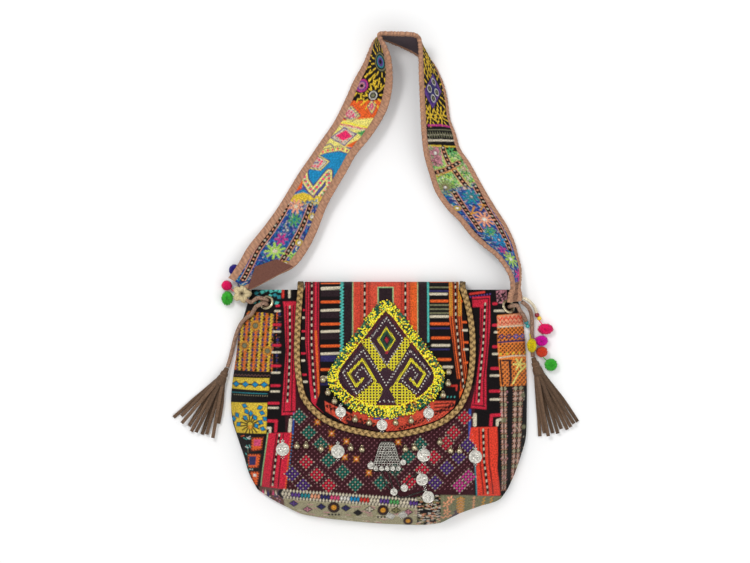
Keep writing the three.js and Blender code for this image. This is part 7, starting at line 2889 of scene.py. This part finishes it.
def paint_beadwork(thread: Embroidery) -> None:
    """Colours the seed beads.

    Args:
        thread: the beads.
    """
    middle = MOTIF_MIDDLE
    thread.field([(330, 280), (445, 280), (445, 430), (330, 430)], Dye.BEAD_MAROON)
    for sign in (1, -1):
        def side(route: tuple[Place, ...], sign: int = sign) -> list[Place]:
            return [(middle + sign * (x - middle), y) for x, y in route]
        thread.field(side(YELLOW_FIELD), Dye.LEMON)
        thread.field(side(YELLOW_BAND), Dye.LEMON)
        thread.line(side(HOOK_LINE), Dye.LEMON, 2.4)
        thread.stitches(side(HOOK_BAND), Dye.WHITE, 3.1, 1.7)
        thread.stitches(side(((386.5, 318), (403, 339), (386.5, 364))), Dye.WHITE, 3.1, 1.7)
        thread.stitches(side(((389, 400), (393, 401))), Dye.WHITE, 3.1, 1.7)
    thread.lozenge((middle, 339.4), (9.4, 13), Dye.LEMON)
    thread.lozenge((middle, 339.4), (7.2, 10.4), Dye.FOREST)
    thread.lozenge((middle, 339.4), (4.2, 6.4), Dye.BLACK)
    thread.lozenge((middle, 339.4), (2.0, 3.2), Dye.RUBY)
    thread.disc((middle, 351.6), 1.6, Dye.RUBY)
    dark = np.all(np.abs(thread.colour - Dye.LEMON.linear()) < 0.05, axis=1)
    column = np.round(thread.points[:, 0] / 1.56)
    row = np.round(thread.points[:, 1] / 1.37)
    dots = dark & (row % 2 == 0) & (column % 2 == 0)
    big = np.array([inside_loop(thread.points, np.array(side_points)) for side_points in (
        YELLOW_FIELD, YELLOW_BAND, [(2 * middle - x, y) for x, y in YELLOW_FIELD],
        [(2 * middle - x, y) for x, y in YELLOW_BAND],
    )]).any(axis=0)
    thread.colour[dots & big] = Dye.BEAD_MAROON.linear()


@dataclass
class StrapThread:
    """Stitches on the strap by the photograph's pixels."""

    thread: Embroidery
    at: StrapChart

    def route(self, places: tuple[Place, ...] | list[Place]) -> list[Place]:
        """Gives the cloth's own places for pixels."""
        return [self.at(place) for place in places]

    def field(self, places: tuple[Place, ...] | list[Place], dye: Dye, lift: float = 0.2) -> None:
        """Fills a patch."""
        self.thread.field(self.route(places), dye, lift)

    def line(self, places: tuple[Place, ...] | list[Place], dye: Dye, width: float = 1.6,
             lift: float = 0.5) -> None:
        """Draws a line."""
        self.thread.line(self.route(places), dye, width, lift)

    def star(self, place: Place, radius: float, petal: Dye, heart: Dye, petals: int = 8) -> None:
        """Draws a star of stitches."""
        self.thread.flower(self.at(place), radius, petal, heart, petals, 0.28)

    def mirror(self, place: Place, radius: float, dye: Dye) -> None:
        """Draws a mirror's ring, with its glass painted white as a painted reflection."""
        mirror_round(self.thread, self.at(place), radius, dye, Dye.WHITE)

    def border(self, places: tuple[Place, ...]) -> None:
        """Draws a chain border between two light lines."""
        route = self.route(places)
        self.thread.line(route, Dye.BLACK, 4.6, 0.2)
        self.thread.chain(route, (Dye.CREAM, Dye.BLACK, Dye.PEACH, Dye.BLACK), 2.2, 2.6)
        run = np.array(route[-1]) - np.array(route[0])
        side = np.array([-run[1], run[0]]) / np.linalg.norm(run) * 2.5
        for sign in (1, -1):
            self.thread.line([tuple(np.array(point) + sign * side) for point in route], Dye.PEACH, 0.7, 0.4)


ORANGE_CLOTH = ((346, 100), (388, 100), (384, 128), (338, 124))
STRAW_CLOTH = ((340, 121), (388, 121), (366, 152), (308, 156), (316, 140))
BLUE_CLOTH = ((312, 152), (366, 150), (342, 194), (322, 206), (282, 198), (296, 178))
STITCHED_BLUE_LEFT = ((278, 199), (336, 203), (312, 268), (262, 312), (218, 300))
LIME_CLOTH = ((416, 146), (470, 146), (484, 186), (436, 198))
STITCHED_BLUE_RIGHT = ((430, 195), (482, 182), (506, 220), (530, 290), (512, 305), (486, 272))
BLUE_THREADS = (Dye.BLUE, Dye.NAVY, Dye.ROYAL, Dye.NAVY, Dye.LILAC, Dye.TEAL, Dye.CREAM)
WRAPPED_END = ((498, 284), (530, 281), (532, 312), (498, 312))


def paint_strap(thread: Embroidery, at: StrapChart) -> None:
    """Stitches the strap's face.

    Args:
        thread: the cloth.
        at: where each pixel of the photograph lies on the strap.
    """
    strap = StrapThread(thread, at)
    thread.colour[:] = Dye.BLACK.linear()
    paint_strap_left(strap)
    paint_strap_right(strap)


def rays(strap: StrapThread, middle: Place, rings: tuple[float, ...], dye: Dye, count: int) -> None:
    """Stitches broken rays round a medallion.

    Args:
        strap: the strap's cloth.
        middle: the medallion's middle.
        rings: where each ring of stitches starts.
        dye: the stitches' colour.
        count: how many stitches a ring has.
    """
    for i, ring_start in enumerate(rings):
        strap.thread.sunburst(strap.at(middle), ring_start, ring_start + 3.6, dye, count + 4 * i, 7 * i,
                              width=1.35)


def paint_strap_left(strap: StrapThread) -> None:
    """Stitches the strap's left run, from its top to its folded end.

    Args:
        strap: the strap's cloth.
    """
    strap.field(ORANGE_CLOTH, Dye.ORANGE)
    strap.field(STRAW_CLOTH, Dye.STRAW)
    strap.field(BLUE_CLOTH, Dye.BLUE)
    strap.field(STITCHED_BLUE_LEFT, Dye.COBALT)
    rays(strap, (382, 62), (11, 16.5, 22), Dye.SUNNY, 13)
    rays(strap, (373.8, 95), (7, 12), Dye.SUNNY, 10)
    rays(strap, (362.5, 85), (9, 14), Dye.SUNNY, 11)
    for radius, dye in ((9, Dye.STONE), (7.6, Dye.BLACK), (6, Dye.TEAL), (4.6, Dye.PURPLE), (2.4, Dye.BLACK)):
        strap.thread.disc(strap.at((382, 62)), radius, dye, 0.4)
    for radius, dye in ((5.4, Dye.BLACK), (4.4, Dye.WHITE), (3.4, Dye.BLACK), (2, Dye.STONE)):
        strap.thread.disc(strap.at((373.8, 95)), radius, dye, 0.5)
    for radius, dye in ((8, Dye.BLACK), (6.8, Dye.MAGENTA), (5.2, Dye.PURPLE), (3.6, Dye.ROSE),
                        (2, Dye.BLACK)):
        strap.thread.disc(strap.at((362.5, 85)), radius, dye, 0.4)
    leaf(strap, ((372.5, 102), (376, 106), (372.5, 113), (369, 106)), Dye.STRAW, Dye.PINK)
    leaf(strap, ((343, 108), (352, 107), (360, 116), (352, 121), (343, 116)), Dye.STRAW, Dye.PINK)
    strap.line(((345, 112), (356, 117)), Dye.PINK, 1.4)
    for shift, dye in ((0, Dye.LEMON), (2.2, Dye.PINK), (4.2, Dye.CREAM)):
        strap.line(((341, 122 + shift), (352, 124 + shift), (368, 128 + shift)), dye, 1.4)
    strap.field(((357, 133), (370, 130), (364, 139)), Dye.GREEN)
    strap.field(((346, 146), (358, 141), (354, 150)), Dye.ORANGE)
    diamond = ((344.7, 127.6), (357, 135), (345, 146.4), (331, 138))
    strap.field(diamond, Dye.CREAM)
    strap.line((*diamond, diamond[0]), Dye.PURPLE, 1.2)
    ring_route = ((344.7, 130.6), (353.4, 135.4), (345, 143.2), (335, 137.8), (344.7, 130.6))
    strap.thread.stitches(strap.route(ring_route), Dye.ORANGE, 3.4, 1.2)
    strap.thread.stitches(strap.route(ring_route[1:]), Dye.TEAL, 4.6, 1.2)
    strap.field(((336.6, 135.4), (346.6, 131), (352.6, 137), (343.6, 141.8)), Dye.HOT_PINK, 0.6)
    strap.line(((318, 149), (331, 144), (334, 146)), Dye.PURPLE, 1.2)
    arc = ((314, 156), (326, 151), (340, 148.6), (352, 152.4))
    strap.line(arc, Dye.AUBERGINE, 6.0)
    strap.line(arc, Dye.STRAW, 4.4)
    strap.thread.stitches(strap.route(arc), Dye.HOT_PINK, 4.8, 2.5)
    strap.thread.stitches(strap.route(arc[1:]), Dye.GREEN, 4.4, 1.5)
    leaf(strap, ((305, 158), (318, 155), (329.6, 162), (321, 169.6), (307, 168)), Dye.STRAW, Dye.HOT_PINK)
    strap.line(((308, 162.5), (319, 162.5)), Dye.PURPLE, 1.5)
    wave = ((304, 168), (305.6, 180), (313.6, 192), (320, 184), (329.4, 172.6), (330, 186), (322, 196),
            (334, 186))
    strap.line(wave, Dye.AUBERGINE, 9.0)
    strap.line(wave, Dye.STRAW, 6.4)
    strap.line(wave, Dye.CREAM, 3.2)
    strap.thread.stitches(strap.route(wave), Dye.HOT_PINK, 5.2, 3.0)
    strap.thread.stitches(strap.route(wave[1:]), Dye.GREEN, 4.8, 2.1)
    strap.field(((294, 184), (303, 181), (302, 190), (292, 192)), Dye.ORANGE)
    strap.field(((288, 196), (303, 192), (328, 199), (326, 206), (286, 203)), Dye.YELLOW)
    strap.line(((293, 194), (304, 188), (314.4, 198), (321, 188)), Dye.PURPLE, 1.4)
    paint_blue_left(strap)


def leaf(strap: StrapThread, outline: tuple[Place, ...], edge: Dye, heart: Dye) -> None:
    """Stitches an outlined leaf with dots in it.

    Args:
        strap: the strap's cloth.
        outline: the leaf's corners.
        edge: the outline's colour.
        heart: the dots' colour.
    """
    strap.field(outline, Dye.CREAM)
    strap.line((*outline, outline[0]), Dye.AUBERGINE, 2.6)
    strap.line((*outline, outline[0]), edge, 1.2)
    middle = tuple(np.mean(outline, axis=0))
    inner = [tuple(np.array(middle) + (np.array(point) - middle) * 0.5) for point in outline]
    strap.thread.stitches(strap.route([*inner, inner[0]]), heart, 3.4, 2.6)


def scattered_stitches(strap: StrapThread, outline: tuple[Place, ...], dyes: tuple[Dye, ...], count: int,
                       seed: int) -> None:
    """Covers a patch with short loose stitches.

    Args:
        strap: the strap's cloth.
        outline: the patch's corners.
        dyes: the stitches' colours.
        count: how many there are.
        seed: the seed of their places.
    """
    rng = np.random.default_rng(seed)
    corners = np.array(strap.route(outline))
    low, high = corners.min(0), corners.max(0)
    spots = rng.uniform(low, high, (count, 2))
    for x, y in spots[inside_loop(spots, corners)]:
        turn = rng.uniform(0, math.pi)
        run = np.array([math.cos(turn), math.sin(turn)]) * rng.uniform(0.9, 1.8)
        strap.thread.line([(x - run[0], y - run[1]), (x + run[0], y + run[1])],
                          dyes[rng.integers(len(dyes))], 0.8, 0.3)


def paint_blue_left(strap: StrapThread) -> None:
    """Stitches the flowered blue cloth at the left.

    Args:
        strap: the strap's cloth.
    """
    scattered_stitches(strap, STITCHED_BLUE_LEFT, BLUE_THREADS, 1500, 4)
    strap.border(((288.5, 203), (265, 241), (243, 280)))
    strap.border(((311, 205), (302, 228), (280, 266)))
    strap.thread.chain(strap.route(((321, 206), (316, 216))), (Dye.CREAM, Dye.BLACK), 2.2, 2.4)
    strap.star((296, 207), 7, Dye.PEACH, Dye.CREAM)
    strap.star((295, 220), 6, Dye.GREEN, Dye.TEAL)
    strap.mirror((288, 230), 2.4, Dye.BLUE)
    strap.star((281, 240), 5.4, Dye.MAGENTA, Dye.PURPLE, 6)
    strap.star((275, 252), 8.6, Dye.LIME, Dye.CREAM, 9)
    for place in ((313, 216.5), (299.4, 242.6), (286, 264)):
        strap.mirror(place, 3.7, Dye.YELLOW)
    strap.star((293.4, 256), 4.4, Dye.LIME, Dye.GREEN, 6)


def paint_strap_right(strap: StrapThread) -> None:
    """Stitches the strap's right run, from its top to the eyelet.

    Args:
        strap: the strap's cloth.
    """
    strap.field(LIME_CLOTH, Dye.LIME)
    strap.field(STITCHED_BLUE_RIGHT, Dye.COBALT)
    rays(strap, (431.3, 91.7), (12, 18, 24), Dye.SUNNY, 15)
    rays(strap, (426, 60), (2, 8, 14), Dye.SUNNY, 8)
    for x in (429, 440):
        rays(strap, (x, 117), (1.5, 6.5), Dye.SUNNY, 6)
    for half_x, half_y, dye in ((10, 19, Dye.BLACK), (9, 17.4, Dye.PURPLE), (7.6, 15, Dye.AUBERGINE),
                                (6.2, 12.6, Dye.NAVY)):
        diamond = [(431.3, 91.7 - half_y), (431.3 + half_x, 91.7), (431.3, 91.7 + half_y),
                   (431.3 - half_x, 91.7)]
        strap.field(diamond, dye, 0.3)
    for place in ((431.8, 82.5), (427.5, 89.7), (435.3, 92.5), (431.7, 99.2)):
        for radius, dye in ((3.6, Dye.WHITE), (2.8, Dye.BLACK), (1.3, Dye.STONE)):
            strap.thread.disc(strap.at(place), radius, dye, 0.5)
    for y, dye, width in ((125.6, Dye.MAGENTA, 1.9), (130, Dye.STONE, 1.0), (140.6, Dye.CREAM, 2.0),
                          (146.4, Dye.YELLOW, 1.7)):
        strap.line(((427, y), (440, y - 0.6), (455, y)), dye, width)
    dashes = strap.route(((427, 135.4), (440, 134.6), (453, 135)))
    strap.thread.stitches(dashes, Dye.CREAM, 2.6, 1.3)
    strap.thread.zigzag(dashes, Dye.STONE, 1.6, 2.6, 0.7)
    paint_lime(strap)
    paint_blue_right(strap)


def paint_lime(strap: StrapThread) -> None:
    """Stitches the lime cloth below the black stretch.

    Args:
        strap: the strap's cloth.
    """
    scattered_stitches(strap, LIME_CLOTH, (Dye.GREEN, Dye.PALE_GREEN, Dye.FOREST, Dye.CREAM), 620, 9)
    strap.field(((428, 147), (441, 147), (442, 166), (431, 166)), Dye.ROSE)
    scattered_stitches(strap, ((428, 147), (441, 147), (442, 166), (431, 166)), (Dye.GREEN, Dye.BARK), 60, 12)
    strap.mirror((434, 153), 3.6, Dye.ROSE)
    strap.star((449.4, 151), 4.6, Dye.GREEN, Dye.BLACK, 6)
    strap.thread.disc(strap.at((439, 162)), 1.8, Dye.ROSE, 0.4)
    strap.border(((442, 148), (449, 164), (468, 188)))
    strap.border(((433, 173), (446, 169), (459, 162)))
    scattered_stitches(strap, ((458, 164), (466, 160), (474, 182), (468, 184)),
                       (Dye.CREAM, Dye.ROSE, Dye.GREEN), 60, 15)
    for radius, dye in ((9.4, Dye.GREEN), (8, Dye.OLIVE)):
        strap.star((445, 187), radius, dye, Dye.OLIVE, 16)
    strap.mirror((445, 187), 3.2, Dye.OLIVE)
    strap.line(((436, 176), (456, 168)), Dye.GOLD, 0.9)


def paint_blue_right(strap: StrapThread) -> None:
    """Stitches the flowered blue cloth at the right.

    Args:
        strap: the strap's cloth.
    """
    scattered_stitches(strap, STITCHED_BLUE_RIGHT, BLUE_THREADS, 1500, 21)
    strap.border(((476, 186), (489, 212), (509, 250)))
    strap.border(((454, 192), (463, 206), (480, 232)))
    strap.star((471, 197), 7.4, Dye.TEAL, Dye.TURQUOISE)
    strap.mirror((471, 197), 2.3, Dye.TEAL)
    for start, tip, end in (((477, 212), (471, 215), (474, 207)), ((478, 205), (484, 205), (480, 211))):
        strap.line((start, tip, end), Dye.GOLD, 1.6)
    strap.star((484, 220), 8.4, Dye.PEACH, Dye.WHITE, 10)
    strap.star((490, 232), 5.4, Dye.GREEN, Dye.TEAL)
    strap.star((498, 241), 6.6, Dye.BLUE, Dye.NAVY)
    strap.mirror((498, 241), 2.2, Dye.ROYAL)
    strap.star((502, 251), 4.6, Dye.MAGENTA, Dye.PURPLE, 6)
    strap.star((509.5, 260), 8, Dye.LIME, Dye.WHITE, 9)
    strap.star((517, 275), 5.4, Dye.MAGENTA, Dye.PINK, 6)
    strap.mirror((457, 208.5), 3.6, Dye.YELLOW)
    strap.field(WRAPPED_END, Dye.HIDE, 0.4)
    for y in (285, 289.5, 294):
        strap.line(((504, y + 2), (514, y), (526, y - 2)), Dye.BARK, 1.0, 0.1)


def dress_kept_nodes(finishes: dict[str, bpy.types.Material]) -> None:
    """Gives the CAD nodes that stay in sight their materials.

    Args:
        finishes: the materials by name.
    """
    for name, finish in (
        ("bag_body", "plain_lining"), ("flap", "plain_lining"), ("strap_end_fold", "rosy_lining"),
        ("bead_patch", "plain_lining"),
    ):
        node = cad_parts[name]
        if not node.material_slots:
            node.data.materials.append(finishes[finish])
        for slot in node.material_slots:
            slot.material = finishes[finish]


def main() -> None:
    """Builds the scene in order: the camera and cords first, then the cloth, the beads and the metal."""
    Look().build()
    finishes = {finish.name: finish.material() for finish in (
        STITCHED, BINDING, LINING, FOLD, BEADWORK, BRAIDED, AGED_BRASS, WORN_SILVER, DARK_SILVER,
        CORD_BROWN, CORD_CREAM, KNOT_CORD,
        SUEDE, YARN,
    )}
    cords = Cords()
    cords.build(finishes)
    Trimmings().build(finishes)
    BodyCloth().build(finishes)
    FlapCloth().build(finishes)
    Braid().build(finishes)
    BeadPatch().build(finishes)
    StrapCloth().build(finishes)
    for row in SEWN:
        row.build(finishes)
    coin_beads(finishes)
    Metal().build(finishes)
    dress_kept_nodes(finishes)


if __name__ == "__main__":
    main()
